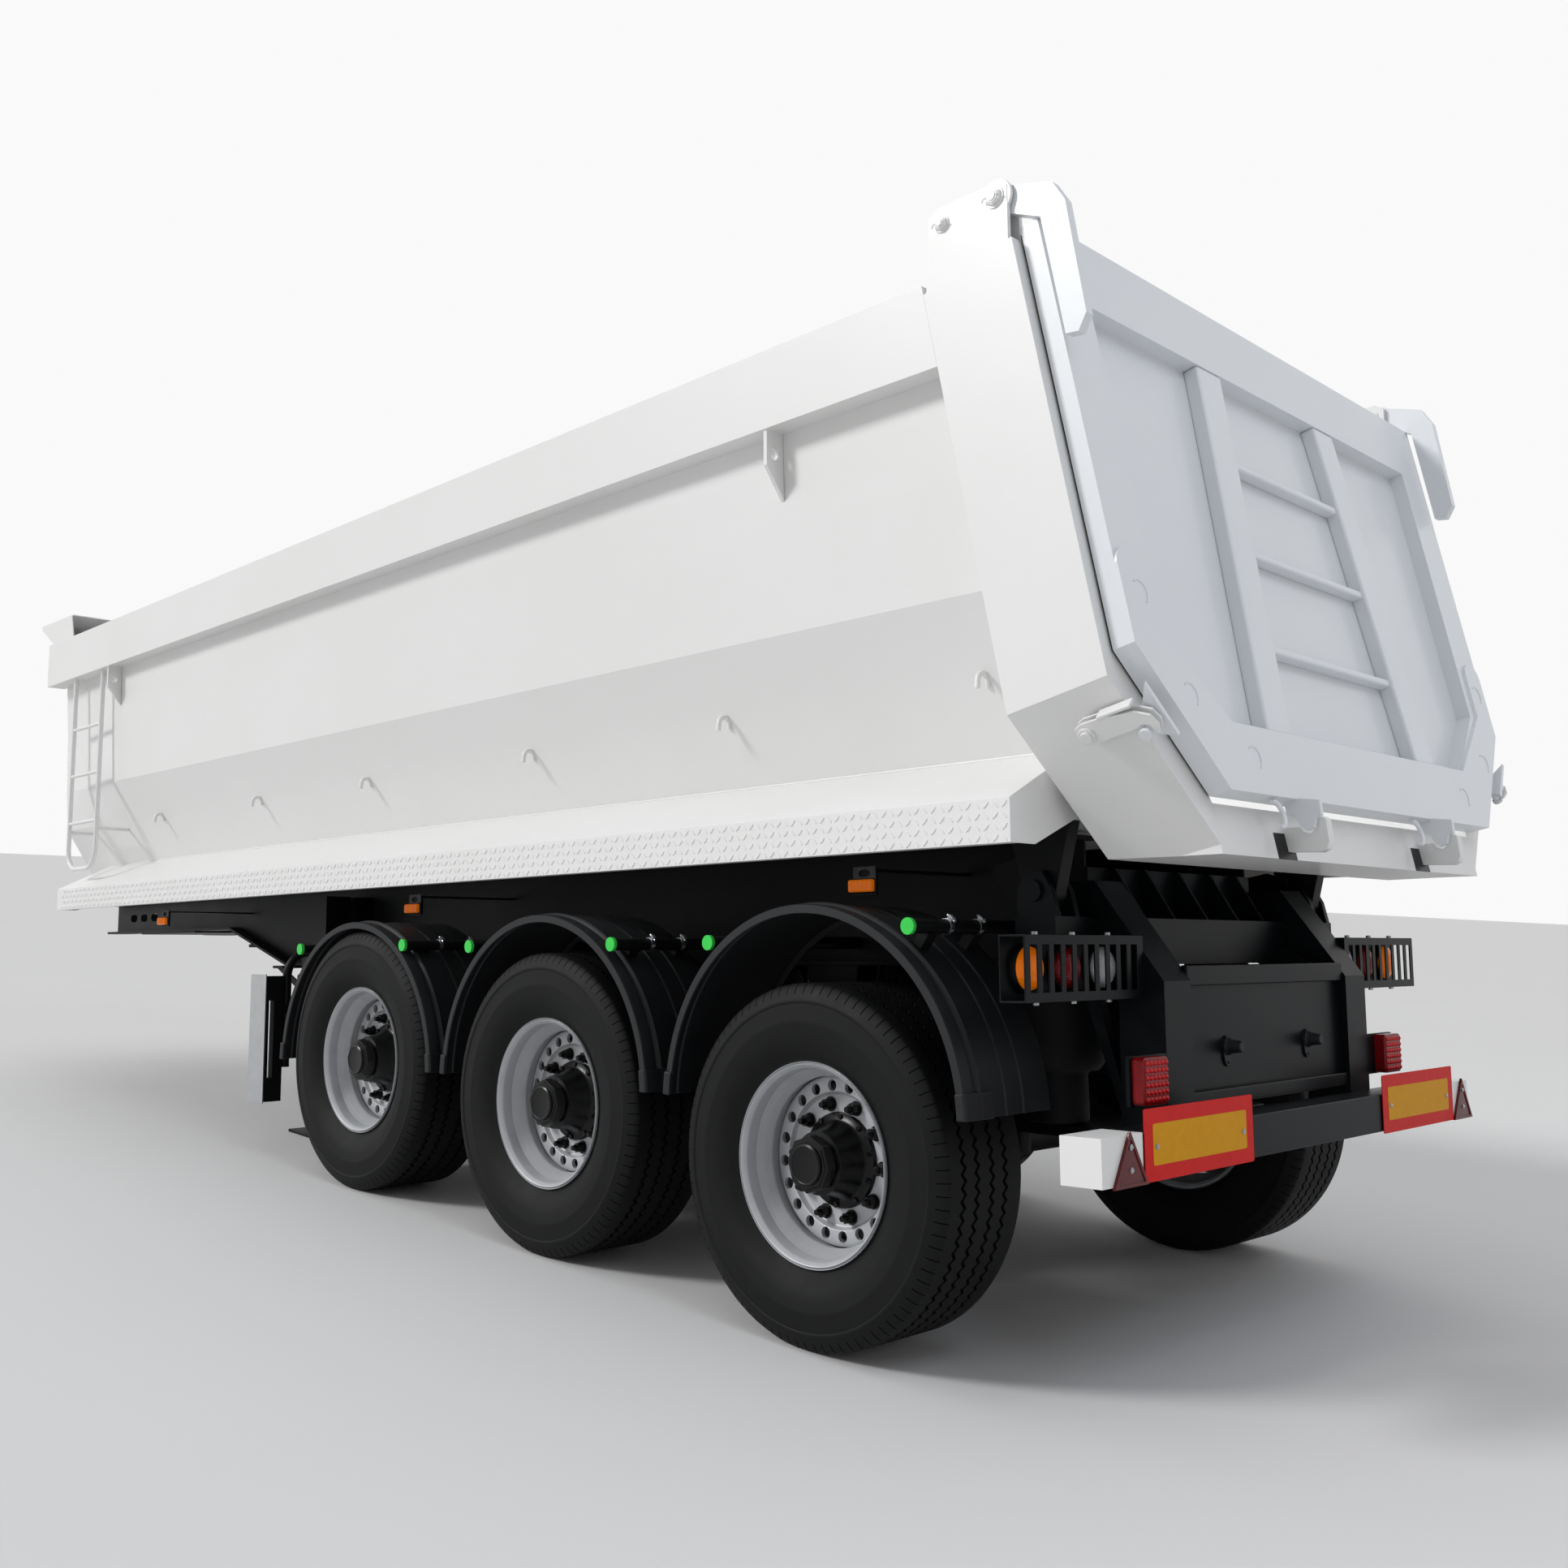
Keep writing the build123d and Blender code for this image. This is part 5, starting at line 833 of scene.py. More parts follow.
@dataclass
class Solids:
    """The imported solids: some keep their shape, the others get rounded edges on a copy."""

    plain: dict[str, Finish] = field(default_factory=lambda: {
        "rest_pads": PALETTE.rubber, "kingpin": PALETTE.forged, "axles": PALETTE.chassis,
        "air_tanks": PALETTE.chassis, "hoist_tube": PALETTE.chassis, "guard_tubes": PALETTE.chassis,
        "tube_caps": PALETTE.green, "ladder": PALETTE.white, "body_floor": PALETTE.white,
        "body_left_wall": PALETTE.white, "body_right_wall": PALETTE.white, "hoist_stage_1": PALETTE.chrome,
        "hoist_stage_2": PALETTE.chrome, "hoist_stage_3": PALETTE.chrome, "hoist_stage_4": PALETTE.chrome,
    })
    # Rounded copies: (node, finish, body, slot, rounding in mm).
    rounded: tuple[tuple[str, Finish, Body, str, float], ...] = (
        ("main_beams", PALETTE.chassis, Body.CHASSIS, "chassis_paint", 3.0),
        ("cross_members", PALETTE.chassis, Body.CHASSIS, "chassis_paint", 4.0),
        ("coupler_plate", PALETTE.chassis, Body.CHASSIS, "chassis_paint", 3.0),
        ("hangers", PALETTE.chassis, Body.CHASSIS, "chassis_paint", 2.5),
        ("trailing_arms", PALETTE.chassis, Body.CHASSIS, "chassis_paint", 4.0),
        ("hoist_cradle", PALETTE.chassis, Body.CHASSIS, "chassis_paint", 4.0),
        ("landing_legs", PALETTE.chassis, Body.CHASSIS, "chassis_paint", 3.0),
        ("landing_feet", PALETTE.chassis, Body.CHASSIS, "chassis_paint", 3.0),
        ("marker_arms", PALETTE.chassis, Body.CHASSIS, "chassis_paint", 1.5),
        ("side_guard_posts", PALETTE.chassis, Body.CHASSIS, "chassis_paint", 2.0),
        ("side_guards", PALETTE.aluminium, Body.CHASSIS, "aluminium", 1.5),
        ("lamp_boxes", PALETTE.slate, Body.CHASSIS, "slate_paint", 1.2),
        ("rear_frame", PALETTE.slate, Body.CHASSIS, "slate_paint", 3.0),
        ("bumper", PALETTE.slate, Body.CHASSIS, "slate_paint", 5.0),
        ("body_bearers", PALETTE.chassis, Body.TIPPER, "chassis_paint", 3.0),
        ("body_front_wall", PALETTE.white, Body.TIPPER, "white_paint", 2.5),
        ("body_portal", PALETTE.white, Body.TIPPER, "white_paint", 5.0),
        ("top_rails", PALETTE.white, Body.TIPPER, "white_paint", 5.0),
        ("skirts", PALETTE.white, Body.TIPPER, "white_paint", 1.8),
        # The gate's white is the body's white with painted shade: a little darker and bluer.
        ("gate_panel", PALETTE.gate_white, Body.GATE, "white_paint", 3.0),
        ("gate_arms", PALETTE.gate_white, Body.GATE, "white_paint", 5.0),
    )

    def copy(self, node: str, name: str) -> bpy.types.Object:
        """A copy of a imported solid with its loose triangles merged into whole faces.

        Args:
            node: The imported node.
            name: Name of the copy.

        Returns:
            The new object.
        """
        mesh = frame["nodes"][node].data.copy()
        mesh.materials.clear()
        made = bpy.data.objects.new(name, mesh)
        bpy.context.scene.collection.objects.link(made)
        Bench.edit(made, "EDGE")
        bpy.ops.mesh.select_all(action="SELECT")
        bpy.ops.mesh.remove_doubles(threshold=0.05 * MM)
        bpy.ops.mesh.dissolve_limited(angle_limit=math.radians(0.4))
        return Bench.close()

    def build(self) -> None:
        """Give every node that stays its finish, and round the edges of the others."""
        for name, finish in self.plain.items():
            mesh = frame["nodes"][name].data
            mesh.materials.clear()
            mesh.materials.append(finish.material())
            LOG.info("%s keeps its solid", name)
        for node, finish, body, slot, width in self.rounded:
            made = self.copy(node, f"{node}_rounded")
            Bench.soften(made, width * MM, 2, 25)
            dress(Bench.smooth(made, 30), finish, body.value, slot, node)


@dataclass
class ChequerPlate:
    """Raised bars on the upright faces of the step skirts, laid crosswise in turn."""

    outer_y: float = 1250 * MM
    rear_x: float = -812 * MM
    low_z: float = 1433 * MM
    pitch: float = 30 * MM
    columns: int = 112
    rows: int = 2
    bar_half: float = 14 * MM
    bar_rise: float = 2.8 * MM
    slimness: float = 0.26
    seam: tuple[float, float] = (949.5 * MM, 1690.5 * MM)
    seam_ends: tuple[float, float] = (-826 * MM, 5955 * MM)

    def bars(self) -> bpy.types.Object:
        """The field of bars on the left skirt.

        Returns:
            The bars, in the chassis frame.
        """
        base = self.outer_y - 0.4 * MM
        ends = ((0, base, 0), (0, base + self.bar_rise, 0))
        bar = Bench.drum("bar", self.bar_half, ends, 10, 0.7 * self.bar_half)
        Bench.edit(bar)
        Bench.pick(bar, lambda face: face.normal.y < -0.9)
        bpy.ops.mesh.delete(type="FACE")
        bpy.ops.mesh.select_all(action="SELECT")
        bpy.ops.transform.resize(value=(1, 1, self.slimness))
        Bench.close()
        cell = []
        for column in (0, 1):
            for row in (0, 1):
                lean = math.radians(45 if (column + row) % 2 else -45)
                place = (self.rear_x + column * self.pitch, 0, self.low_z + row * self.pitch)
                cell.append(Matrix.Translation(place) @ Matrix.Rotation(lean, 4, "Y"))
        patch = Bench.copies(bar, cell)
        Bench.array(patch, (2 * self.pitch, 0, 0), self.columns)
        return Bench.array(patch, (0, 0, 2 * self.pitch), self.rows)

    def build(self) -> None:
        """Lay the bars and the sealed seam over both skirts."""
        plate = Bench.place(Bench.twins(self.bars()), STANCE.chassis)
        dress(plate, PALETTE.white, Body.TIPPER.value, "white_paint")
        y, z = self.seam
        seam = Bench.bar("skirt_seam", [(x, y, z) for x in self.seam_ends], 4.5 * MM)
        dress(Bench.place(Bench.twins(seam), STANCE.chassis), PALETTE.white, Body.TIPPER.value, "white_paint")


@dataclass
class Visor:
    """Hood over the front wall: a leaning sheet and a flat roof between two upright cheeks."""

    half: float = 1232 * MM
    thick: float = 6 * MM
    sheet: tuple[tuple[float, float], ...] = (
        (6.256, 3.031), (6.264, 3.031), (6.495, 3.176), (6.490, 3.182), (5.986, 3.175), (5.986, 3.169), (6.477, 3.174))
    cheek: tuple[tuple[float, float], ...] = (
        (5.950, 3.031), (5.992, 3.168), (6.486, 3.176), (6.470, 3.150), (6.262, 3.031))

    def build(self) -> None:
        """Fold the sheet and set a cheek at both ends."""
        sheet = Bench.plate("visor_sheet", [(x, -self.half, z) for x, z in self.sheet], (0, 2 * self.half, 0))
        cheek = Bench.plate("cheek", [(x, self.half - 1 * MM, z) for x, z in self.cheek], (0, self.thick, 0))
        pieces = [Bench.soften(sheet, 1.5 * MM), Bench.twins(Bench.soften(cheek, 1.8 * MM))]
        made = Bench.smooth(Bench.join("visor_sheet", pieces), 35)
        dress(Bench.place(made, STANCE.chassis), PALETTE.white, Body.TIPPER.value, "white_paint", "visor")


@dataclass
class RopeHooks:
    """Round-bar hooks along the lower crease of both walls."""

    places: tuple[float, ...] = (-0.610, 0.470, 1.580, 2.810, 3.860, 5.020)
    seat: tuple[float, float] = (1042 * MM, 1900 * MM)
    bend: float = 23 * MM
    drop: float = 24 * MM
    bar_radius: float = 8.5 * MM

    def build(self) -> None:
        """Bend one hook and set a copy at each place."""
        y, z = self.seat
        bend = [math.radians(180 - 18 * i) for i in range(11)]
        line = [(0, y - 4 * MM, z - 14 * MM)]
        line += [(0, y + self.bend * (1 + math.cos(a)), z + self.bend * math.sin(a)) for a in bend]
        line += [(0, y + 2 * self.bend + 3 * MM, z - self.drop)]
        hook = Bench.smooth(Bench.bar("rope_hook_bars", line, self.bar_radius), 50)
        hooks = Bench.twins(Bench.copies(hook, [Matrix.Translation((x, 0, 0)) for x in self.places]))
        dress(Bench.place(hooks, STANCE.chassis), PALETTE.white, Body.TIPPER.value, "white_paint", "rope_hooks")


@dataclass
class HingeHardware:
    """Washers, castle nuts and split pins on the tailgate hinge pins, and the cheeks' round noses."""

    outer_y: float = 1246 * MM
    # Pins: (x, z, radius).
    pins: tuple[Point, ...] = ((-824 * MM, 3198 * MM, 20 * MM), (-640 * MM, 3188 * MM, 16 * MM))
    nose_radius: float = 54 * MM
    nose_ys: tuple[float, float] = (1233.5 * MM, 1244.5 * MM)

    def nut(self, radius: float) -> bpy.types.Object:
        """A washer, a slotted nut and the pin's end along +Y.

        Args:
            radius: Radius of the pin.

        Returns:
            The joined hardware at the origin.
        """
        washer = Bench.drum("washer", 1.55 * radius, ((0, -1 * MM, 0), (0, 4 * MM, 0)), 32)
        nut = Bench.drum("nut", 1.3 * radius, ((0, 3 * MM, 0), (0, 13 * MM, 0)), 6, 1.25 * radius)
        Bench.edit(nut)
        Bench.pick(nut, lambda face: face.normal.y > 0.9)
        bpy.ops.mesh.inset(thickness=0.2 * radius)
        bpy.ops.mesh.extrude_region_move(TRANSFORM_OT_translate={"value": (0, 3 * MM, 0)})
        Bench.close()
        end = Bench.drum("pin_end", 0.75 * radius, ((0, 3 * MM, 0), (0, 19 * MM, 0)), 24, 0.68 * radius)
        wire = Bench.bar("split_pin", [(-1.4 * radius, 15 * MM, 0), (1.4 * radius, 15 * MM, 0),
                                       (1.7 * radius, 15 * MM, -9 * MM)], 2.2 * MM)
        for piece in (washer, nut, end):
            Bench.soften(piece, 1.2 * MM)
        return Bench.join("hinge_nut", [washer, nut, end, wire])

    def build(self) -> None:
        """Fit both pins and the round nose of the cheek on both sides."""
        pieces = []
        for x, z, radius in self.pins:
            pieces.append(Bench.place(self.nut(radius), Matrix.Translation((x, self.outer_y, z))))
        x, z, _ = self.pins[0]
        nose = Bench.drum("nose", self.nose_radius, tuple((x, y, z) for y in self.nose_ys), 48)
        pieces.append(Bench.soften(nose, 2 * MM))
        made = Bench.smooth(Bench.twins(Bench.join("hinge_nuts", pieces)), 35)
        dress(Bench.place(made, STANCE.chassis), PALETTE.white, Body.TIPPER.value, "white_paint")


@dataclass
class TailgateTrim:
    """Ribs, seal, welds, latches and lock brackets of the tailgate, with the claws on the sill."""

    apron_x: float = -74 * MM
    mark_radius: float = 34 * MM
    marks: tuple[tuple[float, float], ...] = (
        (1.130, 2.033), (0.988, 1.776), (0.718, 1.632), (-0.734, 1.626), (-1.011, 1.768), (-1.130, 2.033))
    # Seam along the window of the apron: (y, chassis height) of the left half, from the ear down.
    seam: tuple[tuple[float, float], ...] = ((1.080, 2.120), (1.080, 1.948), (0.793, 1.725))
    lock_ys: tuple[float, ...] = (0.480, -0.440)
    latch_seat: Point = (0.120, 1.1712, 0.2196)
    # Middle line of the left rib: (y, chassis height) of its top and foot.
    rib_ends: tuple[tuple[float, float], tuple[float, float]] = ((0.384, 2.886), (0.503, 1.725))
    rib_width: float = 146 * MM
    rib_face: float = -64 * MM
    rung_zs: tuple[float, ...] = (2.590, 2.296, 1.994)
    rung: float = 26 * MM
    claw_half: float = 17 * MM
    bracket_gap: float = 5 * MM
    bracket_half: float = 9 * MM

    def up(self, z: float) -> float:
        """Distance up the leaning plane to a chassis height."""
        return (z - STANCE.lean_foot[2]) / math.cos(math.radians(STANCE.lean_deg))

    def weld_marks(self) -> bpy.types.Object:
        """Crescent-shaped weld marks on the apron.

        Returns:
            The marks, in the gate frame.
        """
        arc = [math.radians(130 - 18 * i) for i in range(11)]
        line = [(0, -self.mark_radius * math.cos(a), self.mark_radius * math.sin(a)) for a in arc]
        mark = Bench.smooth(Bench.bar("weld_marks", line, 2.6 * MM), 50)
        places = [Matrix.Translation((self.apron_x, y, self.up(z))) for y, z in self.marks]
        return Bench.copies(mark, places)

    def seams(self) -> bpy.types.Object:
        """Weld bead round the apron's window.

        Returns:
            The bead, in the gate frame.
        """
        line = [(self.apron_x + 7 * MM, y, self.up(z)) for y, z in self.seam]
        line += [(x, -y, z) for x, y, z in reversed(line)]
        return Bench.smooth(Bench.bar("apron_seam", line, 4 * MM), 50)

    def ribs(self) -> bpy.types.Object:
        """Two splayed box ribs and the slim rungs between them.

        Returns:
            The ribs, in the gate frame.
        """
        (top_y, top_z), (foot_y, foot_z) = self.rib_ends
        half = self.rib_width / 2
        skin = self.apron_x + 60 * MM
        pieces = []
        for side in (1, -1):
            line = [(top_y - half, top_z), (top_y + half, top_z), (foot_y + half, foot_z), (foot_y - half, foot_z)]
            points = [(skin, side * y, self.up(z)) for y, z in line]
            pieces.append(Bench.soften(Bench.plate("rib", points, (self.rib_face - skin, 0, 0)), 9 * MM, 3))
        for z in self.rung_zs:
            share = (top_z - z) / (top_z - foot_z)
            reach = top_y + share * (foot_y - top_y) - half + 4 * MM
            low = (self.rib_face + 9 * MM, -reach, self.up(z) - self.rung / 2)
            rung = Bench.block("rung", low, (skin, reach, self.up(z) + self.rung / 2))
            pieces.append(Bench.soften(rung, 8 * MM, 3))
        return Bench.smooth(Bench.join("gate_rib_boxes", pieces), 40)

    def seal(self) -> bpy.types.Object:
        """The left half of the rubber seal between gate and portal, in the gate frame."""
        line = [(1.202, 3.085), (1.202, 1.891), (0.881, 1.540), (0.846, 1.540), (1.172, 1.898), (1.172, 3.085)]
        return Bench.plate("gate_seal", [(-8.2 * MM, y, self.up(z)) for y, z in line], (7.7 * MM, 0, 0))

    def latch(self) -> bpy.types.Object:
        """The left side latch: two hooked plates on a pivot boss, in the gate frame."""
        line = [
            (-0.030, 0.008), (-0.022, 0.028), (0.0, 0.036), (0.060, 0.034), (0.150, 0.018), (0.183, -0.006),
            (0.190, -0.038), (0.181, -0.062), (0.168, -0.062), (0.168, -0.036), (0.152, -0.023), (0.132, -0.030),
            (0.060, -0.030), (0.0, -0.034), (-0.024, -0.024),
        ]
        pieces = []
        for level in (9 * MM, 36 * MM):
            plate = Bench.plate("latch", [(u, v, level) for u, v in line], (0, 0, 9 * MM))
            pieces.append(Bench.soften(plate, 2 * MM))
        for radius, low, high in ((31 * MM, 0.0, 10 * MM), (24 * MM, 0.0, 52 * MM), (16 * MM, 45 * MM, 60 * MM)):
            pieces.append(Bench.soften(Bench.drum("boss", radius, ((0, 0, low), (0, 0, high)), 32), 2 * MM))
        strap = Bench.block("strap", (0.050, 0.030, 8 * MM), (0.150, 0.040, 46 * MM))
        pieces.append(Bench.soften(strap, 3 * MM))
        return Bench.place(Bench.join("side_latches", pieces), self.knee)

    def keeper(self) -> bpy.types.Object:
        """The pin that the left latch hooks over, on its gusset at the gate's edge, in the gate frame."""
        pin = Bench.drum("keeper", 12 * MM, ((0.150, -0.0475, -6 * MM), (0.150, -0.0475, 58 * MM)), 24)
        head = Bench.drum("head", 17 * MM, ((0.150, -0.0475, 50 * MM), (0.150, -0.0475, 62 * MM)), 24)
        gusset = Bench.plate("gusset", [(0.136, -0.020, 1 * MM), (0.194, 0.060, 1 * MM), (0.194, -0.110, 1 * MM),
                                        (0.136, -0.080, 1 * MM)], (0, 0, -16 * MM))
        for piece in (pin, head, gusset):
            Bench.soften(piece, 2 * MM)
        return Bench.place(Bench.join("latch_keepers", [pin, head, gusset]), self.knee)

    @property
    def knee(self) -> Matrix:
        """From the left knee panel, X rearwards and Z outwards, to the gate frame."""
        out = Vector((0, 0.7405, -0.6721))
        back = Vector((-1, 0, 0))
        axes = Matrix((back, out.cross(back), out)).transposed().to_4x4()
        return Matrix.Translation(self.latch_seat) @ axes

    def claw(self) -> bpy.types.Object:
        """A flame-cut claw that reaches out of the sill, in the chassis frame about y = 0."""
        line = [
            (-1.170, 1.408), (-1.318, 1.402), (-1.336, 1.410), (-1.343, 1.428), (-1.336, 1.492), (-1.325, 1.500),
            (-1.306, 1.498), (-1.300, 1.462), (-1.286, 1.452), (-1.270, 1.460), (-1.262, 1.474), (-1.170, 1.474),
        ]
        points = [(x, -self.claw_half, z) for x, z in line]
        made = Bench.plate("lock_claws", points, (0, 2 * self.claw_half, 0))
        return Bench.soften(made, 3 * MM)

    def window(self) -> bpy.types.Object:
        """Painted shade in the opening of the sill that the claw comes out of: a thin recessed plate, dressed black."""
        line = [(-1.2125, 1.458), (-1.2285, 1.384)]
        points = [(line[0][0], -0.026, line[0][1]), (line[0][0], 0.082, line[0][1]),
                  (line[1][0], 0.082, line[1][1]), (line[1][0], -0.026, line[1][1])]
        return Bench.plate("lock_windows", points, (-1.2 * MM, 0, 0))

    def bracket(self) -> bpy.types.Object:
        """A hooked bracket under the gate's foot, beside the claw."""
        line = [
            (-1.268, 1.552), (-1.330, 1.544), (-1.334, 1.500), (-1.318, 1.498), (-1.312, 1.468), (-1.290, 1.460),
            (-1.272, 1.476), (-1.262, 1.500), (-1.232, 1.512), (-1.226, 1.552),
        ]
        points = [(x, -self.bracket_half, z) for x, z in line]
        made = Bench.plate("lock_brackets", points, (0, 2 * self.bracket_half, 0))
        return Bench.soften(made, 2.5 * MM)

    def ring(self) -> bpy.types.Object:
        """A bent-bar ring beside the lock."""
        arc = [math.radians(115 - 23 * i) for i in range(11)]
        line = [(-1.268 + 0.012 * math.sin(a), -0.030 * math.cos(a), 1.500 + 0.036 * math.sin(a)) for a in arc]
        return Bench.smooth(Bench.bar("lock_rings", line, 7 * MM), 50)

    def build(self) -> None:
        """Dress the gate, fit the latches, then set a claw, a bracket and a ring at both locks."""
        for piece, nodes in ((self.weld_marks(), []), (self.seams(), []), (self.ribs(), ["gate_ribs"]),
                             (Bench.smooth(Bench.twins(self.keeper()), 35), [])):
            dress(Bench.place(piece, STANCE.gate), PALETTE.gate_white, Body.GATE.value, "white_paint", *nodes)
        seal = Bench.place(Bench.twins(self.seal()), STANCE.gate)
        dress(seal, PALETTE.rubber, Body.GATE.value, "rubber")
        beside = self.claw_half + self.bracket_gap + self.bracket_half
        claws = Bench.smooth(Bench.copies(self.claw(), [Matrix.Translation((0, y, 0)) for y in self.lock_ys]))
        brackets = [Matrix.Translation((0, y + beside, 0)) for y in self.lock_ys]
        rings = [Matrix.Translation((0, y + 5 * beside, 0)) for y in self.lock_ys]
        windows = [Matrix.Translation((0, y, 0)) for y in self.lock_ys]
        white, body, gate = PALETTE.white, Body.TIPPER.value, Body.GATE.value
        latches = Bench.place(Bench.smooth(Bench.twins(self.latch()), 35), STANCE.gate)
        dress(latches, white, body, "white_paint", "gate_locks")
        dress(Bench.place(claws, STANCE.chassis), white, body, "white_paint")
        # Painted shade: black plates stand for the shadow inside the openings of the sill.
        dark = Bench.copies(self.window(), windows)
        dress(Bench.place(dark, STANCE.chassis), PALETTE.hub, body, "chassis_paint")
        for master, places in ((self.bracket(), brackets), (self.ring(), rings)):
            made = Bench.place(Bench.smooth(Bench.copies(master, places), 40), STANCE.chassis)
            dress(made, PALETTE.gate_white, gate, "white_paint")


@dataclass
class Mudguards:
    """Moulded half-round guards with a flat outer band, ridges and thick feet."""

    radius: float = 612 * MM
    centre_z: float = 668 * MM
    centres: tuple[float, ...] = (-28.1 * MM, 1294.4 * MM, 2601.9 * MM)
    inner_y: float = 830 * MM
    outer_y: float = 1222 * MM
    foot_deg: float = 7.0
    lead_deg: float = 2.0
    # Tubes over the guards: (guard, degrees ahead of its top, height over its shell).
    tubes: tuple[tuple[int, float, float], ...] = (
        (0, -37.7, 72 * MM), (0, 39.3, 39 * MM), (1, -39.6, 42 * MM), (1, 41.6, 62 * MM), (2, -36.5, 27 * MM),
        (2, 43.4, 82 * MM))
    tube_radius: float = 21 * MM
    clamp_ys: tuple[float, ...] = (1045 * MM, 905 * MM)

    def shell(self) -> bpy.types.Object:
        """One guard about its own centre.

        Returns:
            The guard over a left wheel.
        """
        r, a, b = self.radius, self.inner_y, self.outer_y
        section = [
            (r - 0.024, a), (r - 0.002, a), (r, a + 0.003), (r, 0.948), (r + 0.004, 0.953), (r + 0.004, 0.959),
            (r, 0.964), (r, 1.028), (r + 0.004, 1.033), (r + 0.004, 1.039), (r, 1.044), (r, 1.140), (r + 0.002, 1.146),
            (r + 0.008, 1.150), (r + 0.010, 1.156), (r + 0.006, 1.162), (r - 0.004, 1.168), (r - 0.004, 1.174),
            (r + 0.003, 1.180), (r + 0.003, b - 0.006), (r, b), (r - 0.024, b + 0.001), (r - 0.026, b - 0.004),
            (r - 0.010, b - 0.006), (r - 0.008, b - 0.012), (r - 0.008, 1.182), (r - 0.012, 1.176), (r - 0.012, 1.166),
            (r - 0.006, 1.152), (r - 0.006, a + 0.008), (r - 0.024, a + 0.005),
        ]
        return Bench.lathe("mudguards", section, 72, turn_deg=180 - 2 * self.lead_deg, start_deg=self.lead_deg)

    def foot(self) -> bpy.types.Object:
        """The thick foot at the front end of a guard."""
        r, b = self.radius, self.outer_y
        section = [
            (r - 0.026, b + 0.007), (r + 0.003, b + 0.008), (r + 0.009, b + 0.001), (r + 0.009, b - 0.110),
            (r + 0.005, b - 0.122), (r - 0.003, b - 0.122), (r - 0.003, b - 0.006), (r - 0.026, b - 0.006),
        ]
        made = Bench.lathe("foot", section, 8, turn_deg=self.foot_deg, start_deg=self.lead_deg - 0.3)
        return Bench.soften(made, 4.5 * MM, 3, 35)

    def clamp(self) -> bpy.types.Object:
        """A zinc band clamp with its screw, about a tube along Y."""
        r = self.tube_radius
        band = Bench.lathe("clamps", [(r + 0.4 * MM, -8 * MM), (r + 3 * MM, -8 * MM), (r + 3 * MM, 8 * MM),
                                      (r + 0.4 * MM, 8 * MM)], 32)
        ear = Bench.block("ear", (-9 * MM, -7 * MM, r + 1 * MM), (9 * MM, 7 * MM, r + 16 * MM))
        screw = Bench.drum("screw", 5 * MM, ((-17 * MM, 0, r + 9 * MM), (17 * MM, 0, r + 9 * MM)), 8)
        for piece in (band, ear, screw):
            Bench.soften(piece, 0.9 * MM)
        return Bench.smooth(Bench.join("clamps", [band, ear, screw]), 35)

    def build(self) -> None:
        """Mould one guard, copy it over each wheel, and clamp the tubes."""
        front = self.foot()
        guard = Bench.join("mudguards", [self.shell(), Bench.copies(
            front, [Matrix.Identity(4), Matrix.Scale(-1, 4, (1, 0, 0))])])
        Bench.smooth(guard, 28)
        places = [Matrix.Translation((x, 0, self.centre_z)) for x in self.centres]
        made = Bench.place(Bench.twins(Bench.copies(guard, places)), STANCE.chassis)
        dress(made, PALETTE.plastic, Body.CHASSIS.value, "black_plastic", "mudguards")
        rings = []
        for index, ahead, height in self.tubes:
            reach = self.radius + height
            x = self.centres[index] + reach * math.sin(math.radians(ahead))
            z = self.centre_z + reach * math.cos(math.radians(ahead))
            turn = Matrix.Rotation(math.radians(ahead), 4, "Y")
            rings += [Matrix.Translation((x, y, z)) @ turn for y in self.clamp_ys]
        made = Bench.place(Bench.twins(Bench.copies(self.clamp(), rings)), STANCE.chassis)
        dress(made, PALETTE.zinc, Body.CHASSIS.value, "aluminium")


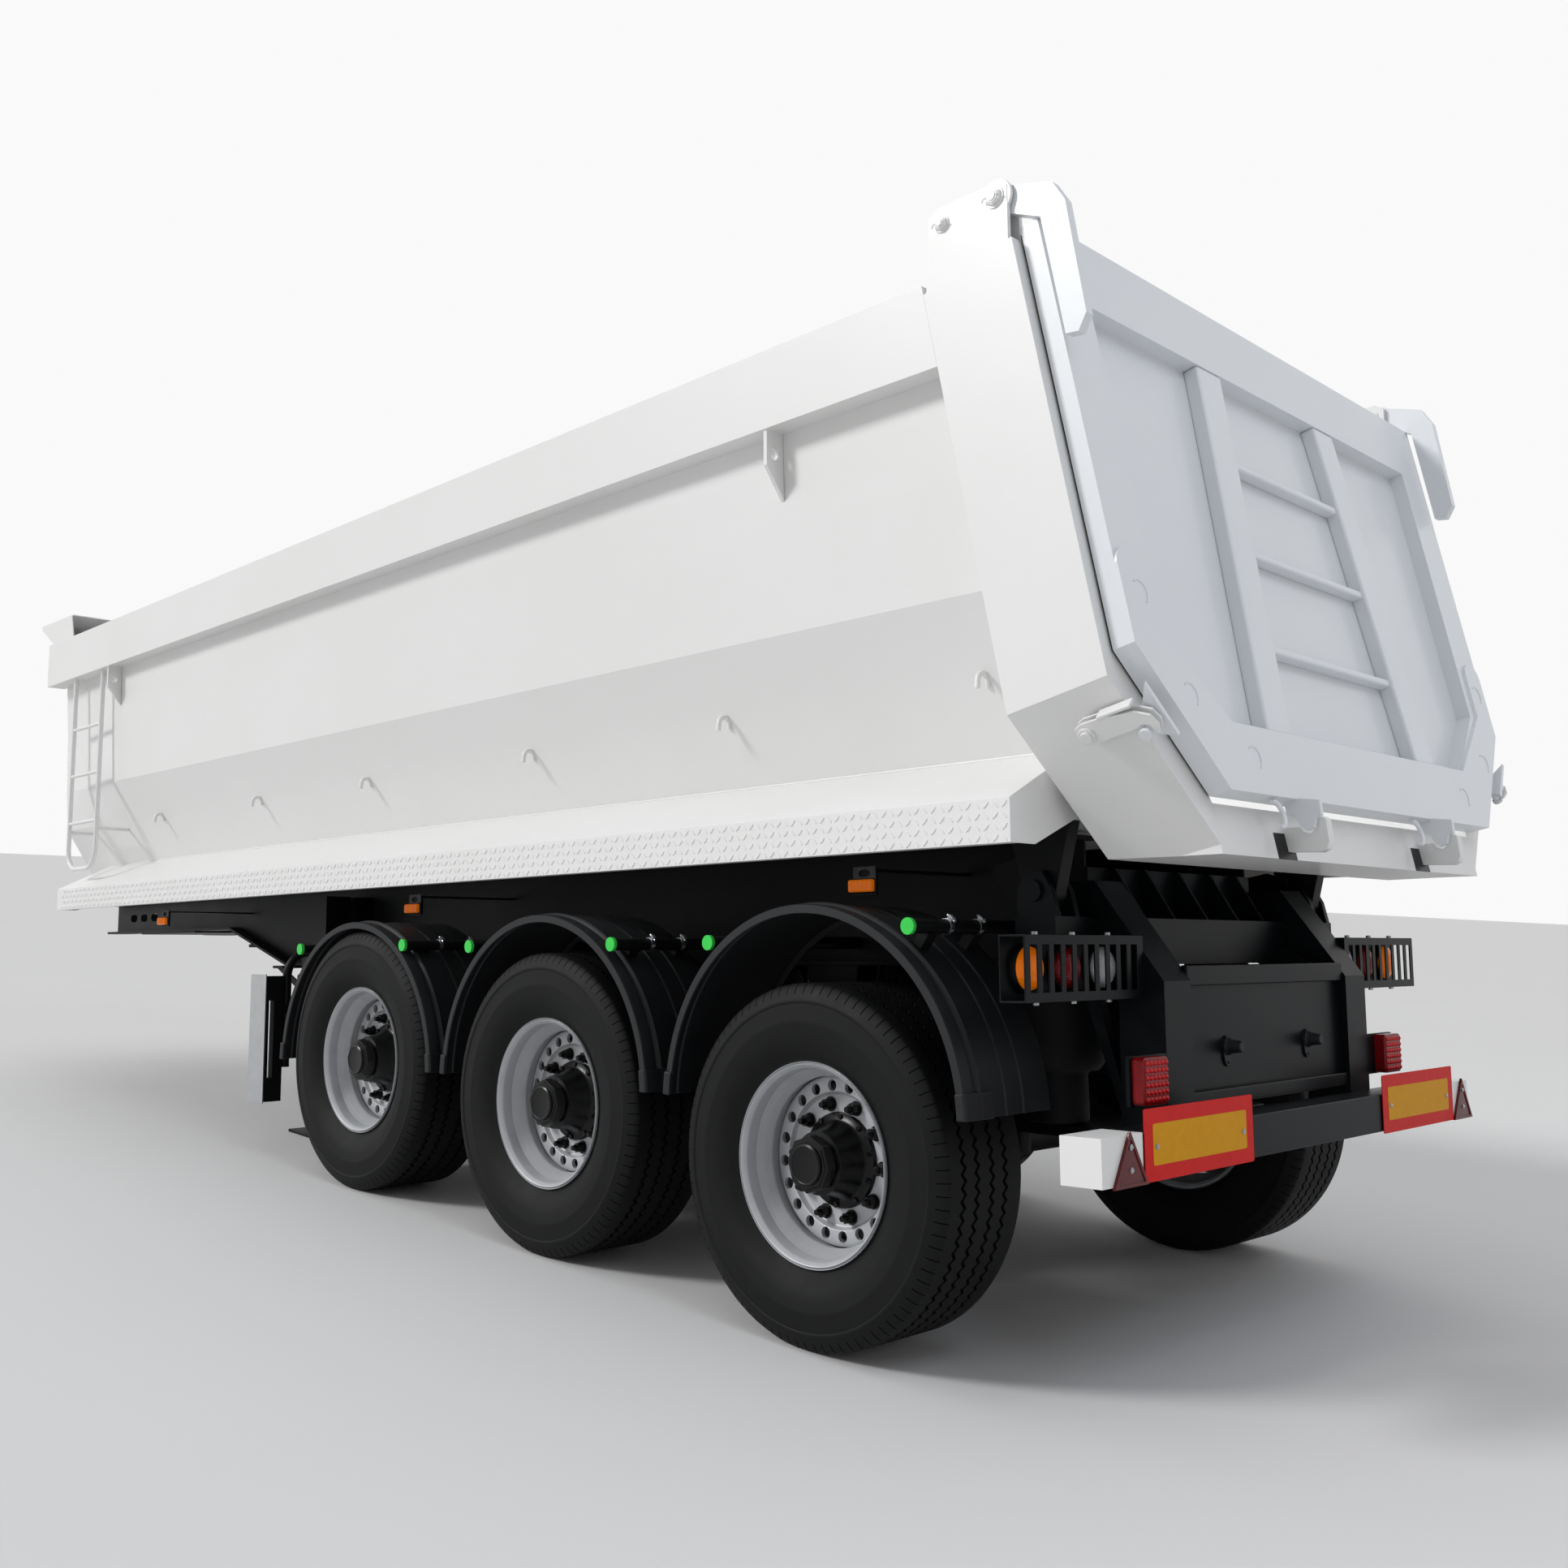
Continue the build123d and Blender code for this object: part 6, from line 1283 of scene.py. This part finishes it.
@dataclass
class RearLamps:
    """Round lamps in their boxes, square lamps, plate lamps and side markers."""

    round_ys: tuple[float, ...] = (770 * MM, 945 * MM, 1120 * MM)
    round_back_x: float = -767 * MM
    round_z: float = 1091 * MM
    box_heights: tuple[float, float] = (1002 * MM, 1180 * MM)
    bolt_x: float = -804 * MM
    square_at: Point = (-910 * MM, 770 * MM, 782 * MM)
    square_half: float = 65 * MM
    square_deep: float = 42 * MM
    beads: int = 6
    plate_at: Point = (-880 * MM, 260 * MM, 850 * MM)
    marker_xs: tuple[float, ...] = (-95 * MM, 2484 * MM, 5044 * MM)
    marker_y: float = 1000 * MM
    marker_z: float = 1340 * MM

    @property
    def rearward(self) -> Matrix:
        """Turns a piece drawn along +Y to face rearwards."""
        return Matrix.Rotation(math.radians(90), 4, "Z")

    def lens(self, name: str) -> bpy.types.Object:
        """A domed round lens with stepped rings, facing +Y."""
        profile = [(0, 41 * MM), (18 * MM, 40.2 * MM), (19 * MM, 38.8 * MM), (34 * MM, 37 * MM), (35 * MM, 35.6 * MM),
                   (48 * MM, 31.5 * MM), (49 * MM, 29.5 * MM), (57 * MM, 24 * MM), (59 * MM, 18 * MM),
                   (59 * MM, 5 * MM), (0, 5 * MM)]
        return Bench.smooth(Bench.lathe(name, profile, 48, closed=False), 50)

    def rim(self) -> bpy.types.Object:
        """The black rubber rim behind a round lens, facing +Y."""
        profile = [(58.5 * MM, 0.5 * MM), (66 * MM, 0.5 * MM), (66 * MM, 12 * MM), (64 * MM, 17 * MM),
                   (60 * MM, 18 * MM), (59.5 * MM, 8 * MM)]
        return Bench.smooth(Bench.lathe("lamp_rims", profile, 48), 40)

    def round_lamps(self) -> None:
        """White, red and amber lamps from the inside out, with their rims and bolts."""
        colours = ((PALETTE.clear_lens, "white_paint"), (PALETTE.red_lens, "red_lens"),
                   (PALETTE.amber_lens, "amber_lens"))
        places = []
        for y, (finish, slot), name in zip(self.round_ys, colours, ("white_lamps", "red_lamps", "amber_lamps")):
            place = Matrix.Translation((self.round_back_x, y, self.round_z)) @ self.rearward
            places.append(place)
            made = Bench.twins(Bench.place(self.lens(name), place))
            nodes = ["round_lamps"] if slot == "red_lens" else []
            dress(Bench.place(made, STANCE.chassis), finish, Body.CHASSIS.value, slot, *nodes)
        made = Bench.twins(Bench.copies(self.rim(), places))
        dress(Bench.place(made, STANCE.chassis), PALETTE.rubber, Body.CHASSIS.value, "rubber")
        low, high = self.box_heights
        bolt = Bench.drum("lamp_bolts", 9 * MM, ((0, 0, low - 9 * MM), (0, 0, low + 1 * MM)), 6)
        Bench.soften(bolt, 1.2 * MM)
        flip = Matrix.Translation((0, 0, low + high)) @ Matrix.Rotation(math.pi, 4, "X")
        row = [Matrix.Translation((self.bolt_x, y, 0)) for y in self.round_ys]
        bolts = Bench.twins(Bench.copies(bolt, row + [place @ flip for place in row]))
        dress(Bench.place(bolts, STANCE.chassis), PALETTE.zinc, Body.CHASSIS.value, "aluminium")

    def square_lamps(self) -> None:
        """Square lamps: a rounded red lens over a grid of bright beads."""
        half, deep = self.square_half, self.square_deep
        shell = Bench.block("square_lenses", (-half, 0, -half), (half, deep - 6 * MM, half))
        Bench.edit(shell, "EDGE")
        Bench.pick(shell, lambda edge: abs(edge.verts[0].co.y - edge.verts[1].co.y) > MM, "edges")
        bpy.ops.mesh.bevel(offset=14 * MM, segments=4, affect="EDGES")
        bpy.ops.mesh.select_mode(type="FACE")
        bpy.ops.mesh.select_all(action="DESELECT")
        Bench.pick(shell, lambda face: face.normal.y > 0.9)
        bpy.ops.mesh.inset(thickness=7 * MM)
        bpy.ops.mesh.extrude_region_move(TRANSFORM_OT_translate={"value": (0, 4 * MM, 0)})
        Bench.close()
        Bench.soften(shell, 2.5 * MM, 2, 40)
        pitch = 2 * (half - 16 * MM) / (self.beads - 1)
        bead = Bench.lathe("bead", [(0, 6 * MM), (4 * MM, 5 * MM), (7 * MM, 2.5 * MM), (8 * MM, 0), (0, -1 * MM)], 10,
                           closed=False)
        first = -half + 16 * MM
        spots = [(first + i * pitch, first + j * pitch) for i in range(self.beads) for j in range(self.beads)]
        bead.name = "square_lamp_domes"
        domes = Bench.copies(bead, [Matrix.Translation((x, deep - 2.5 * MM, z)) for x, z in spots])
        place = Matrix.Translation(self.square_at) @ self.rearward
        for piece, finish, nodes in ((shell, PALETTE.red_lens, ["square_lamps"]), (domes, PALETTE.red_beads, [])):
            made = Bench.twins(Bench.place(Bench.smooth(piece, 35), place))
            dress(Bench.place(made, STANCE.chassis), finish, Body.CHASSIS.value, "red_lens", *nodes)

    def plate_lamps(self) -> None:
        """Cone-shaped plate lamps on oval feet."""
        cone = Bench.lathe("plate_lamp_cones", [
            (0, 54 * MM), (13 * MM, 54 * MM), (17 * MM, 50 * MM), (21 * MM, 20 * MM), (25 * MM, 12 * MM),
            (27 * MM, 10 * MM), (27 * MM, -1 * MM), (0, -1 * MM)], 32, closed=False)
        foot = Bench.drum("foot", 34 * MM, ((0, 0, -14 * MM), (0, 7 * MM, -14 * MM)), 28)
        Bench.edit(foot)
        bpy.ops.mesh.select_all(action="SELECT")
        bpy.ops.transform.resize(value=(0.72, 1, 1.35), center_override=(0, 0, -14 * MM))
        Bench.close()
        Bench.soften(foot, 2 * MM)
        screw = Bench.drum("screw", 5 * MM, ((0, 6 * MM, -48 * MM), (0, 10 * MM, -48 * MM)), 10, 3.5 * MM)
        lamp = Bench.smooth(Bench.join("plate_lamp_cones", [cone, foot, screw]), 40)
        place = Matrix.Translation(self.plate_at) @ self.rearward
        made = Bench.twins(Bench.place(lamp, place))
        dress(Bench.place(made, STANCE.chassis), PALETTE.plastic, Body.CHASSIS.value, "black_plastic", "plate_lamps")

    def markers(self) -> None:
        """Amber side markers with a ribbed lens on a black base, under slotted hangers."""
        half, tall, deep = 52 * MM, 22 * MM, 28 * MM
        lens = Bench.block("marker_lenses", (-half + 3 * MM, 9 * MM, -tall + 3 * MM),
                           (half - 3 * MM, deep, tall - 3 * MM))
        Bench.soften(lens, 6 * MM, 4, 40)
        rib = Bench.block("rib", (-1.6 * MM, deep - 2 * MM, -tall + 9 * MM), (1.6 * MM, deep + 1.2 * MM, tall - 9 * MM))
        Bench.soften(rib, 1 * MM)
        ribs = Bench.copies(rib, [Matrix.Translation((i * 8 * MM, 0, 0)) for i in range(-4, 5)])
        lens = Bench.smooth(Bench.join("marker_lenses", [lens, ribs]), 40)
        base = Bench.block("marker_bases", (-half, 0.2 * MM, -tall), (half, 10 * MM, tall))
        Bench.smooth(Bench.soften(base, 3 * MM, 3), 40)
        hanger = Bench.block("marker_hangers", (-46 * MM, 0.2 * MM, tall - 4 * MM), (46 * MM, 4 * MM, tall + 38 * MM))
        slot = Bench.drum("slot", 11 * MM, ((0, -0.05, tall + 17 * MM), (0, 0.05, tall + 17 * MM)))
        Bench.edit(slot)
        bpy.ops.mesh.select_all(action="SELECT")
        bpy.ops.transform.resize(value=(2.1, 1, 1))
        Bench.close()
        Bench.soften(Bench.cut(hanger, slot), 1.2 * MM)
        rows = [Matrix.Translation((x, self.marker_y, self.marker_z)) for x in self.marker_xs]
        for master, finish, slot, nodes in ((lens, PALETTE.amber_lens, "amber_lens", ["marker_lamps"]),
                                            (Bench.smooth(hanger), PALETTE.forged, "forged_steel", []),
                                            (base, PALETTE.plastic, "black_plastic", [])):
            made = Bench.twins(Bench.copies(master, rows))
            dress(Bench.place(made, STANCE.chassis), finish, Body.CHASSIS.value, slot, *nodes)

    def build(self) -> None:
        """Fit all the lamps."""
        self.round_lamps()
        self.square_lamps()
        self.plate_lamps()
        self.markers()


@dataclass
class BumperTrim:
    """White end caps, red triangles and red-bordered yellow plates on the bumper."""

    rear_x: float = -1031 * MM
    end_y: float = 1178 * MM
    heights: tuple[float, float] = (547 * MM, 667 * MM)
    depth: float = 120 * MM
    cap_width: float = 190 * MM
    plate_ys: tuple[float, float] = (697 * MM, -750 * MM)
    plate_size: tuple[float, float] = (575 * MM, 187 * MM)
    plate_z: float = 634 * MM
    border: float = 40 * MM
    triangle_ys: tuple[float, float] = (1058 * MM, -1116 * MM)
    triangle_size: tuple[float, float] = (160 * MM, 140 * MM)
    sheet: float = 3 * MM

    def caps(self) -> bpy.types.Object:
        """White sheet folded round the left end of the bumper, open towards the middle."""
        low, high = self.heights
        skin = 2.5 * MM
        cap = Bench.block("bumper_caps", (self.rear_x - skin, self.end_y - self.cap_width, low - skin),
                          (self.rear_x + self.depth + skin, self.end_y + skin, high + skin))
        Bench.edit(cap)
        Bench.pick(cap, lambda face: face.normal.y < -0.9)
        bpy.ops.mesh.inset(thickness=skin - 0.4 * MM)
        bpy.ops.mesh.extrude_region_move(TRANSFORM_OT_translate={"value": (0, self.cap_width + 0.4 * MM, 0)})
        Bench.close()
        return Bench.smooth(Bench.soften(cap, 1.2 * MM), 35)

    def panel(self, name: str, size: tuple[float, float], thick: tuple[float, float]) -> bpy.types.Object:
        """An upright plate with rounded corners, facing rearwards about the origin.

        Args:
            name: Name of the plate.
            size: Width and height.
            thick: X of its rear and front faces.

        Returns:
            The new object.
        """
        wide, tall = size[0] / 2, size[1] / 2
        made = Bench.block(name, (thick[0], -wide, -tall), (thick[1], wide, tall))
        Bench.edit(made, "EDGE")
        Bench.pick(made, lambda edge: abs(edge.verts[0].co.x - edge.verts[1].co.x) > 0.5 * MM, "edges")
        bpy.ops.mesh.bevel(offset=7 * MM, segments=4, affect="EDGES")
        Bench.close()
        return Bench.smooth(Bench.soften(made, 0.6 * MM, 2, 50), 40)

    def triangle(self) -> bpy.types.Object:
        """A moulded red triangle with a raised rim and a ridge, about its foot's middle."""
        wide, tall = self.triangle_size[0] / 2, self.triangle_size[1]
        made = Bench.plate("triangles", [(0, wide, 0), (0, 0, tall), (0, -wide, 0)], (-9 * MM, 0, 0))
        Bench.edit(made)
        Bench.pick(made, lambda face: face.normal.x < -0.9)
        bpy.ops.mesh.inset(thickness=9 * MM)
        bpy.ops.mesh.extrude_region_move(TRANSFORM_OT_translate={"value": (3.5 * MM, 0, 0)})
        bpy.ops.mesh.poke(offset=3 * MM)
        Bench.close()
        return Bench.smooth(Bench.soften(made, 1 * MM, 2, 40), 20)

    def screw(self) -> bpy.types.Object:
        """A zinc screw head with its washer, facing rearwards."""
        head = Bench.drum("plate_screws", 8 * MM, ((0.5 * MM, 0, 0), (-2 * MM, 0, 0)), 16)
        dome = Bench.drum("dome", 5.5 * MM, ((-1.5 * MM, 0, 0), (-6 * MM, 0, 0)), 12, 3 * MM)
        for piece in (head, dome):
            Bench.soften(piece, 0.7 * MM)
        return Bench.smooth(Bench.join("plate_screws", [head, dome]), 40)

    def build(self) -> None:
        """Cap the ends and hang the plates and triangles."""
        body = Body.CHASSIS.value
        dress(Bench.place(Bench.twins(self.caps()), STANCE.chassis), PALETTE.white, body, "white_paint")
        face = self.rear_x - self.sheet
        middles = [Matrix.Translation((face, y, self.plate_z)) for y in self.plate_ys]
        red = Bench.copies(self.panel("plate_borders", self.plate_size, (-self.sheet, 0)), middles)
        dress(Bench.place(red, STANCE.chassis), PALETTE.red_sheet, body, "red_lens")
        inner = tuple(length - 2 * self.border for length in self.plate_size)
        layer = (-self.sheet - 1 * MM, -self.sheet + 0.5 * MM)
        yellow = Bench.copies(self.panel("plate_fields", inner, layer), middles)
        dress(Bench.place(yellow, STANCE.chassis), PALETTE.yellow_sheet, body, "amber_lens")
        feet = [Matrix.Translation((face, y, self.heights[0] - 8 * MM)) for y in self.triangle_ys]
        dress(Bench.place(Bench.copies(self.triangle(), feet), STANCE.chassis), PALETTE.deep_red, body, "red_lens")
        spots = []
        for y in self.plate_ys:
            for side in (-1, 1):
                at = (face - self.sheet - 1 * MM, y + side * (inner[0] / 2 - 18 * MM), self.plate_z - 6 * MM)
                spots.append(Matrix.Translation(at))
        for y in self.triangle_ys:
            for up in (34 * MM, 92 * MM):
                spots.append(Matrix.Translation((face - 8 * MM, y, self.heights[0] + up)))
        dress(Bench.place(Bench.copies(self.screw(), spots), STANCE.chassis), PALETTE.zinc, body, "aluminium")


@dataclass
class RearFrameTrim:
    """Folded rails on the panel between the rear posts, and stays beside the tipping pins."""

    panel_x: float = -880 * MM
    half: float = 507 * MM
    rails: tuple[tuple[float, float, float], ...] = ((686 * MM, 730 * MM, 24 * MM), (1034 * MM, 1094 * MM, 20 * MM))
    stay_y: float = 745 * MM
    stay: tuple[tuple[float, float], ...] = (
        (-0.600, 1.200), (-0.600, 1.395), (-0.520, 1.420), (-0.405, 1.400), (-0.395, 1.360), (-0.540, 1.200))

    def build(self) -> None:
        """Fold the rails and set both stays."""
        pieces = []
        for low, high, proud in self.rails:
            rail = Bench.block("panel_rails", (self.panel_x - proud, -self.half, low),
                               (self.panel_x + 2 * MM, self.half, high))
            pieces.append(Bench.soften(rail, 5 * MM, 3))
        rails = Bench.smooth(Bench.join("panel_rails", pieces), 40)
        dress(Bench.place(rails, STANCE.chassis), PALETTE.slate, Body.CHASSIS.value, "slate_paint")
        # The stays are dark chassis-painted plates that also stand in for the shade under the lower edge of the sill.
        stay = Bench.plate("pin_stays", [(x, self.stay_y, z) for x, z in self.stay], (0, 12 * MM, 0))
        stays = Bench.twins(Bench.soften(stay, 2 * MM))
        dress(Bench.place(stays, STANCE.chassis), PALETTE.chassis, Body.CHASSIS.value, "chassis_paint")


@dataclass
class Underbody:
    """Air bellows, shock absorbers, brake chambers, hoist rings and the leg crank."""

    # Axle middles: (chassis x, chassis z).
    axles: tuple[tuple[float, float], ...] = ((-0.0381, 0.5186), (1.2684, 0.6145), (2.5749, 0.7105))
    beam_y: float = 500 * MM
    beam_bottom: float = 1095 * MM
    spring_reach: float = 400 * MM
    hoist_foot: Point = (6.560, 0.0, 1.345)
    hoist_tilt_deg: float = 1.4456
    hoist_radius: float = 106 * MM
    hoist_step: float = 13 * MM
    hoist_mouth: float = 1385.5 * MM
    hoist_collar: float = 22 * MM
    leg: tuple[float, float] = (3.800, 0.805)

    @property
    def upright(self) -> Matrix:
        """Turns a piece spun about Y to stand along +Z."""
        return Matrix.Rotation(math.radians(90), 4, "X")

    def bellows(self, foot: float) -> bpy.types.Object:
        """A rolling-lobe bellows on its piston, up to the beam.

        Args:
            foot: Height of the piston's foot.

        Returns:
            The bellows, standing about the origin.
        """
        top = self.beam_bottom
        tall = top - foot
        profile = [
            (0, 0), (88 * MM, 0), (94 * MM, 6 * MM), (92 * MM, 0.30 * tall), (104 * MM, 0.34 * tall),
            (128 * MM, 0.33 * tall), (146 * MM, 0.38 * tall), (152 * MM, 0.48 * tall), (153 * MM, 0.70 * tall),
            (150 * MM, 0.86 * tall), (136 * MM, 0.955 * tall), (112 * MM, tall - 7 * MM), (110 * MM, tall - 1 * MM),
            (0, tall - 1 * MM),
        ]
        made = Bench.lathe("air_bellows", profile, 48, closed=False)
        return Bench.place(made, Matrix.Translation((0, 0, foot)) @ self.upright)

    def suspension(self) -> None:
        """Bellows behind each axle, shock absorbers and brake chambers."""
        bellows, dampers, chambers = [], [], []
        for x, z in self.axles:
            spring = self.bellows(z + 0.099)
            bellows.append(Bench.place(spring, Matrix.Translation((x - self.spring_reach, self.beam_y, 0))))
            low, high = Vector((x - 0.17, 0.395, z - 0.02)), Vector((x - 0.28, 0.395, self.beam_bottom + 0.03))
            middle = low.lerp(high, 0.52)
            tube = Bench.drum("damper", 36 * MM, (tuple(low), tuple(middle)), 24)
            rod = Bench.drum("rod", 30 * MM, (tuple(middle), tuple(high)), 24)
            eyes = [Bench.drum("eye", 26 * MM, ((p.x, p.y - 34 * MM, p.z), (p.x, p.y + 34 * MM, p.z)), 20)
                    for p in (low, high)]
            for piece in (tube, rod, *eyes):
                Bench.soften(piece, 4 * MM)
            dampers.append(Bench.join("damper", [tube, rod, *eyes]))
            pot = Bench.lathe("brake_chambers", [
                (0, 0), (60 * MM, 0), (76 * MM, 10 * MM), (82 * MM, 46 * MM), (92 * MM, 50 * MM), (92 * MM, 60 * MM),
                (82 * MM, 64 * MM), (82 * MM, 130 * MM), (70 * MM, 158 * MM), (30 * MM, 166 * MM), (0, 166 * MM)], 32,
                closed=False)
            forward = Matrix.Translation((x + 0.11, 0.285, z + 0.05)) @ Matrix.Rotation(math.radians(-90), 4, "Z")
            push = Bench.drum("push", 14 * MM, ((x + 0.02, 0.285, z + 0.05), (x + 0.115, 0.285, z + 0.05)), 12)
            corners = ((-0.01, -0.05), (0.03, 0.085), (0.12, 0.085), (0.12, 0.015))
            ear = Bench.plate("ear", [(x + along, 0.274, z + up) for along, up in corners], (0, 22 * MM, 0))
            Bench.soften(ear, 3 * MM)
            chambers.append(Bench.join("brake_chambers", [Bench.place(pot, forward), push, ear]))
        rows = (
            (bellows, "air_bellows", PALETTE.rubber, "rubber", ["air_springs"]),
            (dampers, "shock_absorbers", PALETTE.chassis, "chassis_paint", []),
            (chambers, "brake_chambers", PALETTE.chassis, "chassis_paint", []),
        )
        for pieces, name, finish, slot, nodes in rows:
            made = Bench.smooth(Bench.twins(Bench.join(name, pieces)), 35)
            dress(Bench.place(made, STANCE.chassis), finish, Body.CHASSIS.value, slot, *nodes)

    def hoist_rings(self) -> None:
        """Wiper rings at the mouth of the hoist's tube and of its stages."""
        lean = Matrix.Translation(self.hoist_foot) @ Matrix.Rotation(-math.radians(self.hoist_tilt_deg), 4, "Y")
        for stage in range(4):
            radius = self.hoist_radius - stage * self.hoist_step
            mouth = self.hoist_mouth + stage * self.hoist_collar
            ring = Bench.lathe(f"wiper_ring_{stage}", [
                (radius + 0.4 * MM, -16 * MM), (radius + 3.5 * MM, -15 * MM), (radius + 4.5 * MM, -3 * MM),
                (radius + 1.5 * MM, 1.5 * MM), (radius - 11.4 * MM, 1.5 * MM), (radius - 11.4 * MM, 0.3 * MM),
                (radius + 0.4 * MM, 0.3 * MM)], 56)
            Bench.smooth(ring, 35)
            body = "hoist_tube" if stage == 0 else f"hoist_stage_{stage}"
            dress(Bench.place(ring, STANCE.chassis @ lean @ self.upright), PALETTE.hub, body, "chassis_paint")

    def crank(self) -> None:
        """The crank handle of the landing legs, folded down on the left leg."""
        x, y = self.leg
        line = [(x, y - 0.005, 1.055), (x, y + 0.030, 1.055), (x + 0.004, y + 0.040, 1.045),
                (x + 0.02, y + 0.042, 0.880), (x + 0.022, y + 0.046, 0.868), (x + 0.022, y + 0.120, 0.862)]
        bar = Bench.bar("leg_crank", line, 9 * MM)
        grip = Bench.drum("grip", 14 * MM, ((x + 0.022, y + 0.062, 0.8655), (x + 0.022, y + 0.124, 0.8618)), 16)
        Bench.soften(grip, 3 * MM)
        made = Bench.smooth(Bench.join("leg_crank", [bar, grip]), 45)
        dress(Bench.place(made, STANCE.chassis), PALETTE.chassis, Body.CHASSIS.value, "chassis_paint")

    def build(self) -> None:
        """Fit the suspension, the hoist rings and the crank."""
        self.suspension()
        self.hoist_rings()
        self.crank()


@dataclass
class Studio:
    """Pale floor, soft lights and the camera of the photograph."""

    camera_place: Point = (-3.0745, 4.4298, 1.3659)
    heading: float = -0.7823
    climb: float = 0.0628
    roll: float = 0.0456
    lens_mm: float = 34.354
    sensor_mm: float = 36.0
    floor_size: float = 400.0
    # Light of the backdrop, of the other walls and of the ceiling, and where one gives way to the next.
    backdrop: float = 0.95
    walls: float = 0.45
    ceiling: float = 0.10
    wall_turn: tuple[float, float] = (-0.3, 0.6)
    ceiling_rise: tuple[float, float] = (0.56, 0.9)
    key_from: Point = (0.52, 0.68, 0.52)
    key: float = 1.85
    key_spread_deg: float = 14.0
    top: float = 0.70
    top_spread_deg: float = 60.0
    rear_place: Point = (-12, 2, 12)
    rear_aim: Point = (-3, 0, 1.5)
    rear_size: float = 6.0
    rear_power: float = 340.0

    def camera(self) -> None:
        """Set the camera where the photograph was taken, measured from under the rear axle."""
        ahead = Vector((math.cos(self.heading) * math.cos(self.climb), math.sin(self.heading) * math.cos(self.climb),
                        math.sin(self.climb)))
        right = Vector((math.sin(self.heading), -math.cos(self.heading), 0))
        up = right.cross(ahead)
        turned_right = right * math.cos(self.roll) + up * math.sin(self.roll)
        turned_up = up * math.cos(self.roll) - right * math.sin(self.roll)
        data = bpy.data.cameras.new("camera")
        data.lens = self.lens_mm
        data.sensor_width = self.sensor_mm
        data.sensor_fit = "HORIZONTAL"
        data.clip_end = 500
        made = bpy.data.objects.new("camera", data)
        axes = Matrix((turned_right, turned_up, -ahead)).transposed().to_4x4()
        place = Vector(self.camera_place) + Vector((STANCE.rear_axle_x, 0, 0))
        made.matrix_world = Matrix.Translation(place) @ axes
        bpy.context.scene.collection.objects.link(made)
        bpy.context.scene.camera = made

    def light(self, name: str, place: Point, target: Point, size: float, power: float, colour: str) -> None:
        """Hang one soft lamp.

        Args:
            name: Name of the lamp.
            place: Where it hangs.
            target: What it faces.
            size: Edge of the square lamp.
            power: Watts.
            colour: Tint.
        """
        data = bpy.data.lights.new(name, "AREA")
        data.shape = "SQUARE"
        data.size = size
        data.energy = power
        data.color = linear(colour)[:3]
        made = bpy.data.objects.new(name, data)
        made.location = place
        made.rotation_euler = (Vector(target) - Vector(place)).to_track_quat("-Z", "Y").to_euler()
        bpy.context.scene.collection.objects.link(made)

    def sun(self, name: str, towards: Point, power: float, spread_deg: float) -> None:
        """Hang one far, even lamp.

        Args:
            name: Name of the lamp.
            towards: Direction in which the lamp stands.
            power: Watts per square metre.
            spread_deg: Angle the lamp fills, which softens its shadows.
        """
        data = bpy.data.lights.new(name, "SUN")
        data.energy = power
        data.angle = math.radians(spread_deg)
        made = bpy.data.objects.new(name, data)
        made.rotation_euler = Vector(towards).to_track_quat("Z", "Y").to_euler()
        bpy.context.scene.collection.objects.link(made)

    def floor(self) -> None:
        """Lay a wide pale floor."""
        bpy.ops.object.select_all(action="DESELECT")
        bpy.ops.mesh.primitive_plane_add(size=self.floor_size)
        made = bpy.context.view_layer.objects.active
        made.name = "floor"
        # Matt studio paper, evenly pale.
        paper = Finish("studio_paper", "#D2D2D2", "#CECECE", 2000, 0.3, (0.9, 0.95), 50, 0.0)
        made.data.materials.append(paper.material())

    def build(self) -> None:
        """Set up the floor, the lights, the sky and the camera."""
        self.floor()
        self.sun("key", self.key_from, self.key, self.key_spread_deg)
        self.light("rear", self.rear_place, self.rear_aim, self.rear_size, self.rear_power, "#E6EEFF")
        self.sun("top", (0, 0, 1), self.top, self.top_spread_deg)
        world = bpy.data.worlds.new("studio")
        world.use_nodes = True
        tree = world.node_tree
        tree.nodes.clear()
        # A bright backdrop on the far side, dimmer walls behind and beside, and a dark ceiling.
        ahead = add_node(tree, "ShaderNodeTexCoord").outputs["Generated"]
        level = add_node(tree, "ShaderNodeSeparateXYZ", {}, {0: ahead})
        across = add_node(tree, "ShaderNodeMath", {"operation": "SUBTRACT"},
                          {0: level.outputs["X"], 1: level.outputs["Y"]}).outputs[0]
        turn = {"From Min": self.wall_turn[0], "From Max": self.wall_turn[1], "To Min": self.walls,
                "To Max": self.backdrop}
        wall = add_node(tree, "ShaderNodeMapRange", turn, {"Value": across}).outputs[0]
        rise = {"From Min": self.ceiling_rise[0], "From Max": self.ceiling_rise[1], "To Max": self.ceiling}
        fall = add_node(tree, "ShaderNodeMapRange", rise, {"Value": level.outputs["Z"], "To Min": wall}).outputs[0]
        sky = add_node(tree, "ShaderNodeBackground", {"Color": linear("#FFFFFF")}, {"Strength": fall}).outputs[0]
        add_node(tree, "ShaderNodeOutputWorld", {}, {"Surface": sky})
        bpy.context.scene.world = world
        bpy.context.scene.view_settings.view_transform = "Standard"
        self.camera()


def main() -> None:
    """Build the trailer's pieces in order."""
    logging.basicConfig(level=logging.INFO, format="%(name)s %(message)s")
    bpy.ops.object.select_all(action="DESELECT")
    assemblies = (Solids(), Wheels(), Mudguards(), RearLamps(), BumperTrim(), RearFrameTrim(), ChequerPlate(),
                  Visor(), RopeHooks(), HingeHardware(), TailgateTrim(), Underbody(), Studio())
    for assembly in assemblies:
        assembly.build()


if __name__ == "__main__":
    main()
